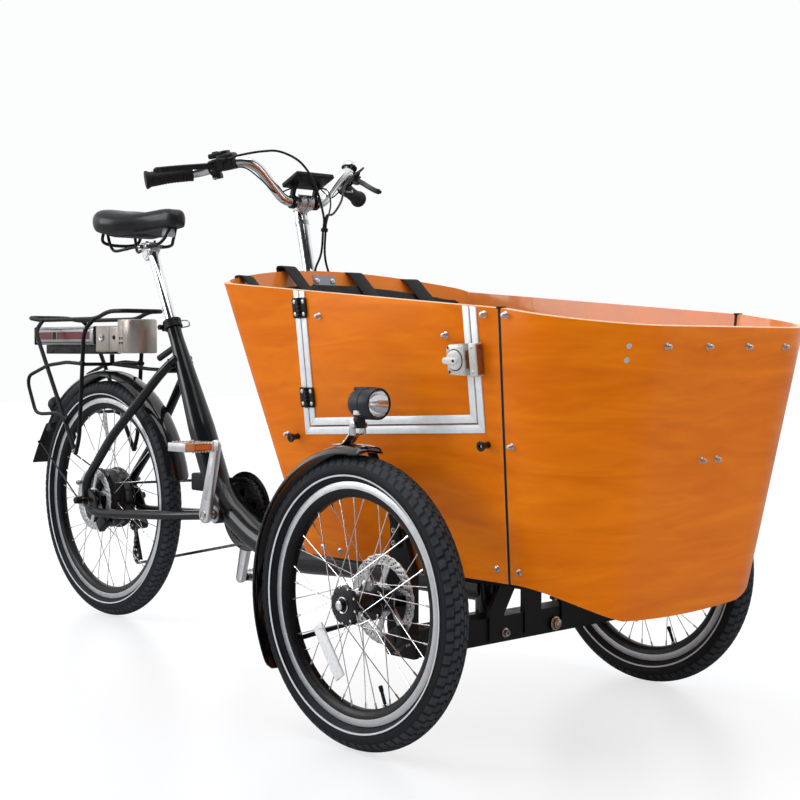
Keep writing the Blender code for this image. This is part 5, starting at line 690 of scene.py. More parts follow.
CRANK_SILVER = surface("forged_crank_silver", (0.74, 0.74, 0.745), 0.2, 0.9, mottle=0.06, cloud=50,
    grain=0.08, grain_scale=1200)
CHAIN_STEEL = surface("chain_steel", (0.17, 0.165, 0.16), 0.3, 1.0, mottle=0.25, cloud=220, grain=0.2)
SPROCKET_STEEL = surface("sprocket_steel", (0.46, 0.46, 0.46), 0.3, 1.0, mottle=0.15, cloud=160, grain=0.15)
AMBER = surface("amber_reflector", (0.66, 0.15, 0.02), 0.16, mottle=0.25, cloud=700, grain=0.6,
    grain_scale=700, coat=0.6)
CALIPER_BLACK = surface("caliper_black", (0.018, 0.018, 0.019), 0.3, 0.2, cloud=90, grain=0.25)
CHAINLINE, CHAIN_PITCH, CRANK = 0.0495, 0.0127, 0.17
for name, side in SIDES:
    lean = math.radians(14.7) + (math.pi if side > 0 else 0)
    tip = CRANK * at(math.sin(lean), math.cos(lean))
    along = math.degrees(math.atan2(tip.y, tip.x))
    inner_y = 0.054 if side < 0 else 0.0655
    outline = [*arc((0, 0), 0.019, along + 96, along + 264, 22),
        *arc((tip.x, tip.y), 0.0125, along - 84, along + 84, 16)]
    cut_plate(outline, 0.014, frame_plane(BRACKET.x, side * (inner_y + 0.007), BRACKET.z), CRANK_SILVER,
        edge=0.003)
    run = tip.normalized()
    groove_start, groove_end = tip * 0.22, tip * 0.82
    across = at(-run.y, run.x) * 0.0042
    groove = [groove_start + across * 1.3, groove_end + across, groove_end - across,
        groove_start - across * 1.3]
    cut_plate(groove, 0.0008, frame_plane(BRACKET.x, side * (inner_y + 0.0138), BRACKET.z), CAST_ALUMINIUM,
        edge=0.0002)
    hub_face = at(BRACKET.x, side * (inner_y + 0.0136), BRACKET.z)
    turned([(0, 0.0024), (0.005, 0.0024), (0.0056, 0.0008), (0.0082, 0.0008), (0.0092, 0.002), (0.01, 0.0014),
        (0.0104, 0.0), (0, 0)], hub_face, (0, side, 0), ZINC, 36)
    eye = at(BRACKET.x + tip.x, side * (inner_y + 0.0137), BRACKET.z + tip.y)
    turned([(0, 0.001), (0.004, 0.001), (0.0048, 0.0004), (0.0062, 0.0004), (0.0066, 0), (0, 0)], eye,
        (0, side, 0), ZINC, 28)
    if side < 0:
        dowel((BRACKET.x, -0.066, BRACKET.z), (BRACKET.x, CHAINLINE - 0.006, BRACKET.z), 0.009, ZINC, 32)
    else:
        dowel((BRACKET.x, CHAINLINE, BRACKET.z), (BRACKET.x, inner_y + 0.002, BRACKET.z), 0.015, CRANK_SILVER,
            40)
        teeth = toothed(38, ((-0.055, 0.0698), (-0.03, 0.0738), (0.03, 0.0738), (0.055, 0.0698)))
        holes = [arc(polar(0.044, math.tau * k / 5 + 0.4), 0.01, 0, 345, 23) for k in range(5)]
        cut_plate(teeth, 0.0028, frame_plane(BRACKET.x, CHAINLINE, BRACKET.z), SATIN_BLACK, holes,
            edge=0.0004)
    settle("crank_arm_" + name, "crankset", "polished_aluminium", "crank_" + name)

    start = inner_y + 0.0148
    middle_y = start + 0.012 + 0.045
    spot = at(BRACKET.x + tip.x, side * middle_y, BRACKET.z + tip.y)
    rim = [(0.04, -0.033), (0.04, 0.033), (0.034, 0.045), (-0.034, 0.045), (-0.04, 0.033), (-0.04, -0.033),
        (-0.034, -0.045), (0.034, -0.045)]
    windows = [[(way * 0.013, -0.033), (way * 0.035, -0.033), (way * 0.035, 0.033),
        (way * 0.013, 0.033)] for way in (-1, 1)]
    level = Matrix.Translation(spot)
    cut_plate(rim, 0.02, level, CRANK_SILVER, windows, edge=0.0016)
    dowel(at(spot.x, side * start, spot.z), at(spot.x, side * (middle_y + 0.043), spot.z), 0.0085,
        CRANK_SILVER, 36, edge=0.001)
    turned([(0.006, 0.0), (0.0095, 0.0), (0.0095, 0.01), (0.0086, 0.0112), (0.006, 0.0112)],
        (spot.x, side * start, spot.z), (0, side, 0), SATIN_BLACK, 32, closed=True)
    for way in (-1, 1):
        for k in range(7):
            cast_block(spot + at(way * 0.0385, -0.027 + 0.009 * k, 0), (0.003, 0.0045, 0.0238), CRANK_SILVER,
                edge=0.0005, segments=1)
        cast_block(spot + at(way * 0.0389, 0, 0.0), (0.0022, 0.048, 0.015), SATIN_BLACK, edge=0.0005)
        cast_block(spot + at(way * 0.03955, 0, 0.0), (0.001, 0.044, 0.012), AMBER, edge=0.0003, segments=1)
    turned([(0, 0.0014), (0.0052, 0.0014), (0.0064, 0.0), (0, 0)],
        (spot.x, side * (middle_y + 0.043), spot.z), (0, side, 0), SATIN_BLACK, 28)
    settle("cage_pedal_" + name, "pedal_" + name, "polished_aluminium", "pedal_" + name)

guard = [(0.0944, 0.0555), (0.095, 0.0562), (0.095, 0.0576), (0.0942, 0.0582), (0.088, 0.059), (0.08, 0.0606),
    (0.0725, 0.0623), (0.069, 0.0625), (0.02, 0.0625), (0.0153, 0.0622), (0.0153, 0.06), (0.069, 0.0597),
    (0.073, 0.0592), (0.086, 0.0562)]
turned(guard, (BRACKET.x, 0, BRACKET.z), ALONG_Y, GUARD_BLACK, 96, closed=True)
settle("chain_guard_disc", "crankset", "black_plastic", "chain_guard")

# Sprockets, chain, derailleur and rear caliper: four toothed steps, a roller chain of pinned
# plates round them, and a black arm whose two toothed wheels keep the chain tight.
for step, radius in enumerate((0.037, 0.034, 0.031, 0.028)):
    teeth = toothed(16 - step, ((-0.13, radius - 0.0042), (-0.05, radius), (0.05, radius),
        (0.13, radius - 0.0042)))
    cut_plate(teeth, 0.0019, frame_plane(0, 0.0395 + 0.005 * step, REAR_Z), SPROCKET_STEEL,
        [arc((0, 0), 0.0172, 0, 350, 35)], edge=0.0003)
low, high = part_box("rear_sprockets")
turned([(0.0165, low[1] + 0.0004), (0.0205, low[1] + 0.0004), (0.0205, high[1] - 0.0006),
    (0.019, high[1] - 0.0002), (0.0165, high[1] - 0.0002)], (0, 0, REAR_Z), ALONG_Y, SPROCKET_STEEL, 48,
    closed=True)
settle("toothed_sprockets", "sprockets", "bright_steel", "rear_sprockets")

chain_line = [at(x, CHAINLINE, z) for x, z in (*arc((BRACKET.x, BRACKET.z), 0.0785, 95, -98, 28),
    *arc((0.054, 0.1545), 0.0195, -80, -215, 14), *arc((0.03, 0.2325), 0.0195, -35, 30, 8),
    *arc((0, REAR_Z), 0.0355, -30, -265, 24))]
chain_line.append(chain_line[0])
lengths = [(b - a).length for a, b in zip(chain_line, chain_line[1:])]
link_count = 2 * round(sum(lengths) / CHAIN_PITCH / 2)
pitch = sum(lengths) / link_count
pins, walked, target = [], 0.0, 0.0
for (a, b), length in zip(zip(chain_line, chain_line[1:]), lengths):
    while target <= walked + length and len(pins) < link_count:
        pins.append(a.lerp(b, (target - walked) / length))
        target += pitch
    walked += length
shape = bmesh.new()
for k, start in enumerate(pins):
    end = pins[(k + 1) % link_count]
    run = (end - start).normalized()
    high_side = run.cross(ALONG_Y).normalized()
    plate_y = 0.0018 if k % 2 else 0.003
    ring = []
    for share, rise in ((-0.3, 0.0), (-0.12, 0.0034), (0.18, 0.0034), (0.5, 0.0024), (0.82, 0.0034),
            (1.12, 0.0034), (1.3, 0.0), (1.12, -0.0034), (0.82, -0.0034), (0.5, -0.0024), (0.18, -0.0034),
            (-0.12, -0.0034)):
        ring.append(start + run * pitch * share + high_side * rise)
    for way in (-1, 1):
        skinned(shape, [[p + ALONG_Y * way * (plate_y + t) for p in ring] for t in (-0.00045, 0.00045)])
    octagon = [polar(0.003, math.tau * i / 8) for i in range(8)]
    skinned(shape, [[start + run * x + high_side * z + ALONG_Y * way * 0.0034 for x, z in octagon]
        for way in (-1, 1)])
kept(welded(meshed("roller_chain", shape)), CHAIN_STEEL)
settle("roller_chain", "frame", "bright_steel", "chain", angle=30)

far_y = DROPOUT_Y + STAY_RADIUS + 0.004
hanger_line = [(0.01, far_y, REAR_Z - 0.02), (0.018, far_y, REAR_Z - 0.045), (0.03, far_y, 0.2325)]
strip(rounded(hanger_line, 0.012, 5), ALONG_Y, 0.007, 0.02, CALIPER_BLACK, 0.0024)
turned([(0, 0.0915), (0.0085, 0.0915), (0.0112, 0.09), (0.012, 0.087), (0.012, 0.0585), (0.011, 0.0571),
    (0, 0.0571)], (0.03, 0, 0.2325), ALONG_Y, CALIPER_BLACK, 40)
hex_bolt((0.0115, far_y + 0.0102, REAR_Z - 0.024), (0, 1, 0), 0.01, 0.0046, ZINC)
hex_bolt((0.03, 0.0912, 0.2325), (0, 1, 0), 0.0085, 0.0012, ZINC)
settle("derailleur_knuckle", "frame", "black_metal", "derailleur_body")
upper, lower = at(0.03, CHAINLINE, 0.2325), at(0.054, CHAINLINE, 0.1545)
reach = (lower - upper).normalized()
strip([upper - reach * 0.012 + ALONG_Y * 0.0055, (upper + lower) / 2 + ALONG_Y * 0.0055,
    lower + reach * 0.012 + ALONG_Y * 0.0055], (1, 0, 0), 0.0195, 0.0022, CALIPER_BLACK, 0.0008)
for place in (upper, lower):
    teeth = toothed(11, ((-0.18, 0.0118), (-0.07, 0.0148), (0.07, 0.0148), (0.18, 0.0118)))
    cut_plate(teeth, 0.0034, frame_plane(place.x, CHAINLINE, place.z), MOULDED_BLACK, edge=0.0005)
    dowel(place - ALONG_Y * 0.0018, place + ALONG_Y * 0.0075, 0.0048, ZINC, 24, edge=0.0006)
settle("derailleur_cage_with_wheels", "frame", "black_metal", "derailleur_cage")

lean = math.radians(-52)
inward = at(math.cos(lean), 0, math.sin(lean))
turn = Matrix.Rotation(-lean, 4, "Y")
low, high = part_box("brake_caliper_rear")
inner, outer = low[1] + 0.0002, high[1] - 0.0002
centre = at(0, 0, REAR_Z) + inward * 0.074
rotor_y = -(0.04 + 0.006 + 0.0003 + 0.001)
for start, end in ((inner, rotor_y - 0.0018), (rotor_y + 0.0018, outer)):
    cast_block(centre + ALONG_Y * (start + end) / 2, (0.03, end - start, 0.04), CALIPER_BLACK, turn, 0.0026,
        3)
cast_block(centre + ALONG_Y * (inner + outer) / 2 + inward * 0.0118, (0.0062, outer - inner, 0.039),
    CALIPER_BLACK, turn, 0.0022)
settle("rear_caliper_cast", "frame", "black_metal", "brake_caliper_rear")

# ---------------------------------------------------------------------------------------------
# Wheels: aluminium rims with a turned brake band, 36 laced spokes with nipples, wire-bead tyres
# with moulded tread blocks and a reflective line, and ground steel brake rotors. The front pair
# runs on stub axles; the rear one holds the drive motor.

FRONT_X = 1.4355
FRONT_Z = 0.2545
TRACK = 0.8
TYRE_HEIGHT = 0.045
RIM_DEPTH = 0.028
RUBBER = surface("tyre_rubber", (0.009, 0.01, 0.012), 0.55, mottle=0.25, cloud=24, grain=0.25,
    grain_scale=1100)
TREAD = surface("tread_rubber", (0.031, 0.036, 0.042), 0.6, mottle=0.25, cloud=70, grain=0.35)
# near-black rubber under the tread blocks: painted shade in the grooves between them
GROOVE_SHADE = surface("tread_groove_painted_shade", (0.003, 0.003, 0.004), 0.85, grain=0.2, shine=0.1)
REFLECTIVE = surface("reflective_line", (0.6, 0.62, 0.64), 0.35, mottle=0.06, cloud=300, grain=0.2,
    grain_scale=2500)
RIM_BAND = surface("turned_brake_band", (0.62, 0.63, 0.64), 0.34, 0.7, mottle=0.06, cloud=80, grain=0.25,
    grain_scale=1800)
RIM_BLACK = surface("anodised_black_rim", (0.006, 0.006, 0.007), 0.3, grain_scale=1200)
BRIGHT = surface("bright_spoke_steel", (0.84, 0.84, 0.85), 0.2, 1.0, mottle=0.08, cloud=150, grain=0.08,
    grain_scale=2000)
HUB_BLACK = surface("black_hub_shell", (0.006, 0.006, 0.007), 0.25, grain=0.08, grain_scale=1000, coat=0.3)
ROTOR_STEEL = surface("ground_rotor_steel", (0.66, 0.67, 0.68), 0.3, 1.0, mottle=0.12, cloud=90, grain=0.35,
    grain_scale=2200)
REFLECTOR = surface("clear_reflector", (0.8, 0.8, 0.8), 0.12, mottle=0.1, cloud=200, grain=0.5,
    grain_scale=700, coat=1.0)


def tyre_section(radius):
    """Half of the carcass outline from the bead to the crown, as (radius, half width)."""
    edge = radius - TYRE_HEIGHT
    half = [(edge - 0.0075, 0.0106), (edge + 0.0006, 0.0108), (edge + 0.0022, 0.0136)]
    for i in range(1, 15):
        turn = math.radians(-28 + 118 * i / 14)
        half.append((edge + 0.0205 + 0.0232 * math.sin(turn), 0.0248 * math.cos(turn) ** 0.85))
    return half


def on_carcass(radius, v, lift):
    """A point of the tread at v metres from its middle line, as (radius, across)."""
    turn = v / 0.025
    return (radius - 0.0245 + (0.0228 + lift) * math.cos(turn), (0.024 + lift) * math.sin(turn))


def tread_block(shape, radius, corners, pitch_turn, middle_turn):
    """One raised block; its corners are (share of the pitch, metres from the middle line)."""
    cells = 3
    base, top = [], []
    for row in range(cells + 1):
        t = row / cells
        left = [a + (b - a) * t for a, b in zip(corners[0], corners[3])]
        right = [a + (b - a) * t for a, b in zip(corners[1], corners[2])]
        for ring, lift, inset in ((base, -0.0008, 0.0), (top, 0.0017, 0.06)):
            line = []
            for share in (inset, 1 - inset):
                u, v = (a + (b - a) * share for a, b in zip(left, right))
                r, across = on_carcass(radius, v, lift)
                x, z = polar(r, middle_turn + u * pitch_turn)
                line.append((x, across, z))
            ring.append(line)
    skinned(shape, [[*low, *reversed(high)] for low, high in zip(base, top)])


def tyre(radius, centre, pitches):
    """Carcass with its reflective line, a near-black bed painted as the shade in the grooves, and rows of
    blocks moulded on the crown.
    """
    half = tyre_section(radius)
    profile = [(min(r, radius - 0.0017), h) for r, h in [*half, *[(r, -h) for r, h in reversed(half)]]]
    turned(profile, centre, ALONG_Y, RUBBER, 120, True)
    line_low = radius - 0.0355
    # the bed under the blocks, painted near black as the shade in the grooves
    bed = [on_carcass(radius, 0.031 * k / 12, -0.0004) for k in range(-12, 13)]
    bed += [(r - 0.001, across * 0.97) for r, across in reversed(bed)]
    turned(bed, centre, ALONG_Y, GROOVE_SHADE, 120, True)
    for way in (-1, 1):
        ring = [(line_low, way * 0.02335), (line_low + 0.0002, way * 0.0241),
            (line_low + 0.003, way * 0.02475), (line_low + 0.0032, way * 0.0238)]
        turned(ring, centre, ALONG_Y, REFLECTIVE, 120, True)
        for lip in (0.005, 0.0094):
            ring = [(line_low + lip, way * 0.024), (line_low + lip + 0.0004, way * 0.0253),
                (line_low + lip + 0.001, way * 0.0242)]
            turned(ring, centre, ALONG_Y, RUBBER, 96, True)
    shape = bmesh.new()
    pitch = math.tau / pitches
    shoulder = ((0.04, 0.0184), (0.88, 0.0168), (0.7, 0.0305), (-0.06, 0.03))
    middle = ((0.14, 0.0084), (0.98, 0.0066), (0.9, 0.0156), (0.06, 0.0172))
    crown = ((-0.02, 0.0007), (0.82, 0.0005), (0.98, 0.0054), (0.14, 0.0072))
    for i in range(pitches):
        for corners, offset in ((shoulder, 0.0), (middle, 0.35), (crown, 0.7)):
            tread_block(shape, radius, corners, pitch, pitch * (i + offset))
            tread_block(shape, radius, [(u, -v) for u, v in corners], pitch, pitch * (i + offset + 0.5))
    kept(welded(meshed("tread", shape)), TREAD).matrix_world = Matrix.Translation(centre)


def rim(radius, centre):
    """Hooked edges, the turned brake band, and the black bed that carries the nipples."""
    edge = radius - TYRE_HEIGHT
    for way in (-1, 1):
        turned([(edge - 0.0122, way * 0.01385), (edge - 0.0006, way * 0.014), (edge + 0.0004, way * 0.0134),
            (edge + 0.0004, way * 0.012), (edge - 0.009, way * 0.0112), (edge - 0.0122, way * 0.0112)],
            centre, ALONG_Y, RIM_BAND, 144, True)
    half = [(edge - 0.0095, 0.0113), (edge - 0.012, 0.0138), (edge - 0.015, 0.0134), (edge - 0.02, 0.0118),
        (edge - 0.025, 0.0094), (edge - 0.0276, 0.0062), (edge - RIM_DEPTH, 0.002)]
    turned([*half, *[(r, -h) for r, h in reversed(half)]], centre, ALONG_Y, RIM_BLACK, 144, True)


def spokes(radius, centre, outward, flanges, flange_radius, crossing):
    """Laced spokes with a bent head in the flange and a nipple in the rim."""
    bed = radius - TYRE_HEIGHT - RIM_DEPTH
    shape = bmesh.new()
    for i in range(36):
        at_rim = math.tau * (i + 0.5) / 36
        leaning = 1 if i % 4 < 2 else -1
        at_hub = at_rim + leaning * crossing
        flange = flanges[i % 2]
        shift = leaning * 0.0022
        x, z = polar(flange_radius - 0.003, at_hub)
        start = at(x, outward * (flange + shift), z)
        x, z = polar(bed, at_rim)
        end = at(x, outward * math.copysign(0.0022, flange), z)
        run = (end - start).normalized()
        rods = [(start, end, 0.00095), (end - run * 0.0105, end + run * 0.0025, 0.0019),
            (start + ALONG_Y * outward * shift, start - ALONG_Y * outward * shift * 1.9, 0.0011),
            (start + ALONG_Y * outward * shift * 0.6, start + ALONG_Y * outward * shift * 1.2, 0.0022)]
        for a, b, thick in rods:
            bmesh.ops.create_cone(shape, cap_ends=True, segments=8, radius1=thick, radius2=thick,
                depth=(b - a).length, matrix=laid(b - a, (a + b) / 2))
    kept(meshed("spokes", shape), BRIGHT).matrix_world = Matrix.Translation(centre)


def rotor(centre, outward):
    """A wavy-edged disc with slanted rows of vent holes, on six swept arms."""
    waves = [math.tau * i / 180 for i in range(180)]
    rim_line = [polar(0.0792 + 0.0007 * math.sin(a * 30), a) for a in waves]
    holes = [[*arc((0, 0), 0.03, 60 * i - 20, 60 * i + 16, 5),
        *arc((0, 0), 0.06, 60 * i + 34, 60 * i - 12, 8)] for i in range(6)]
    for i in range(36):
        for k, reach in enumerate((0.0655, 0.07, 0.0745)):
            middle = polar(reach, math.radians(10 * i + 3.2 * k))
            holes.append(arc(middle, 0.00165 if k != 1 else 0.0021, 0, 315, 7))
    holes.append(arc((0, 0), 0.016, 0, 350, 35))
    cut_plate(rim_line, 0.002, laid(ALONG_Y, centre), ROTOR_STEEL, holes, 0.0002)
    turned([(0.016, 0), (0.025, 0), (0.025, 0.0035), (0.021, 0.0045), (0.016, 0.0045)], centre, outward,
        HUB_BLACK, 40, True)
    for i in range(6):
        x, z = polar(0.0215, math.radians(60 * i + 8))
        place = Vector(centre) + at(x, 0, z) + Vector(outward) * 0.004
        hex_bolt(place, outward, 0.0062, 0.0022, ZINC)


FRONT_FLANGE = 0.034
for name, side in SIDES:
    centre = at(FRONT_X, side * TRACK / 2, FRONT_Z)
    out = at(0, side, 0)
    body = "wheel_front_" + name
    tyre(FRONT_Z, centre, 78)
    settle("tyre_and_tread_front_" + name, body, "tyre_rubber", "tyre_front_" + name)
    turned([(0, 0.0465), (0.008, 0.0465), (0.01, 0.0448), (0.011, 0.0375), (0.0215, 0.036), (0.031, 0.035),
        (FRONT_FLANGE, 0.0338), (FRONT_FLANGE, 0.0302), (0.03, 0.029), (0.019, 0.024), (0.0165, 0.015),
        (0.016, -0.006), (0.019, -0.019), (0.029, -0.0238), (FRONT_FLANGE, -0.0252), (FRONT_FLANGE, -0.0288),
        (0.029, -0.03), (0.0225, -0.031), (0.022, -0.054), (0.011, -0.054)], centre, out, HUB_BLACK, 64)
    turned([(0, 0.0472), (0.007, 0.047), (0.0085, 0.0462), (0.0085, 0.0445), (0, 0.044)], centre, out, BRIGHT,
        40)
    turned([(0.012, 0.0374), (0.014, 0.0374), (0.0144, 0.0385), (0.013, 0.0396), (0.0118, 0.039)], centre,
        out, BRIGHT, 48, True)
    spokes(FRONT_Z, centre, side, (0.032, -0.027), FRONT_FLANGE, math.radians(62))
    x, z = polar(0.11, math.radians(236))
    cast_block(centre + at(x, side * 0.016, z), (0.104, 0.005, 0.026), REFLECTOR,
        Matrix.Rotation(-math.radians(126), 4, "Y"), 0.002)
    foot, top = (on_circle(centre, reach, 292, centre.y) for reach in (0.1815, 0.145))
    dowel(foot, top, 0.003, RUBBER, 16, edge=0.0006)
    dowel(foot, foot.lerp(top, 0.12), 0.005, BRIGHT, 20, edge=0.0004)
    dowel(foot.lerp(top, 0.72), top, 0.0038, RUBBER, 16, edge=0.0008)
    rim(FRONT_Z, centre)
    settle("rim_hub_and_spokes_front_" + name, body, "bright_steel", "wheel_front_" + name)
    disc_y = side * (TRACK / 2 - 0.054 - 0.0003 - 0.001)
    rotor((FRONT_X, disc_y, FRONT_Z), (0, -side, 0))
    settle("vented_rotor_front_" + name, body, "bright_steel", "rotor_front_" + name)

# The rear wheel: a black drive motor with screwed side covers, laced one cross.
centre = at(0, 0, REAR_Z)
tyre(REAR_Z, centre, 94)
settle("tyre_and_tread_rear", "wheel_rear", "tyre_rubber", "tyre_rear")
turned([(0.0072, 0.0318), (0.018, 0.0318), (0.026, 0.033), (0.04, 0.0318), (0.06, 0.03), (0.07, 0.0285),
    (0.074, 0.0275), (0.0785, 0.0265), (0.0788, 0.0225), (0.0752, 0.0205), (0.075, 0.004), (0.0758, 0.0025),
    (0.0758, -0.0025), (0.075, -0.004), (0.075, -0.0245), (0.0788, -0.0265), (0.0788, -0.0305),
    (0.074, -0.0325), (0.0705, -0.0375), (0.064, -0.0395), (0.042, -0.04), (0.04, -0.0415), (0.027, -0.042),
    (0.025, -0.046), (0.0072, -0.046)], centre, ALONG_Y, HUB_BLACK, 88, True)
for i in range(8):
    for y, out, reach in ((-0.0388, -1, 0.066), (0.0292, 1, 0.0655)):
        hex_bolt(on_circle(centre, reach, 45 * i + 12, y), (0, out, 0), 0.006, 0.0018, ZINC)
rim(REAR_Z, centre)
spokes(REAR_Z, centre, 1, (0.025, -0.0285), 0.0788, math.radians(20))
settle("rim_motor_and_spokes_rear", "wheel_rear", "bright_steel", "wheel_rear")
rotor((0, -0.0473, REAR_Z), (0, -1, 0))
settle("vented_rotor_rear", "wheel_rear", "bright_steel", "rotor_rear")

# ---------------------------------------------------------------------------------------------
# Front chassis: powder-coated box sections under the cargo box. The solid keeps its shape, and this section
# adds what is bolted to it: hex screws and the rotor calipers.

POWDER_BLACK = surface("black_powder_coat", (0.007, 0.007, 0.008), 0.36, mottle=0.22, cloud=40, grain=0.35,
    grain_scale=1300)
COPPER_ZINC = surface("yellow_passivated_zinc", (0.66, 0.5, 0.4), 0.28, 1.0, cloud=200, grain=0.15)
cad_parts["front_chassis"].material_slots[0].material = POWDER_BLACK
HANGER_Y, BEAM_FACE = 0.3, 1.474
for name, side in SIDES:
    for x, z in ((FRONT_X + 0.002, 0.35), (FRONT_X + 0.002, 0.322), (FRONT_X - 0.014, 0.232)):
        hex_bolt((x, side * (HANGER_Y - 0.006), z), (0, -side, 0), 0.011, 0.0055, ZINC, socket=False,
            washer=0.008)
    hex_bolt((BEAM_FACE + 0.004, side * 0.052, 0.286), (1, 0, 0), 0.01, 0.005, ZINC, washer=0.007)
hex_bolt((BEAM_FACE + 0.004, -0.078, 0.167), (1, 0, 0), 0.012, 0.0065, ZINC, washer=0.009)
hex_bolt((BEAM_FACE + 0.004, 0.062, 0.167), (1, 0, 0), 0.021, 0.009, COPPER_ZINC, socket=False, washer=0.0135)
settle("chassis_screws", "front_group", "bright_steel")

# Disc calipers: cast black bodies astride the rotors, each with its adjuster, spring cover and
# two mounting screws on a leg that reaches the hanger.
ROTOR_Y = 0.3447
for name, side in SIDES:
    lean = math.radians(-58)
    inward = at(math.cos(lean), 0, math.sin(lean))
    centre = at(FRONT_X, side * ROTOR_Y, FRONT_Z) + inward * 0.076
    turn = Matrix.Rotation(-lean, 4, "Y")
    for half in (-1, 1):
        cast_block(centre + ALONG_Y * half * 0.0084, (0.034, 0.013, 0.052), CALIPER_BLACK, turn, 0.0035, 4)
    cast_block(centre + inward * 0.0135, (0.0068, 0.029, 0.0505), CALIPER_BLACK, turn, 0.0024)
    for step in (-0.016, 0.016):
        up = at(-inward.z, 0, inward.x)
        hex_bolt(centre + inward * 0.0168 + up * step, inward, 0.0085, 0.004, ZINC)
    turned([(0, 0.0042), (0.0062, 0.0042), (0.0092, 0.0034), (0.01, 0.0), (0, 0)],
        centre + ALONG_Y * side * 0.0146, (0, side, 0), CALIPER_BLACK, 32)
    face, inner = HANGER_Y + 0.0063, ROTOR_Y - 0.012
    cast_block((centre.x, side * (face + inner) / 2, centre.z + 0.004), (0.024, inner - face, 0.03),
        CALIPER_BLACK, turn, 0.002)
    settle("front_caliper_" + name, "front_group", "black_metal", "brake_caliper_front_" + name)

# Front mudguards: gloss black sheet like the rear one, each on a bent steel upright and a lower
# stay. The near one carries the lamp's bracket of bright strip.
FRONT_GUARD, LAMP_Y = 0.273, -0.4
LAMP_PIN = at(1.437, LAMP_Y, 0.56)
for name, side in SIDES:
    middle = (FRONT_X, side * TRACK / 2, FRONT_Z)
    mudguard(middle, FRONT_GUARD, 82, 213, 90)
    face = side * (HANGER_Y + 0.0088)
    guard_crown = FRONT_Z + FRONT_GUARD - 0.004
    upright = [(FRONT_X - 0.006, face, 0.342), (FRONT_X - 0.008, face, 0.388),
        (FRONT_X - 0.022, side * (HANGER_Y + 0.042), guard_crown - 0.03),
        (FRONT_X - 0.024, side * (HANGER_Y + 0.052), guard_crown - 0.006),
        (FRONT_X - 0.024, side * TRACK / 2, guard_crown)]
    strip(rounded(upright, 0.01, 4), (1, 0, 0), 0.022, 0.0048, SATIN_BLACK, 0.0008)
    for z in (0.35, 0.372):
        hex_bolt((FRONT_X - 0.0065, face + side * 0.0022, z), (0, side, 0), 0.0095, 0.0045, ZINC)
    stay_end = on_circle(middle, FRONT_GUARD - 0.008, 204, side * 0.373)
    bent_tube([(FRONT_X - 0.026, face + side * 0.002, FRONT_Z - 0.03), stay_end], 0.0045, SATIN_BLACK, 4)
    turned([(0, 0.0034), (0.0046, 0.003), (0.006, 0.0014), (0.0062, 0), (0, 0)],
        on_circle(middle, FRONT_GUARD - 0.0005, 103, side * 0.388),
        on_circle(middle, 1, 103, side * TRACK / 2) - Vector(middle), ZINC, 24)
    if side < 0:
        strap_line = [(1.379, LAMP_Y, guard_crown + 0.0014), (1.407, LAMP_Y, guard_crown + 0.0035),
            (1.425, LAMP_Y, 0.5455)]
        strip(rounded(strap_line, 0.008, 4), ALONG_Y, 0.026, 0.0026, ZINC, 0.0006)
        for way in (-1, 1):
            ear = [*arc((-0.005, 0.001), 0.0078, 20, 160, 8), (-0.0128, -0.017), (0.003, -0.017)]
            cut_plate(ear, 0.0024, frame_plane(LAMP_PIN.x, LAMP_Y + way * 0.0118, LAMP_PIN.z), ZINC,
                edge=0.0003)
        hex_bolt((1.4, LAMP_Y, guard_crown + 0.0048), (0.1, 0, 1), 0.0095, 0.0045, ZINC)
    settle("front_mudguard_" + name, "front_group", "fender_plastic", "front_fender_" + name, angle=45)

# Headlight: a graphite shell with a stepped brow, a faceted clear lens over a chrome bowl, and
# a small white connector low on its near side. It tilts on the bracket's pin.
LAMP_SHELL = surface("lamp_graphite_shell", (0.022, 0.025, 0.03), 0.36, 0.1, mottle=0.12, cloud=50, grain=0.3,
    grain_scale=1300)
LENS = surface("lamp_clear_lens", (0.94, 0.96, 0.98), 0.03, mottle=0.04, grain=0.02)
LENS.node_tree.nodes["Principled BSDF"].inputs["Transmission Weight"].default_value = 1.0
LENS.node_tree.nodes["Principled BSDF"].inputs["IOR"].default_value = 1.49
CHROME_BOWL = surface("chrome_reflector", (0.88, 0.89, 0.9), 0.12, 1.0, mottle=0.03, grain=0.02)
CONNECTOR = surface("white_connector", (0.72, 0.72, 0.7), 0.35, mottle=0.05)
LED = surface("led_yellow", (0.86, 0.78, 0.42), 0.35, mottle=0.1, cloud=300)
lamp_place = at(1.452, LAMP_Y, 0.598)
turned([(0.0235, 0.0352), (0.0262, 0.036), (0.0275, 0.0335), (0.0275, 0.012), (0.0266, 0.0112),
    (0.0266, 0.0094), (0.0275, 0.0086), (0.0274, -0.004), (0.0262, -0.011), (0.0235, -0.019),
    (0.0195, -0.024), (0.012, -0.0275), (0, -0.0284), (0, -0.023), (0.02, -0.015), (0.0235, 0.005)],
    lamp_place, (1, 0, 0), LAMP_SHELL, 64)
turned([(0, 0.006), (0.007, 0.0062), (0.015, 0.014), (0.0205, 0.024), (0.0228, 0.033), (0.0231, 0.033),
    (0.0231, 0.005), (0, 0.005)], lamp_place, (1, 0, 0), CHROME_BOWL, 24)
turned([(0, 0.0375), (0.009, 0.0372), (0.017, 0.0362), (0.0232, 0.0345), (0.0234, 0.0325), (0.017, 0.0338),
    (0.009, 0.0346), (0, 0.0348)], lamp_place, (1, 0, 0), LENS, 12)
turned([(0, 0.01), (0.003, 0.0098), (0.0034, 0.006), (0, 0.006)], lamp_place, (1, 0, 0), LED, 16)
cast_block(lamp_place + at(0.0, 0, 0.0252), (0.036, 0.024, 0.0058), LAMP_SHELL, edge=0.0024)
cast_block(lamp_place + at(0.004, -0.0225, -0.015), (0.012, 0.007, 0.0075), CONNECTOR, edge=0.0012)
cast_block(LAMP_PIN + UP * 0.0055, (0.012, 0.0185, 0.021), LAMP_SHELL, edge=0.0016)
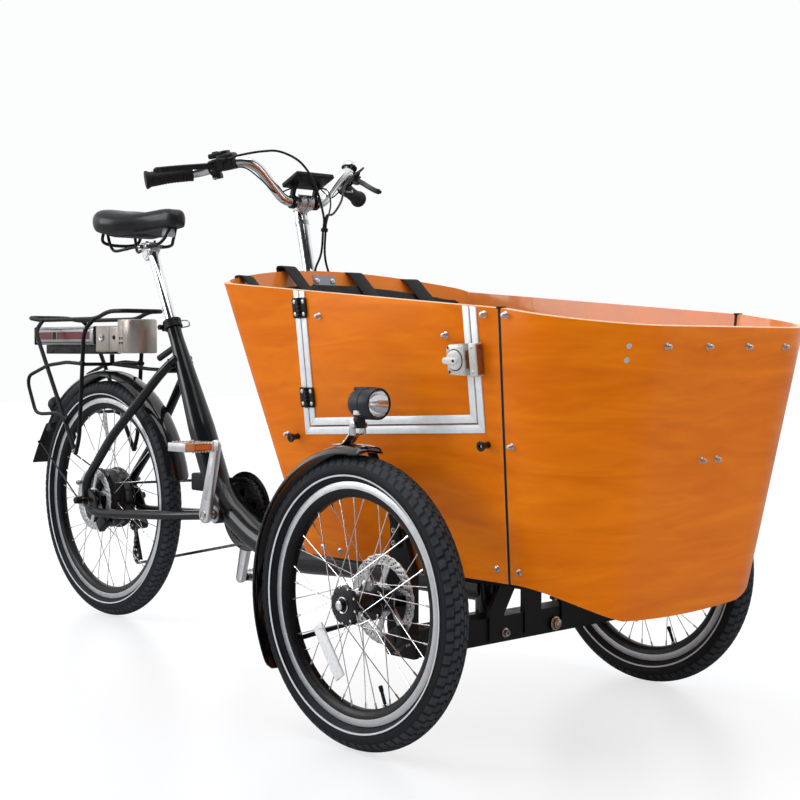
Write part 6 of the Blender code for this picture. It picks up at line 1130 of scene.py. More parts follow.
dowel(LAMP_PIN - ALONG_Y * 0.0155, LAMP_PIN + ALONG_Y * 0.0155, 0.003, ZINC, 20)
for way in (-1, 1):
    turned([(0, 0.0024), (0.004, 0.0022), (0.005, 0.001), (0.005, 0), (0, 0)],
        LAMP_PIN + ALONG_Y * way * 0.0132, (0, way, 0), ZINC, 24)
settle("headlight_with_lens", "headlight", "lamp_shell", "headlight")

# ---------------------------------------------------------------------------------------------
# Cargo box: two sheets of 12 mm birch plywood, steam bent and varnished, flaring upwards. They
# meet at a black rubber gasket on both sides, and their cut edges show the pale plies.

PLY = 0.012
BOX_BOTTOM = 0.302
RIM_CORNER = (0.9575, 0.82)
BOTTOM_CORNER_X = 1.14
SEAM_TOP_X, SEAM_BOTTOM_X, SEAM_GAP = 1.699, 1.677, 0.006
FRONT_TOP = (1.915, 0.727)
FRONT_BOTTOM_X = 1.818
WALL_LEAN = math.atan(0.11)
DOOR_LEFT, DOOR_RIGHT, DOOR_BOTTOM = 1.2, 1.637, 0.56


def varnished_ply():
    """Birch face veneer under orange varnish: flame figure along X, clouds and fine pores."""
    made, tree, shader, place = new_material("varnished_birch_face", (0.66, 0.19, 0.02))

    def laid_over(base, factor, layer):
        return add_node(tree, "Mix", data_type="RGBA", blend_type="MULTIPLY", Factor=factor, A=base,
            B=layer).outputs["Result"]

    stretch = add_node(tree, "Mapping", Vector=place, Scale=(1.3, 1.3, 9.0)).outputs["Vector"]
    figure = add_node(tree, "TexNoise", Vector=stretch, Scale=2.6, Detail=7.0, Roughness=0.55,
        Distortion=1.4).outputs["Fac"]
    wood = add_node(tree, "ValToRGB", ((0.28, (0.7, 0.15, 0.004)), (0.72, (0.86, 0.225, 0.006)),
        (0.52, (0.78, 0.184, 0.005))), Fac=figure).outputs["Color"]
    waves = add_node(tree, "TexWave", bands_direction="Z", Vector=place, Scale=5.0, Distortion=9.0,
        Detail=3.0, Detail_Scale=0.7).outputs["Fac"]
    lines = add_node(tree, "ValToRGB", ((0.0, (0.8, 0.72, 0.66)), (0.16, (1, 1, 1))),
        Fac=waves).outputs["Color"]
    clouds = add_node(tree, "TexNoise", Vector=place, Scale=4.5, Detail=3.0).outputs["Fac"]
    shade = add_node(tree, "ValToRGB", ((0.3, (0.9, 0.82, 0.76)), (0.66, (1, 1, 1))),
        Fac=clouds).outputs["Color"]
    fine = add_node(tree, "Mapping", Vector=place, Scale=(40.0, 40.0, 420.0)).outputs["Vector"]
    pores = add_node(tree, "TexNoise", Vector=fine, Scale=1.0, Detail=3.0).outputs["Fac"]
    gloss = add_node(tree, "MapRange", Value=pores, To_Min=0.24, To_Max=0.36).outputs["Result"]
    relief = add_node(tree, "Bump", Height=pores, Strength=0.06, Distance=0.0004).outputs["Normal"]
    wired(tree, shader, Base_Color=laid_over(laid_over(wood, 0.2, lines), 0.7, shade), Roughness=gloss,
        Normal=relief, Specular_IOR_Level=0.2, Specular_Tint=(1.0, 0.45, 0.12, 1), Coat_Weight=0.03,
        Coat_Roughness=0.12)
    return made


PLY_FACE = varnished_ply()
# the same varnished birch, painted paler for the light that falls inside the open box
PLY_INSIDE_PAINTED_LIGHT = surface("varnished_birch_inside_painted_light", (0.76, 0.215, 0.03), 0.26, mottle=0.1, cloud=9, grain=0.08,
    grain_scale=700, coat=0.5)
PLY_EDGE = surface("cut_plies", (0.86, 0.5, 0.24), 0.35, mottle=0.16, cloud=160, grain=0.3, grain_scale=600,
    coat=0.3)
# black rubber of the seam gaskets, also used for painted shade: the shadow ring round the thumb turn and the
# screws' cross recesses
GASKET_AND_SHADE = surface("gasket_rubber_and_painted_shade", (0.012, 0.011, 0.011), 0.55, cloud=80, grain=0.2)
STRIP_ALUMINIUM = surface("door_strip_aluminium", (0.84, 0.88, 0.9), 0.38, 0.35, mottle=0.05, grain=0.18,
    grain_scale=1400)
HINGE_BLACK = surface("hinge_black", (0.012, 0.012, 0.013), 0.35, cloud=100, grain=0.2)
LATCH_IVORY = surface("latch_nickel_enamel", (0.6, 0.585, 0.545), 0.28, 0.35, mottle=0.03, cloud=40,
    grain=0.02, grain_scale=1200, coat=0.2)
KNOB_IVORY = surface("thumb_turn_enamel", (0.68, 0.665, 0.63), 0.24, mottle=0.03, cloud=90, grain=0.06,
    grain_scale=1200, coat=0.5)
KEEPER_BROWN = surface("keeper_side_bronze", (0.3, 0.115, 0.035), 0.3, 0.5, cloud=80)
BARREL_NUT = surface("barrel_nut_nickel", (0.74, 0.7, 0.66), 0.34, 0.9, mottle=0.08, cloud=200, grain=0.06)
PLATE_STEEL = surface("brushed_plate_steel", (0.34, 0.36, 0.41), 0.38, 0.8, mottle=0.08, grain=0.15,
    grain_scale=1500)
KNOB_BLACK = surface("black_plastic_knob", (0.01, 0.01, 0.01), 0.3, cloud=100, coat=0.3)


def wall_y(z):
    return 0.285 + 0.11 * (z - BOX_BOTTOM)


def side_rim_z(x):
    return RIM_CORNER[1] - 0.0857 * (x - RIM_CORNER[0])


def rear_rim_z(y):
    return RIM_CORNER[1] + 0.034 * (1 - (y / wall_y(RIM_CORNER[1])) ** 2)


def rear_face_x(y, z):
    away = 1 - (y / wall_y(z)) ** 2
    low = BOTTOM_CORNER_X - 0.07 * away
    top = RIM_CORNER[0] - 0.0895 * away
    return low + (top - low) * (z - BOX_BOTTOM) / (RIM_CORNER[1] + 0.034 * away - BOX_BOTTOM)


def both_sides(lines):
    """The lines up to the middle one, then their mirror images on the near side."""
    return lines + [tuple(at(p.x, -p.y, p.z) for p in line) for line in reversed(lines[:-1])]


def rear_lines(corner_steps=10, back_steps=12):
    """Bottom and top points of the rear sheet's outer face, from the far seam to the near one."""
    bend = 0.026
    top_y, low_y = wall_y(RIM_CORNER[1]), wall_y(BOX_BOTTOM)

    def top_at(y):
        away = 1 - (y / top_y) ** 2
        return at(RIM_CORNER[0] - 0.0895 * away, y, RIM_CORNER[1] + 0.034 * away)

    def low_at(y):
        away = 1 - (y / low_y) ** 2
        return at(BOTTOM_CORNER_X - 0.07 * away, y, BOX_BOTTOM)

    start_x = RIM_CORNER[0] + bend
    lines = []
    for i in range(13):
        t = i / 12
        top_x = SEAM_TOP_X + (start_x - SEAM_TOP_X) * t
        low_x = SEAM_BOTTOM_X + (BOTTOM_CORNER_X + bend - SEAM_BOTTOM_X) * t
        lines.append((at(low_x, low_y, BOX_BOTTOM), at(top_x, wall_y(side_rim_z(top_x)), side_rim_z(top_x))))
    bends = ((at(BOTTOM_CORNER_X + bend, low_y, BOX_BOTTOM), at(BOTTOM_CORNER_X, low_y, BOX_BOTTOM),
        low_at(low_y - bend)), (at(start_x, wall_y(side_rim_z(start_x)), side_rim_z(start_x)),
        at(RIM_CORNER[0], top_y, RIM_CORNER[1]), top_at(top_y - bend)))
    for i in range(1, corner_steps + 1):
        t = i / corner_steps
        lines.append(tuple(a * (1 - t) ** 2 + b * 2 * t * (1 - t) + c * t ** 2 for a, b, c in bends))
    for i in range(1, back_steps + 1):
        share = 1 - i / back_steps
        lines.append((low_at((low_y - bend) * share), top_at((top_y - bend) * share)))
    return both_sides(lines)


def front_lines(steps=24):
    """Bottom and top points of the front sheet's outer face, from the far seam to the near one."""
    top_round, low_round = 0.16, 0.125
    start_top, start_low = FRONT_TOP[0] - top_round, FRONT_BOTTOM_X - low_round
    seam_z = side_rim_z(SEAM_TOP_X)
    fall = (FRONT_TOP[1] - seam_z) / (FRONT_TOP[0] - SEAM_TOP_X)
    low_y = wall_y(BOX_BOTTOM)
    lines = [(at(SEAM_BOTTOM_X + SEAM_GAP, low_y, BOX_BOTTOM),
        at(SEAM_TOP_X + SEAM_GAP, wall_y(seam_z), seam_z))]
    for i in range(steps + 1):
        t = i / steps
        lean = math.pi / 2 * t
        x = start_top + top_round * math.sin(lean)
        z = seam_z + fall * (x - SEAM_TOP_X)
        dip = (0.8 * t) ** 2 * (3 - 1.6 * t)
        lines.append((at(start_low + low_round * math.sin(lean), low_y - low_round * (1 - math.cos(lean)),
            BOX_BOTTOM - 0.066 * dip), at(x, wall_y(z) - top_round * (1 - math.cos(lean)), z)))
    low_flat, top_flat = low_y - low_round, wall_y(FRONT_TOP[1]) - top_round
    for i in range(1, 9):
        share = 1 - i / 8
        dip = 0.896 + (1 - 0.896) * (1 - share ** 2)
        lines.append((at(FRONT_BOTTOM_X, low_flat * share, BOX_BOTTOM - 0.066 * dip),
            at(FRONT_TOP[0], top_flat * share, FRONT_TOP[1])))
    return both_sides(lines)


def bent_ply(name, lines, rows=6):
    """A ruled skin through the lines, given the sheet's thickness inwards, its rims eased."""
    shape = bmesh.new()
    grid = [[shape.verts.new(low.lerp(top, row / rows)) for row in range(rows + 1)] for low, top in lines]
    for first, second in zip(grid, grid[1:]):
        for row in range(rows):
            shape.faces.new((first[row], second[row], second[row + 1], first[row + 1]))
    made = painted(meshed(name, shape), PLY_FACE, PLY_EDGE, PLY_INSIDE_PAINTED_LIGHT)
    face = made.data.polygons[len(made.data.polygons) // 2]
    if face.normal.x * (face.center.x - FRONT_X) < 0:
        made.data.flip_normals()
    # the inner face takes the paler inside finish: painted light
    return altered(made, "SOLIDIFY", thickness=PLY, offset=-1.0, use_even_offset=True, material_offset=2,
        material_offset_rim=1)


def on_wall(x, z, out=0.0, side=-1):
    """A point on a side wall's outer face, or some way out from it."""
    return at(x, side * (wall_y(z) + math.cos(WALL_LEAN) * out), z - math.sin(WALL_LEAN) * out)


def wall_out(side=-1):
    return at(0, side * math.cos(WALL_LEAN), -math.sin(WALL_LEAN))


UP_WALL = at(0, -math.sin(WALL_LEAN), math.cos(WALL_LEAN))


def wall_plane(x, z, out=0.0):
    """A matrix on the near wall: local X ahead, Y up the wall and Z out of it."""
    made = Matrix((AHEAD, UP_WALL, AHEAD.cross(UP_WALL))).transposed().to_4x4()
    made.translation = on_wall(x, z, out)
    return made


def up_wall(z):
    return (z - DOOR_BOTTOM) / math.cos(WALL_LEAN)


def barrel_nut(place, out):
    """A domed barrel nut with its waist and washer, standing 11 mm proud."""
    turned([(0, 0.0112), (0.0026, 0.0106), (0.0042, 0.009), (0.0048, 0.007), (0.0042, 0.0052),
        (0.0026, 0.0044), (0.0026, 0.003), (0.004, 0.0022), (0.005, 0.001), (0.006, 0.0008), (0.0061, 0.0),
        (0, 0.0)], place, out, BARREL_NUT, 28)


def cross_screw(place, out, radius=0.0062, height=0.0026):
    """A countersunk dome with its cross recess drawn as two dark bars, painted shade."""
    turned([(0, height), (radius * 0.4, height * 0.97), (radius * 0.75, height * 0.72),
        (radius * 0.96, height * 0.28), (radius, 0), (0, 0)], place, out, BARREL_NUT, 28)
    # two thin dark bars on the dome: painted shade where the cross recess would be
    for turn in (0.6, 0.6 + math.pi / 2):
        cast_block((0, 0, 0), (radius * 1.05, radius * 0.2, height * 0.12), GASKET_AND_SHADE, edge=0.0001, segments=1,
            placed=laid(out, place + out * height * 0.99) @ Matrix.Rotation(turn, 4, "Z"))


half_gap = 0.0015


def sill(x):
    """The doorway's lower edge, which falls a little towards the hinges."""
    return up_wall(0.547 + 0.02 * (x - DOOR_LEFT) / (DOOR_RIGHT - DOOR_LEFT))


doorway = [(DOOR_LEFT - half_gap, sill(DOOR_LEFT) - half_gap),
    (DOOR_RIGHT + half_gap, sill(DOOR_RIGHT) - half_gap), (DOOR_RIGHT + half_gap, 0.6),
    (DOOR_LEFT - half_gap, 0.6)]
opening = cut_plate(doorway, 0.08, wall_plane(0, DOOR_BOTTOM), PLY_EDGE)
bench.clear()
rear_shell = altered(bent_ply("box_rear_sheet", rear_lines()), "BOOLEAN", object=opening,
    operation="DIFFERENCE", solver="EXACT", material_mode="TRANSFER")
bpy.data.objects.remove(opening, do_unlink=True)
bench.append(softened(rear_shell, 0.0007, 1, 50))


def strip_set(left, right, drop, width, thickness=0.0022):
    """Three mitred strips round the doorway, open at the rim; left and right are inner edges."""
    outer_l, outer_r, tip = left - width, right + width, 0.0002

    def rim_at(x):
        return up_wall(side_rim_z(x)) - 0.0008

    def inner(x):
        return sill(x) + drop

    plates = [[(left, rim_at(left)), (outer_l, rim_at(outer_l)), (outer_l, inner(outer_l) - width + tip),
        (left, inner(left) + tip)], [(outer_r, rim_at(outer_r)), (right, rim_at(right)),
        (right, inner(right) + tip), (outer_r, inner(outer_r) - width + tip)],
        [(outer_l + tip, inner(outer_l) - width), (outer_r - tip, inner(outer_r) - width),
        (right - tip, inner(right)), (left + tip, inner(left))]]
    placed = wall_plane(0, DOOR_BOTTOM, thickness / 2)
    for ring in plates:
        cut_plate(ring, thickness, placed, STRIP_ALUMINIUM, edge=0.0005)


STRIP_WIDTH = 0.014
strip_set(DOOR_LEFT - half_gap, DOOR_RIGHT + half_gap, -half_gap, STRIP_WIDTH)
for x, z in ((1.159, 0.526), (1.656, 0.533)):
    turned([(0, 0.015), (0.003, 0.015), (0.0034, 0.0196), (0.008, 0.02), (0.0088, 0.019), (0.0086, 0.017),
        (0.006, 0.012), (0.0052, 0.006), (0.0058, 0.0), (0, 0)], on_wall(x, z), wall_out(), KNOB_BLACK, 32)
    dowel(on_wall(x, z, 0.0148), on_wall(x, z, 0.0172), 0.0024, BARREL_NUT, 6)
for side, nuts in ((-1, ((1.669, 0.747), (1.129, 0.529))),
        (1, ((1.669, 0.747), (1.129, 0.529), (1.656, 0.533)))):
    for x, z in nuts:
        barrel_nut(on_wall(x, z, 0.0, side), wall_out(side))
    for x, z in ((1.204, 0.318), (1.253, 0.315), (1.655, 0.325)):
        cross_screw(on_wall(x, z, 0.0, side), wall_out(side))
# the steel plates that hold both sheets together, two in one place inside the near wall
for _ in SIDES:
    cut_plate([*arc((-0.034, 0), 0.0095, 90, 270, 10), *arc((0.034, 0), 0.0095, -90, 90, 10)], 0.0022,
        wall_plane(1.693, 0.744, -PLY - 0.0012), PLATE_STEEL, edge=0.0004)
    for x in (1.669, 1.717):
        turned([(0, 0.003), (0.003, 0.0029), (0.0052, 0.0018), (0.006, 0), (0, 0)],
            on_wall(x, 0.744, -PLY - 0.0022), -wall_out(), BARREL_NUT, 24)
plate_z = 0.836
for y in (-0.04, 0.004):
    turned([(0, 0.0045), (0.003, 0.0043), (0.0058, 0.0028), (0.0064, 0), (0, 0)],
        (rear_face_x(y, plate_z) + PLY + 0.003, y, plate_z), (1, 0, 0.28), BARREL_NUT, 24)
strip([(rear_face_x(0, plate_z + step) + PLY + 0.002, -0.018, plate_z + step) for step in (-0.012, 0.012)],
    ALONG_Y, 0.062, 0.003, PLATE_STEEL)
settle("box_rear_sheet_with_strips", "front_group", "plywood", "box_rear_shell", angle=32)


def front_face_x(z):
    low = BOX_BOTTOM - 0.066
    return FRONT_BOTTOM_X + (FRONT_TOP[0] - FRONT_BOTTOM_X) * (z - low) / (FRONT_TOP[1] - low)


front_shell = softened(bent_ply("box_front_sheet", front_lines()), 0.0009, 2, 50)
bench.append(front_shell)
front_out = at(1, 0, -(FRONT_TOP[0] - FRONT_BOTTOM_X) / (FRONT_TOP[1] - 0.236)).normalized()
for y in (-0.167, -0.056, 0.056, 0.167):
    barrel_nut((front_face_x(0.695) - 0.0004, y, 0.695), front_out)
for y in (-0.021, 0.021):
    barrel_nut((front_face_x(0.505) - 0.0004, y, 0.505), front_out)
for _, side in SIDES:
    for x, z in ((1.717, 0.745), (1.709, 0.532)):
        barrel_nut(on_wall(x, z, 0.0, side), wall_out(side))
    cross_screw(on_wall(1.704, 0.324, 0.0, side), wall_out(side))
for height, y in ((0.6952, -0.2405), (0.6733, -0.2403)):
    _, foot, facing, _ = front_shell.ray_cast(at(2.16, y, height), -AHEAD)
    turned([(0, 0.0002), (0.0024, 0.0002), (0.0034, 0.0009), (0.0046, 0.0006), (0.0048, -0.0006),
        (0, -0.0006)], foot, facing, LATCH_IVORY, 24)
settle("box_front_sheet_with_nuts", "front_group", "plywood", "box_front_shell", angle=32)

seam_z = side_rim_z(SEAM_TOP_X)
for _, side in SIDES:
    low = at(SEAM_BOTTOM_X + SEAM_GAP / 2, side * (wall_y(BOX_BOTTOM) - PLY / 2), BOX_BOTTOM)
    top = at(SEAM_TOP_X + SEAM_GAP / 2, side * (wall_y(seam_z) - PLY / 2), seam_z + 0.0006)
    strip([low.lerp(top, i / 4) for i in range(5)], (0, 1, 0), PLY - 0.0016, SEAM_GAP, GASKET_AND_SHADE)
    cast_block(top + UP * 0.0002, (0.0105, PLY + 0.002, 0.0034), GASKET_AND_SHADE, edge=0.0008)
settle("seam_gaskets", "front_group", "plywood")

# Door: a panel cut from the same sheet, edged with its own strips and hung on two black hinges.
panel_ring = [(DOOR_LEFT + half_gap, sill(DOOR_LEFT) + half_gap),
    (DOOR_RIGHT - half_gap, sill(DOOR_RIGHT) + half_gap),
    (DOOR_RIGHT - half_gap, up_wall(side_rim_z(DOOR_RIGHT))),
    (DOOR_LEFT + half_gap, up_wall(side_rim_z(DOOR_LEFT)))]
panel = cut_plate(panel_ring, PLY, wall_plane(0, DOOR_BOTTOM, -PLY / 2), PLY_FACE, edge=0.0006)
painted(panel, PLY_FACE, PLY_EDGE)
for face in panel.data.polygons:
    if abs(face.normal.z) < 0.9:
        face.material_index = 1
strip_set(DOOR_LEFT + half_gap + STRIP_WIDTH, DOOR_RIGHT - half_gap - STRIP_WIDTH, half_gap + STRIP_WIDTH,
    STRIP_WIDTH)
for x, z in ((1.251, 0.751), (1.577, 0.714)):
    barrel_nut(on_wall(x, z), wall_out())


def hinge_leaf(height, way, thickness=0.0032):
    """One leaf with two countersunk screws, its edge rounded towards the barrel."""
    start = 0.0048 if way > 0 else 0.0
    end = 0.019
    ring = [(way * start, -0.019), (way * (end - 0.003), -0.019), (way * end, -0.016), (way * end, 0.016),
        (way * (end - 0.003), 0.019), (way * start, 0.019)]
    if way < 0:
        ring.reverse()
    placed = wall_plane(DOOR_LEFT, height, 0.0026 if way > 0 else 0.0035)
    cut_plate(ring, thickness, placed, HINGE_BLACK, edge=0.0006)
    for dz in (-0.0115, 0.0115):
        foot = placed @ at(way * 0.0118, dz, thickness / 2)
        turned([(0, 0.0009), (0.0022, 0.001), (0.0036, 0.0006), (0.004, -0.0006), (0, -0.0006)], foot,
            wall_out(), BARREL_NUT, 24)


hinges = (("upper", 0.767), ("lower", 0.601))
for _, height in hinges:
    hinge_leaf(height, 1)
settle("door_with_strips", "door", "plywood", "door", angle=32)
for label, height in hinges:
    middle = on_wall(DOOR_LEFT, height, 0.0052)
    hinge_leaf(height, -1)
    for k in range(5):
        low = middle + UP_WALL * (-0.019 + 0.0076 * k)
        dowel(low, low + UP_WALL * 0.0072, 0.004, HINGE_BLACK, 24, edge=0.0004)
    dowel(middle - UP_WALL * 0.0185, middle + UP_WALL * 0.0185, 0.0028, ZINC, 16)
    settle("fixed_hinge_leaf_" + label, "front_group", "black_metal", "door_hinge_" + label)

# Rim latch of nickelled zinc: a screwed case with a winged thumb turn, and its box keeper.
LATCH_X, LATCH_Z, LATCH_DEPTH = 1.613, 0.6745, 0.0165


def wall_block(x, out, size, finish, edge):
    """A block at the latch's height, half the latch's depth out from its foot."""
    cast_block((0, 0, 0), size, finish, edge=edge, placed=wall_plane(x, LATCH_Z, out + LATCH_DEPTH / 2))


case_outline = [(0.02, 0.0265), (-0.014, 0.0255), (-0.0205, 0.02), (-0.0205, -0.02), (-0.014, -0.0255),
    (0.02, -0.0265)]
case_frame = wall_plane(LATCH_X, LATCH_Z, 0.0018 + LATCH_DEPTH / 2)
cut_plate(case_outline, LATCH_DEPTH, case_frame, LATCH_IVORY, edge=0.002)
wall_block(LATCH_X + 0.02, 0.0018, (0.002, 0.03, 0.01), KEEPER_BROWN, 0.0004)
for dx, dz in ((-0.0155, 0.02), (-0.0155, -0.02), (0.015, 0.02), (0.015, -0.02)):
    foot = wall_plane(LATCH_X, LATCH_Z, 0.0018 + LATCH_DEPTH) @ at(dx, dz, -0.0002)
    turned([(0, 0.0004), (0.0014, 0.0005), (0.0024, 0.0003), (0.0026, 0), (0, -0.0004)], foot, wall_out(),
        GASKET_AND_SHADE if dx < 0 else ZINC, 20)
settle("latch_case", "door", "latch_white", "latch_body")
keeper_x = DOOR_RIGHT + 0.007 + 0.0085
wall_block(keeper_x, 0.0018, (0.017, 0.055, LATCH_DEPTH), LATCH_IVORY, 0.0014)
wall_block(keeper_x + 0.0082, 0.0014, (0.0012, 0.05, LATCH_DEPTH - 0.003), KEEPER_BROWN, 0.0004)
for dz in (-0.02, 0.02):
    foot = wall_plane(keeper_x, LATCH_Z, 0.0018 + LATCH_DEPTH) @ at(-0.001, dz, -0.0002)
    turned([(0, 0.0004), (0.0016, 0.0006), (0.0028, 0.0003), (0.003, 0), (0, -0.0004)], foot, wall_out(),
        ZINC, 20)
settle("latch_box_keeper", "front_group", "latch_white", "latch_keeper")
face = 0.0018 + LATCH_DEPTH
knob_x = LATCH_X - 0.002
knob_foot = on_wall(knob_x, LATCH_Z, face + 0.0003)
turned([(0.0, 0.0058), (0.012, 0.0056), (0.015, 0.0046), (0.0166, 0.0022), (0.017, 0), (0, 0)], knob_foot,
    wall_out(), KNOB_IVORY, 48)
wing_ring = [*arc((-0.0115, 0), 0.0056, 90, 270, 8), (0.0, -0.0064), *arc((0.0112, 0), 0.005, -90, 90, 8),
    (0.0, 0.0064)]
cut_plate(wing_ring, 0.01, wall_plane(knob_x, LATCH_Z, face + 0.0088), KNOB_IVORY, edge=0.0022)
wing_tip = on_wall(knob_x, LATCH_Z, face + 0.0138) + AHEAD * 0.0098
turned([(0, 0.0008), (0.0024, 0.0006), (0.0028, 0), (0, 0)], wing_tip, wall_out(), GASKET_AND_SHADE, 16)
# a dark ring round the thumb turn's rim: painted shadow in the gap behind it
turned([(0.0168, 0.0004), (0.0184, 0.0004), (0.0184, -0.0006), (0.0168, -0.0006)], knob_foot, wall_out(),
    GASKET_AND_SHADE, 48, True)
settle("latch_thumb_turn", "latch_knob", "latch_white", "latch_knob")

# the box floor and bench take the paler inside finish: painted light inside the box
for panel_name in ("box_floor", "box_floor_rear", "seat_bench"):
    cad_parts[panel_name].material_slots[0].material = PLY_INSIDE_PAINTED_LIGHT

# ---------------------------------------------------------------------------------------------
# Seat pad, back pad and belts: foam in black woven cover with piping sewn round the seat pad,
# and four webbing loops over the rear rim's pad, box-stitched to one strip behind it.

def woven(name, colour, thread, rough=0.86, sheen=0.08, lift=0.55):
    """Plain weave: threads along all three axes, with worn lighter fibres in soft clouds."""
    made = surface(name, colour, rough, mottle=0.3, cloud=14, grain=lift, grain_scale=900, sheen=sheen)
    tree = made.node_tree
    relief = tree.nodes["Principled BSDF"].inputs["Normal"].links[0].from_node
    place = add_node(tree, "TexCoord").outputs["Object"]
    total = None
    for axis in "XYZ":
        band = add_node(tree, "TexWave", bands_direction=axis, Vector=place, Scale=0.314 / thread,
            Distortion=0.6, Detail_Scale=30.0).outputs["Fac"]
        total = band if total is None else add_node(tree, "Math", operation="MULTIPLY_ADD", _0=band, _1=0.5,
            _2=total).outputs["Value"]
    wired(tree, relief, Height=total)
    return made


CUSHION_CLOTH = woven("cushion_cover_cloth", (0.013, 0.013, 0.015), 0.0012)
PIPING = woven("piping_cloth", (0.012, 0.012, 0.013), 0.0009, 0.75)
WEBBING = woven("belt_webbing", (0.011, 0.011, 0.012), 0.0014, 0.7, 0.06, 0.7)
STITCH = surface("belt_stitching", (0.05, 0.05, 0.052), 0.7, cloud=300, grain=0.3)


def stuffed(node_name, name, finish, room=0.004, cap=0.0042, pressure=4.0, frames=20):
    """The pad's shape taken in a little, then blown up again under pressure as cloth."""
    made = welded(linked(name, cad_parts[node_name].data.copy()))
    altered(made, "REMESH", mode="VOXEL", voxel_size=0.0065, use_smooth_shade=True)
    normals = [vertex.normal.copy() for vertex in made.data.vertices]
    for vertex, normal in zip(made.data.vertices, normals):
        vertex.co -= normal * room
    slack = [vertex.co.copy() for vertex in made.data.vertices]
    cloth = made.modifiers.new("cover", "CLOTH")
    cloth.settings.use_pressure = True
    cloth.settings.uniform_pressure_force = pressure
    cloth.settings.effector_weights.gravity = 0.0
    for step in range(1, frames + 1):
        bpy.context.scene.frame_set(step)
    take(made)
    bpy.ops.object.modifier_apply(modifier=cloth.name)
    bpy.context.scene.frame_set(1)
    for vertex, start in zip(made.data.vertices, slack):
        move = vertex.co - start
        if move.length > cap:
            vertex.co = start + move.normalized() * cap
    altered(made, "SUBSURF", levels=1, render_levels=1)
    made.data.transform(Matrix.Translation((-REAR_AXLE_X, 0, 0)))
    kept(made, finish)


stuffed("seat_cushion", "seat_pad", CUSHION_CLOTH)
pad_low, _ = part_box("seat_cushion")
outline = [vertex.co.copy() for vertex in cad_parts["seat_cushion"].data.vertices
    if abs(vertex.co.z - (pad_low[2] + 0.0248)) < 0.0012]
centre = sum(outline, Vector()) / len(outline)
outline.sort(key=lambda p: math.atan2(p.y - centre.y, p.x - centre.x))
ring = []
for point in outline:
    if not ring or (point - ring[-1]).length > 0.004:
        ring.append(point)
for drop in (-0.0125, 0.003):
    line = [centre + (point - centre) * 0.9935 + at(-REAR_AXLE_X, 0, drop) for point in ring]
    bent_tube(rounded([line[-1], *line, line[0]], 0.012, 3)[1:-1], 0.0024, PIPING, 2, closed=True)
seat_pad = settle("seat_pad", "front_group", "cushion_cloth", "seat_cushion", angle=60)
stuffed("back_cushion", "back_pad", CUSHION_CLOTH)
back_pad = settle("back_pad", "front_group", "cushion_cloth", "back_cushion", angle=60)


def back_plan(z, inset):
    """Points on the rear wall's plan at a height, this far in from its outer face."""
    line = []
    for low, top in rear_lines(8, 10)[12:-12]:
        share = (z - BOX_BOTTOM) / (top.z - BOX_BOTTOM)
        line.append(low.lerp(top, share))
    inwards = []
    for i, point in enumerate(line):
        run = line[min(i + 1, len(line) - 1)] - line[max(i - 1, 0)]
        inwards.append(point + at(-run.y, run.x, 0).normalized() * inset)
    return inwards


BELT_LEVEL, BELT_MIDDLE, BELT_WIDTH = RIM_CORNER[1] - 0.052, PLY + 0.0065, 0.038
run_strip = back_plan(BELT_LEVEL, BELT_MIDDLE)
if run_strip[len(run_strip) // 2].x < rear_face_x(0, BELT_LEVEL):
    run_strip = back_plan(BELT_LEVEL, -BELT_MIDDLE)
strip([(p.x, p.y, BELT_LEVEL) for p in run_strip], (0.12, 0, 1), 0.026, 0.0024, WEBBING, 0.0005)
for place, drop in ((-0.266, 0.014), (-0.12, 0.002), (0.066, 0.012), (0.206, 0.014)):
    rim = rear_rim_z(place) - drop
    slant = 1.07 + 1.5 * place ** 2
    crest = max(rim + 0.016, rear_rim_z(place) + 0.004)
    outside = -0.0022 * slant - 0.0008
    ahead = (PLY + 0.013 + 0.035 + 0.006) * slant + 0.004
    line = [(outside, rim - 0.046), (outside, rim - 0.006), (outside + 0.001, crest),
        (PLY * slant + 0.01, crest), (ahead, rim - 0.056), (ahead, rim - 0.095)]
    loop = [(rear_face_x(place, z) + inset, place, z) for inset, z in line]
    step = BELT_WIDTH / 2
    level_run = rear_face_x(place + step, BELT_LEVEL) - rear_face_x(place - step, BELT_LEVEL)
    across = at(level_run, BELT_WIDTH, 0).normalized()
    strip(rounded(loop, 0.009, 5), across, BELT_WIDTH, 0.0026, WEBBING, 0.0006)
    turned([(0, 0.0034), (0.003, 0.0032), (0.0058, 0.0018), (0.0066, 0), (0, 0)],
        Vector(loop[0]) + at(-0.001, 0, 0.012), (-1, 0, -0.25), ZINC, 24)
    for edge_side in (-1, 1):
        thread = [Vector(p) + across * 0.0155 * edge_side for p in loop[4:]]
        thread = [p + at(0.00135, 0, 0) for p in thread]
        bent_tube(thread, 0.0005, STITCH, 1)
    hem = Vector(loop[-1]) + at(0.0002, 0, 0.011)
    strip([hem + at(0, 0, 0.011), hem - at(0, 0, 0.011)], across, 0.0385, 0.0044, WEBBING, 0.0008)
settle("belt_loops", "front_group", "webbing", "seat_belts", angle=50)

# ---------------------------------------------------------------------------------------------
# Steering column: a polished tube bolted behind the box by two brackets, with a forged stem
# clamp at its top. The brace plate below the rim is cut from bright sheet.

COLUMN_FOOT, BAR_CENTRE = 0.4, at(0.797, 0, 1.012)


def column_point(z):
    return at(BAR_CENTRE.x - 0.0155 + 0.236 * (BAR_CENTRE.z - z), 0, z)


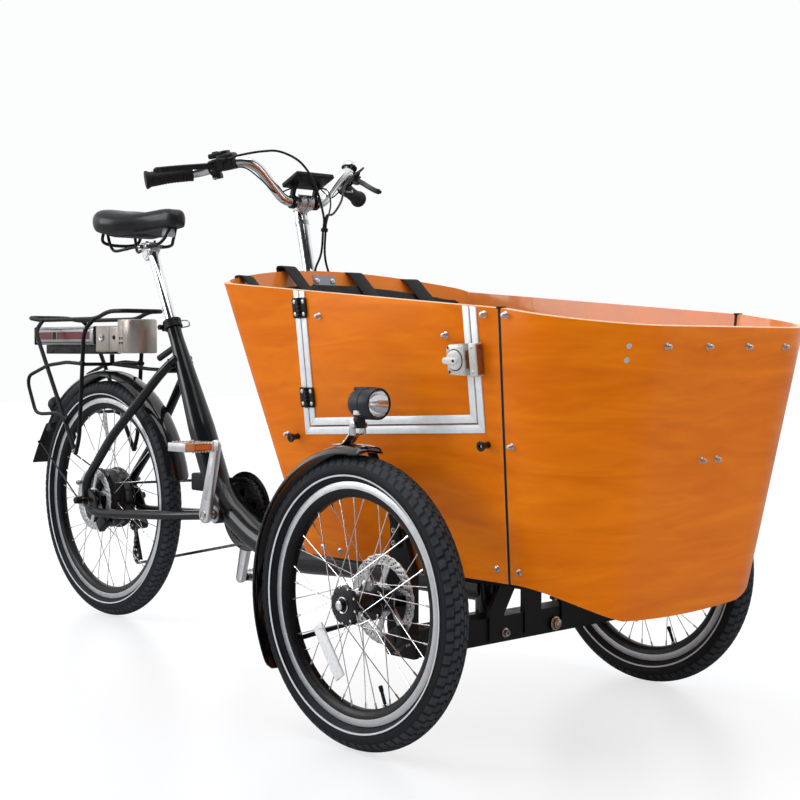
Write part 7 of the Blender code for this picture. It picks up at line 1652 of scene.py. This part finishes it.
dowel(column_point(COLUMN_FOOT), column_point(1.0), 0.0143, POLISHED, 64, edge=0.0008)
turned([(0.0143, 0.0), (0.0152, 0.0006), (0.0152, 0.009), (0.0143, 0.0096)], column_point(0.962),
    column_point(1.0) - column_point(0.9), CAST_ALUMINIUM, 48)
cast_block(BAR_CENTRE + at(-0.0085, 0, -0.01), (0.026, 0.03, 0.022), CAST_ALUMINIUM, edge=0.004, segments=4)
for _, side in SIDES:
    turned([(0.0114, 0.019), (0.0158, 0.019), (0.0171, 0.0178), (0.0171, 0.0024), (0.016, 0.0014),
        (0.0114, 0.0014)], BAR_CENTRE, ALONG_Y * side, CAST_ALUMINIUM, 48, closed=True)
    for step in (-0.0105, 0.0085):
        hex_bolt(BAR_CENTRE + at(0.014, side * 0.011, step), (1, 0, 0), 0.0072, 0.0032, ZINC)
for z in (COLUMN_FOOT + 0.04, 0.798):
    start, end = column_point(z).x, rear_face_x(0, z + 0.015) - 0.0003
    cast_block(((start + end) / 2 + 0.004, 0, z), (end - start - 0.008, 0.044, 0.029), CAST_ALUMINIUM,
        edge=0.004, segments=4)
    turned([(0.0144, 0.014), (0.0195, 0.014), (0.0205, 0.0128), (0.0205, -0.0128), (0.0195, -0.014),
        (0.0144, -0.014)], column_point(z), column_point(1.0) - column_point(0.9), CAST_ALUMINIUM, 48,
        closed=True)
    for _, side in SIDES:
        hex_bolt((start - 0.017, side * 0.009, z), (-1, 0, 0), 0.008, 0.0038, ZINC)
brace = [column_point(0.875), (rear_face_x(0, 0.83) - 0.0068, 0, 0.832),
    (rear_face_x(0, 0.81) - 0.006, 0, 0.8)]
strip(brace, ALONG_Y, 0.016, 0.004, ZINC, 0.0006)
settle("column_with_stem", "front_group", "polished_aluminium", "steering_column")


# Handlebar: one tube of polished aluminium, swept up and back from its straight middle.
CHROME = surface("polished_bar", (0.8, 0.8, 0.8), 0.16, 1.0, mottle=0.05, cloud=30, grain=0.02)
BAR_RADIUS = 0.0111


def bar_half(side):
    return [at(x, side * y, z) for x, y, z in ((0.797, 0.054, 1.012), (0.791, 0.08, 1.042),
        (0.788, 0.118, 1.082), (0.777, 0.15, 1.094), (0.742, 0.178, 1.084), (0.69, 0.2, 1.072),
        (0.637, 0.3, 1.052))]


bar_line = rounded([*reversed(bar_half(-1)), *bar_half(1)], 0.02, 7)
bent_tube(bar_line, BAR_RADIUS, CHROME, 8)
settle("handlebar_tube", "front_group", "polished_aluminium", "handlebar", angle=60)

# Grips, brake levers and their mounts: a shaped rubber grip with an end flange, and inboard of
# it a clamped black mount with a cast lever on a pin, which a boot and a cable pull.
GRIP_RUBBER = surface("grip_rubber", (0.011, 0.011, 0.012), 0.55, mottle=0.22, cloud=120, grain=0.8,
    grain_scale=1100)
LEVER_SATIN = surface("lever_satin_black", (0.02, 0.02, 0.022), 0.24, 0.4, mottle=0.15, cloud=70)
CABLE_BLACK = surface("cable_jacket", (0.01, 0.01, 0.011), 0.32, cloud=120, grain=0.2, grain_scale=1600)
lever_ends = []
for name, side in SIDES:
    inner, outer = bar_half(side)[5], bar_half(side)[6]
    along = (outer - inner).normalized()
    forward = (at(1, 0, 0) - along * along.x).normalized()
    length = (outer - inner).length
    profile = [(0, length + 0.004), (0.018, length + 0.004), (0.0195, length + 0.003),
        (0.0195, length - 0.001), (0.0182, length - 0.0026), (0.0165, length - 0.006)]
    for k in range(14):
        place = length - 0.01 - k * (length - 0.032) / 13
        belly = 0.0156 + 0.0009 * math.cos(math.tau * (place - 0.017) / (length - 0.017))
        profile += [(belly, place + 0.0014), (belly - 0.0005, place + 0.0007),
            (belly - 0.0005, place - 0.0007), (belly, place - 0.0014)]
    profile += [(0.0168, 0.0215), (0.0172, 0.0195), (0.0165, 0.017), (BAR_RADIUS + 0.0006, 0.017),
        (BAR_RADIUS + 0.0006, length + 0.0008), (0, length + 0.0008)]
    turned(profile, inner, along, GRIP_RUBBER, 56)
    settle("ribbed_grip_" + name, "front_group", "grip_rubber", "grip_" + name, angle=30)
    up = forward.cross(along) * side
    knee = bar_half(side)[4]
    run = (inner - knee).normalized()
    middle = knee.lerp(inner, 0.35)
    turn = Matrix((run, up, run.cross(up))).transposed().to_4x4()
    clamp_profile = [(BAR_RADIUS + 0.0012, 0.0088), (0.0162, 0.0088), (0.0171, 0.0078), (0.0171, -0.0078),
        (0.0162, -0.0088), (BAR_RADIUS + 0.0012, -0.0088)]
    turned(clamp_profile, middle, run, CALIPER_BLACK, 48, closed=True)
    body_place = middle + forward * 0.019 + up * 0.006
    cast_block(body_place - run * 0.006, (0.028, 0.022, 0.018), CALIPER_BLACK, turn, 0.0045, 4)
    pin = middle + forward * 0.03 + up * 0.006 + run * 0.014
    for way in (-1, 1):
        cast_block(pin + up * way * 0.007 - run * 0.004, (0.016, 0.0042, 0.015), CALIPER_BLACK, turn, 0.0016)
    if side < 0:
        shifter = middle - run * 0.034 + up * 0.004
        cast_block(shifter, (0.04, 0.036, 0.036), CALIPER_BLACK, turn, 0.007, 4)
        cast_block(shifter + up * 0.02 + run * 0.006, (0.022, 0.01, 0.024), CALIPER_BLACK, turn, 0.003)
    hex_bolt(middle - forward * 0.0145 + up * 0.006, -forward + up * 0.4, 0.007, 0.0028, ZINC)
    switch = middle + forward * 0.004 + up * 0.0235 - run * 0.01
    cast_block(switch, (0.034, 0.011, 0.026), CALIPER_BLACK, turn, 0.0035, 4)
    cast_block(switch + up * 0.0065 + run * 0.004, (0.012, 0.005, 0.012), GRIP_RUBBER, turn, 0.0018)
    cast_block(middle - up * 0.0195 - run * 0.004, (0.02, 0.012, 0.018), CALIPER_BLACK, turn, 0.003, 4)
    dowel(middle - up * 0.022 + forward * 0.006 + run * 0.006,
        middle - up * 0.022 + forward * 0.022 + run * 0.006, 0.0034, ZINC, 20, edge=0.0006)
    cable_foot = middle + forward * 0.02 + up * 0.01
    cable_end = cable_foot - run * 0.03
    dowel(cable_foot - run * 0.012, cable_foot - run * 0.022, 0.006, CALIPER_BLACK, 28, edge=0.0008)
    turned([(0, 0.0), (0.0056, 0.0), (0.0058, 0.0022), (0.0048, 0.003), (0.005, 0.006), (0.004, 0.0074),
        (0.0028, 0.008), (0, 0.008)], cable_foot - run * 0.022, -run, CABLE_BLACK, 24)
    settle("lever_mount_" + name, "front_group", "black_metal", "brake_mount_" + name)
    tip = pin + along * 0.112 + forward * 0.006 + up * 0.008
    blade = rounded([pin - run * 0.004, pin + along * 0.03 + forward * 0.006 + up * 0.003,
        pin + along * 0.07 + forward * 0.003 + up * 0.006, tip, tip + along * 0.008 + forward * 0.008], 0.02,
        7)
    strip(blade, up, 0.0125, 0.006, LEVER_SATIN, 0.0019)
    turned([(0, 0.0052), (0.0058, 0.0052), (0.0064, 0.0044), (0.0064, -0.0044), (0.0058, -0.0052),
        (0, -0.0052)], pin, up, LEVER_SATIN, 32)
    dowel(pin - up * 0.0098, pin + up * 0.0098, 0.0024, ZINC, 16, edge=0.0003)
    ball(tip + along * 0.008 + forward * 0.008, 0.0046, LEVER_SATIN)
    settle("brake_lever_blade_" + name, "brake_lever_" + name, "black_metal", "brake_lever_" + name)
    lever_ends.append((cable_end, run))

# Display: a thin dark screen in a satin case on two clamps, and a polished bell on the far rise.
SCREEN = surface("display_glass", (0.006, 0.007, 0.009), 0.05, mottle=0.1, cloud=30, grain=0.01, coat=0.8)
screen_place = BAR_CENTRE + at(0.016, 0, 0.046)
screen_turn = Matrix.Rotation(math.radians(-24), 4, "Y")
cast_block(screen_place, (0.06, 0.104, 0.011), MOULDED_BLACK, screen_turn, 0.0034, 5)
cast_block(screen_place + screen_turn @ at(0, 0, 0.00555), (0.051, 0.086, 0.0007), SCREEN, screen_turn,
    0.0003, 2)
for step in (-0.03, -0.01, 0.01, 0.03):
    cast_block(screen_place + screen_turn @ at(-0.0275, step, 0.003), (0.005, 0.012, 0.0058), GRIP_RUBBER,
        screen_turn, 0.0014)
for name, side in SIDES:
    y = side * 0.031
    foot = at(BAR_CENTRE.x, y, BAR_CENTRE.z)
    turned([(0.0124, 0.005), (0.0144, 0.005), (0.0151, 0.0043), (0.0151, -0.0043), (0.0144, -0.005),
        (0.0124, -0.005)], foot, ALONG_Y, MOULDED_BLACK, 40, closed=True)
    leg = [foot + at(0, 0, 0.014), foot + at(0.004, 0, 0.028), at(screen_place.x, y, screen_place.z - 0.003)]
    strip(rounded(leg, 0.01, 4), ALONG_Y, 0.009, 0.012, MOULDED_BLACK, 0.0018)
    hex_bolt(foot + at(0.0148, 0, -0.002), (1, 0, -0.1), 0.006, 0.0026, ZINC)
settle("screen_on_legs", "front_group", "black_plastic", "display")

rise = bar_half(1)
bell_foot = rise[3].lerp(rise[4], 0.4)
bell_run = (rise[4] - rise[3]).normalized()
bell_out = (at(0, 0, 1) - bell_run * bell_run.z).normalized()
bell_foot += bell_out * (BAR_RADIUS + 0.0008)
turned([(0, 0.02), (0.003, 0.0198), (0.008, 0.0184), (0.012, 0.0154), (0.0146, 0.011), (0.0158, 0.0064),
    (0.016, 0.0034), (0.0154, 0.0024), (0, 0.0024)], bell_foot, bell_out, CHROME, 56)
turned([(0.0162, 0.0066), (0.0168, 0.0058), (0.0168, 0.003), (0.016, 0.0022), (0.015, 0.0022)], bell_foot,
    bell_out, MOULDED_BLACK, 48, closed=True)
settle("bell_dome", "bell", "polished_aluminium", "bell")

# Hoses and leads: two brake hoses and the electric leads run in short arcs to a tie on the
# column, then down behind the box into the port in the column. They are fixed all the way.
tie = at(0.868, 0, 0.948)
hose_routes = ([(0.803, -0.118, 1.113), (0.83, -0.09, 1.112), (0.85, -0.05, 1.09), (0.863, -0.022, 1.044)],
    [(0.812, 0.11, 1.06), (0.842, 0.07, 1.016), (0.862, 0.03, 0.985)])
port = column_point(0.475)
for (name, side), (end, run), route in zip(SIDES, lever_ends, hose_routes):
    lead = end - run * 0.0028
    hose = [lead, lead - run * 0.03, *route, tie + at(0.002, side * 0.004, 0.03),
        tie + at(0, side * 0.0035, -0.002)]
    bent_tube(flowing(hose, 0.006), 0.0025, CABLE_BLACK, 3)
    signal = [bar_half(side)[3] + Vector(step) for step in ((-0.014, side * 0.02, -0.016),
        (0.01, 0.0, -0.018), (0.018, -side * 0.034, -0.04), (0.022, -side * 0.07, -0.066),
        (0.03, -side * 0.098, -0.058), (0.036, -side * 0.118, -0.048))]
    bent_tube(flowing(signal, 0.006), 0.0016, CABLE_BLACK, 3)
    drop = [tie + at(0, side * 0.0035, 0.002), tie + at(-0.005, side * 0.005, -0.05),
        at(rear_face_x(0, 0.853) - 0.01, side * 0.018, 0.862),
        at(rear_face_x(0, 0.825) - 0.009, side * 0.029, 0.825),
        at(rear_face_x(0, 0.775) - 0.016, side * 0.029, 0.775),
        at(rear_face_x(0, 0.66) - 0.032, side * 0.022, 0.66),
        at(port.x + 0.032, side * 0.007, port.z + 0.035), port + at(0.0165, side * 0.004, 0.0)]
    bent_tube(flowing(drop, 0.01), 0.0025, CABLE_BLACK, 3)
    ring = column_point(0.475) + at(0.0145, side * 0.004, 0.0004)
    turned([(0.0026, 0.0034), (0.004, 0.0028), (0.0042, 0.0), (0.0026, 0.0)], ring, (1, 0, 0.5), GRIP_RUBBER,
        24, closed=True)
screen_lead = [(0.812, 0.034, 1.046), (0.838, 0.036, 1.036), (0.858, 0.026, 1.004), (0.867, 0.008, 0.968),
    (0.868, 0.002, 0.95)]
bent_tube(flowing(screen_lead, 0.006), 0.0018, CABLE_BLACK, 3)
turned([(0.004, 0.004), (0.0072, 0.004), (0.0078, 0.0032), (0.0078, -0.0032), (0.0072, -0.004),
    (0.004, -0.004)], tie, (0.1, 0, 1), MOULDED_BLACK, 32, closed=True)
cast_block(tie, (0.009, 0.011, 0.006), MOULDED_BLACK, edge=0.0012)
settle("hoses_and_leads", "front_group", "cable_jacket", "control_cables", angle=60)

# ---------------------------------------------------------------------------------------------
# Studio: a white floor that runs into a white surround, a tall soft window to the left of the
# camera, a broad one above, and the camera at the photograph's place.


def studio_white(name, colour, rough):
    """A painted floor that looks near white to the camera, with the object's shadow on it."""
    made, tree, shader, place = new_material(name, colour)
    rays = add_node(tree, "LightPath").outputs
    cloud = add_node(tree, "TexNoise", Vector=place, Scale=0.7).outputs["Fac"]
    tint = add_node(tree, "ValToRGB", ((0, [c * 0.985 for c in colour]), (1, colour)),
        Fac=cloud).outputs["Color"]
    dim = add_node(tree, "Mix", data_type="RGBA", Factor=rays["Is Glossy Ray"], A=tint,
        B=(0.34, 0.34, 0.35, 1)).outputs["Result"]
    seen = add_node(tree, "Mix", data_type="RGBA", Factor=rays["Is Camera Ray"], A=dim,
        B=(0.25, 0.253, 0.256, 1)).outputs["Result"]
    glow = add_node(tree, "Math", operation="MULTIPLY", _0=rays["Is Camera Ray"], _1=0.69).outputs[0]
    wired(tree, shader, Base_Color=seen, Emission_Strength=glow, Emission_Color=(0.985, 0.99, 1.0, 1),
        Roughness=rough, Specular_IOR_Level=0.2)
    return made


bpy.ops.mesh.primitive_plane_add(size=30, location=(0, 0, 0))
floor = bpy.context.active_object
floor.name = "studio_floor"
painted(floor, studio_white("floor_white", (0.93, 0.945, 0.955), 0.35))
floor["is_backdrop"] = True

world = bpy.context.scene.world or bpy.data.worlds.new("studio")
bpy.context.scene.world = world
world.use_nodes = True
tree = world.node_tree
tree.nodes.clear()
rays = add_node(tree, "LightPath").outputs
lit = add_node(tree, "Background", Color=(0.93, 0.96, 1.0, 1), Strength=0.62).outputs[0]
seen = add_node(tree, "Background", Color=(0.975, 0.98, 0.985, 1), Strength=1.0).outputs[0]

# Glossy surfaces show the room: a dark side where the photographer stands, white all round.
around = add_node(tree, "TexCoord").outputs["Generated"]
towards = add_node(tree, "VectorMath", operation="DOT_PRODUCT", _0=around,
    _1=at(0.8, -0.58, 0.02).normalized()).outputs["Value"]
spread = add_node(tree, "MapRange", Value=towards, From_Min=-1.0).outputs["Result"]
room = add_node(tree, "ValToRGB", ((0.46, (0.95, 0.955, 0.96)), (0.8, (0.03, 0.031, 0.034)),
    (0.62, (0.36, 0.36, 0.37))), Fac=spread)
room.color_ramp.interpolation = "EASE"
reflected = add_node(tree, "Background", Color=room.outputs["Color"]).outputs[0]
shiny = add_node(tree, "MixShader", _0=rays["Is Glossy Ray"], _1=lit, _2=reflected).outputs[0]
clear = add_node(tree, "Math", operation="MAXIMUM", _0=rays["Is Camera Ray"],
    _1=rays["Is Transmission Ray"]).outputs[0]
blend = add_node(tree, "MixShader", _0=clear, _1=shiny, _2=seen).outputs[0]
add_node(tree, "OutputWorld", Surface=blend)


def soft_window(name, place, aim, width, height, power, colour=(1, 1, 1)):
    """A rectangular softbox turned towards a point."""
    lamp = bpy.data.lights.new(name, "AREA")
    lamp.shape, lamp.size, lamp.size_y = "RECTANGLE", width, height
    lamp.energy, lamp.color = power, colour
    made = linked(name, lamp)
    made.location = place
    made.rotation_euler = (Vector(aim) - Vector(place)).to_track_quat("-Z", "Y").to_euler()


soft_window("window_above", (0.4, -0.6, 4.2), (0.1, 0, 0.4), 4.0, 3.2, 95)
soft_window("window_left", (-2.8, -3.6, 2.4), (0.0, 0, 0.6), 2.2, 2.6, 84, (0.97, 0.98, 1.0))
soft_window("window_right", (4.4, 0.9, 1.7), (0.6, 0, 0.6), 0.8, 2.8, 13)

CAMERA_PLACE = at(2.5792, -2.0919, 0.6901)
CAMERA_YAW = 0.82236
CAMERA_DIP = 0.03383
lens = bpy.data.cameras.new("camera")
lens.lens = 67.4
lens.sensor_width = 36.0
lens.clip_end = 100.0
camera = linked("camera", lens)
camera.location = CAMERA_PLACE
camera.rotation_euler = (math.pi / 2 - CAMERA_DIP, 0.0, CAMERA_YAW)
bpy.context.scene.camera = camera
bpy.context.scene.view_settings.view_transform = "Standard"

low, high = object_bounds()
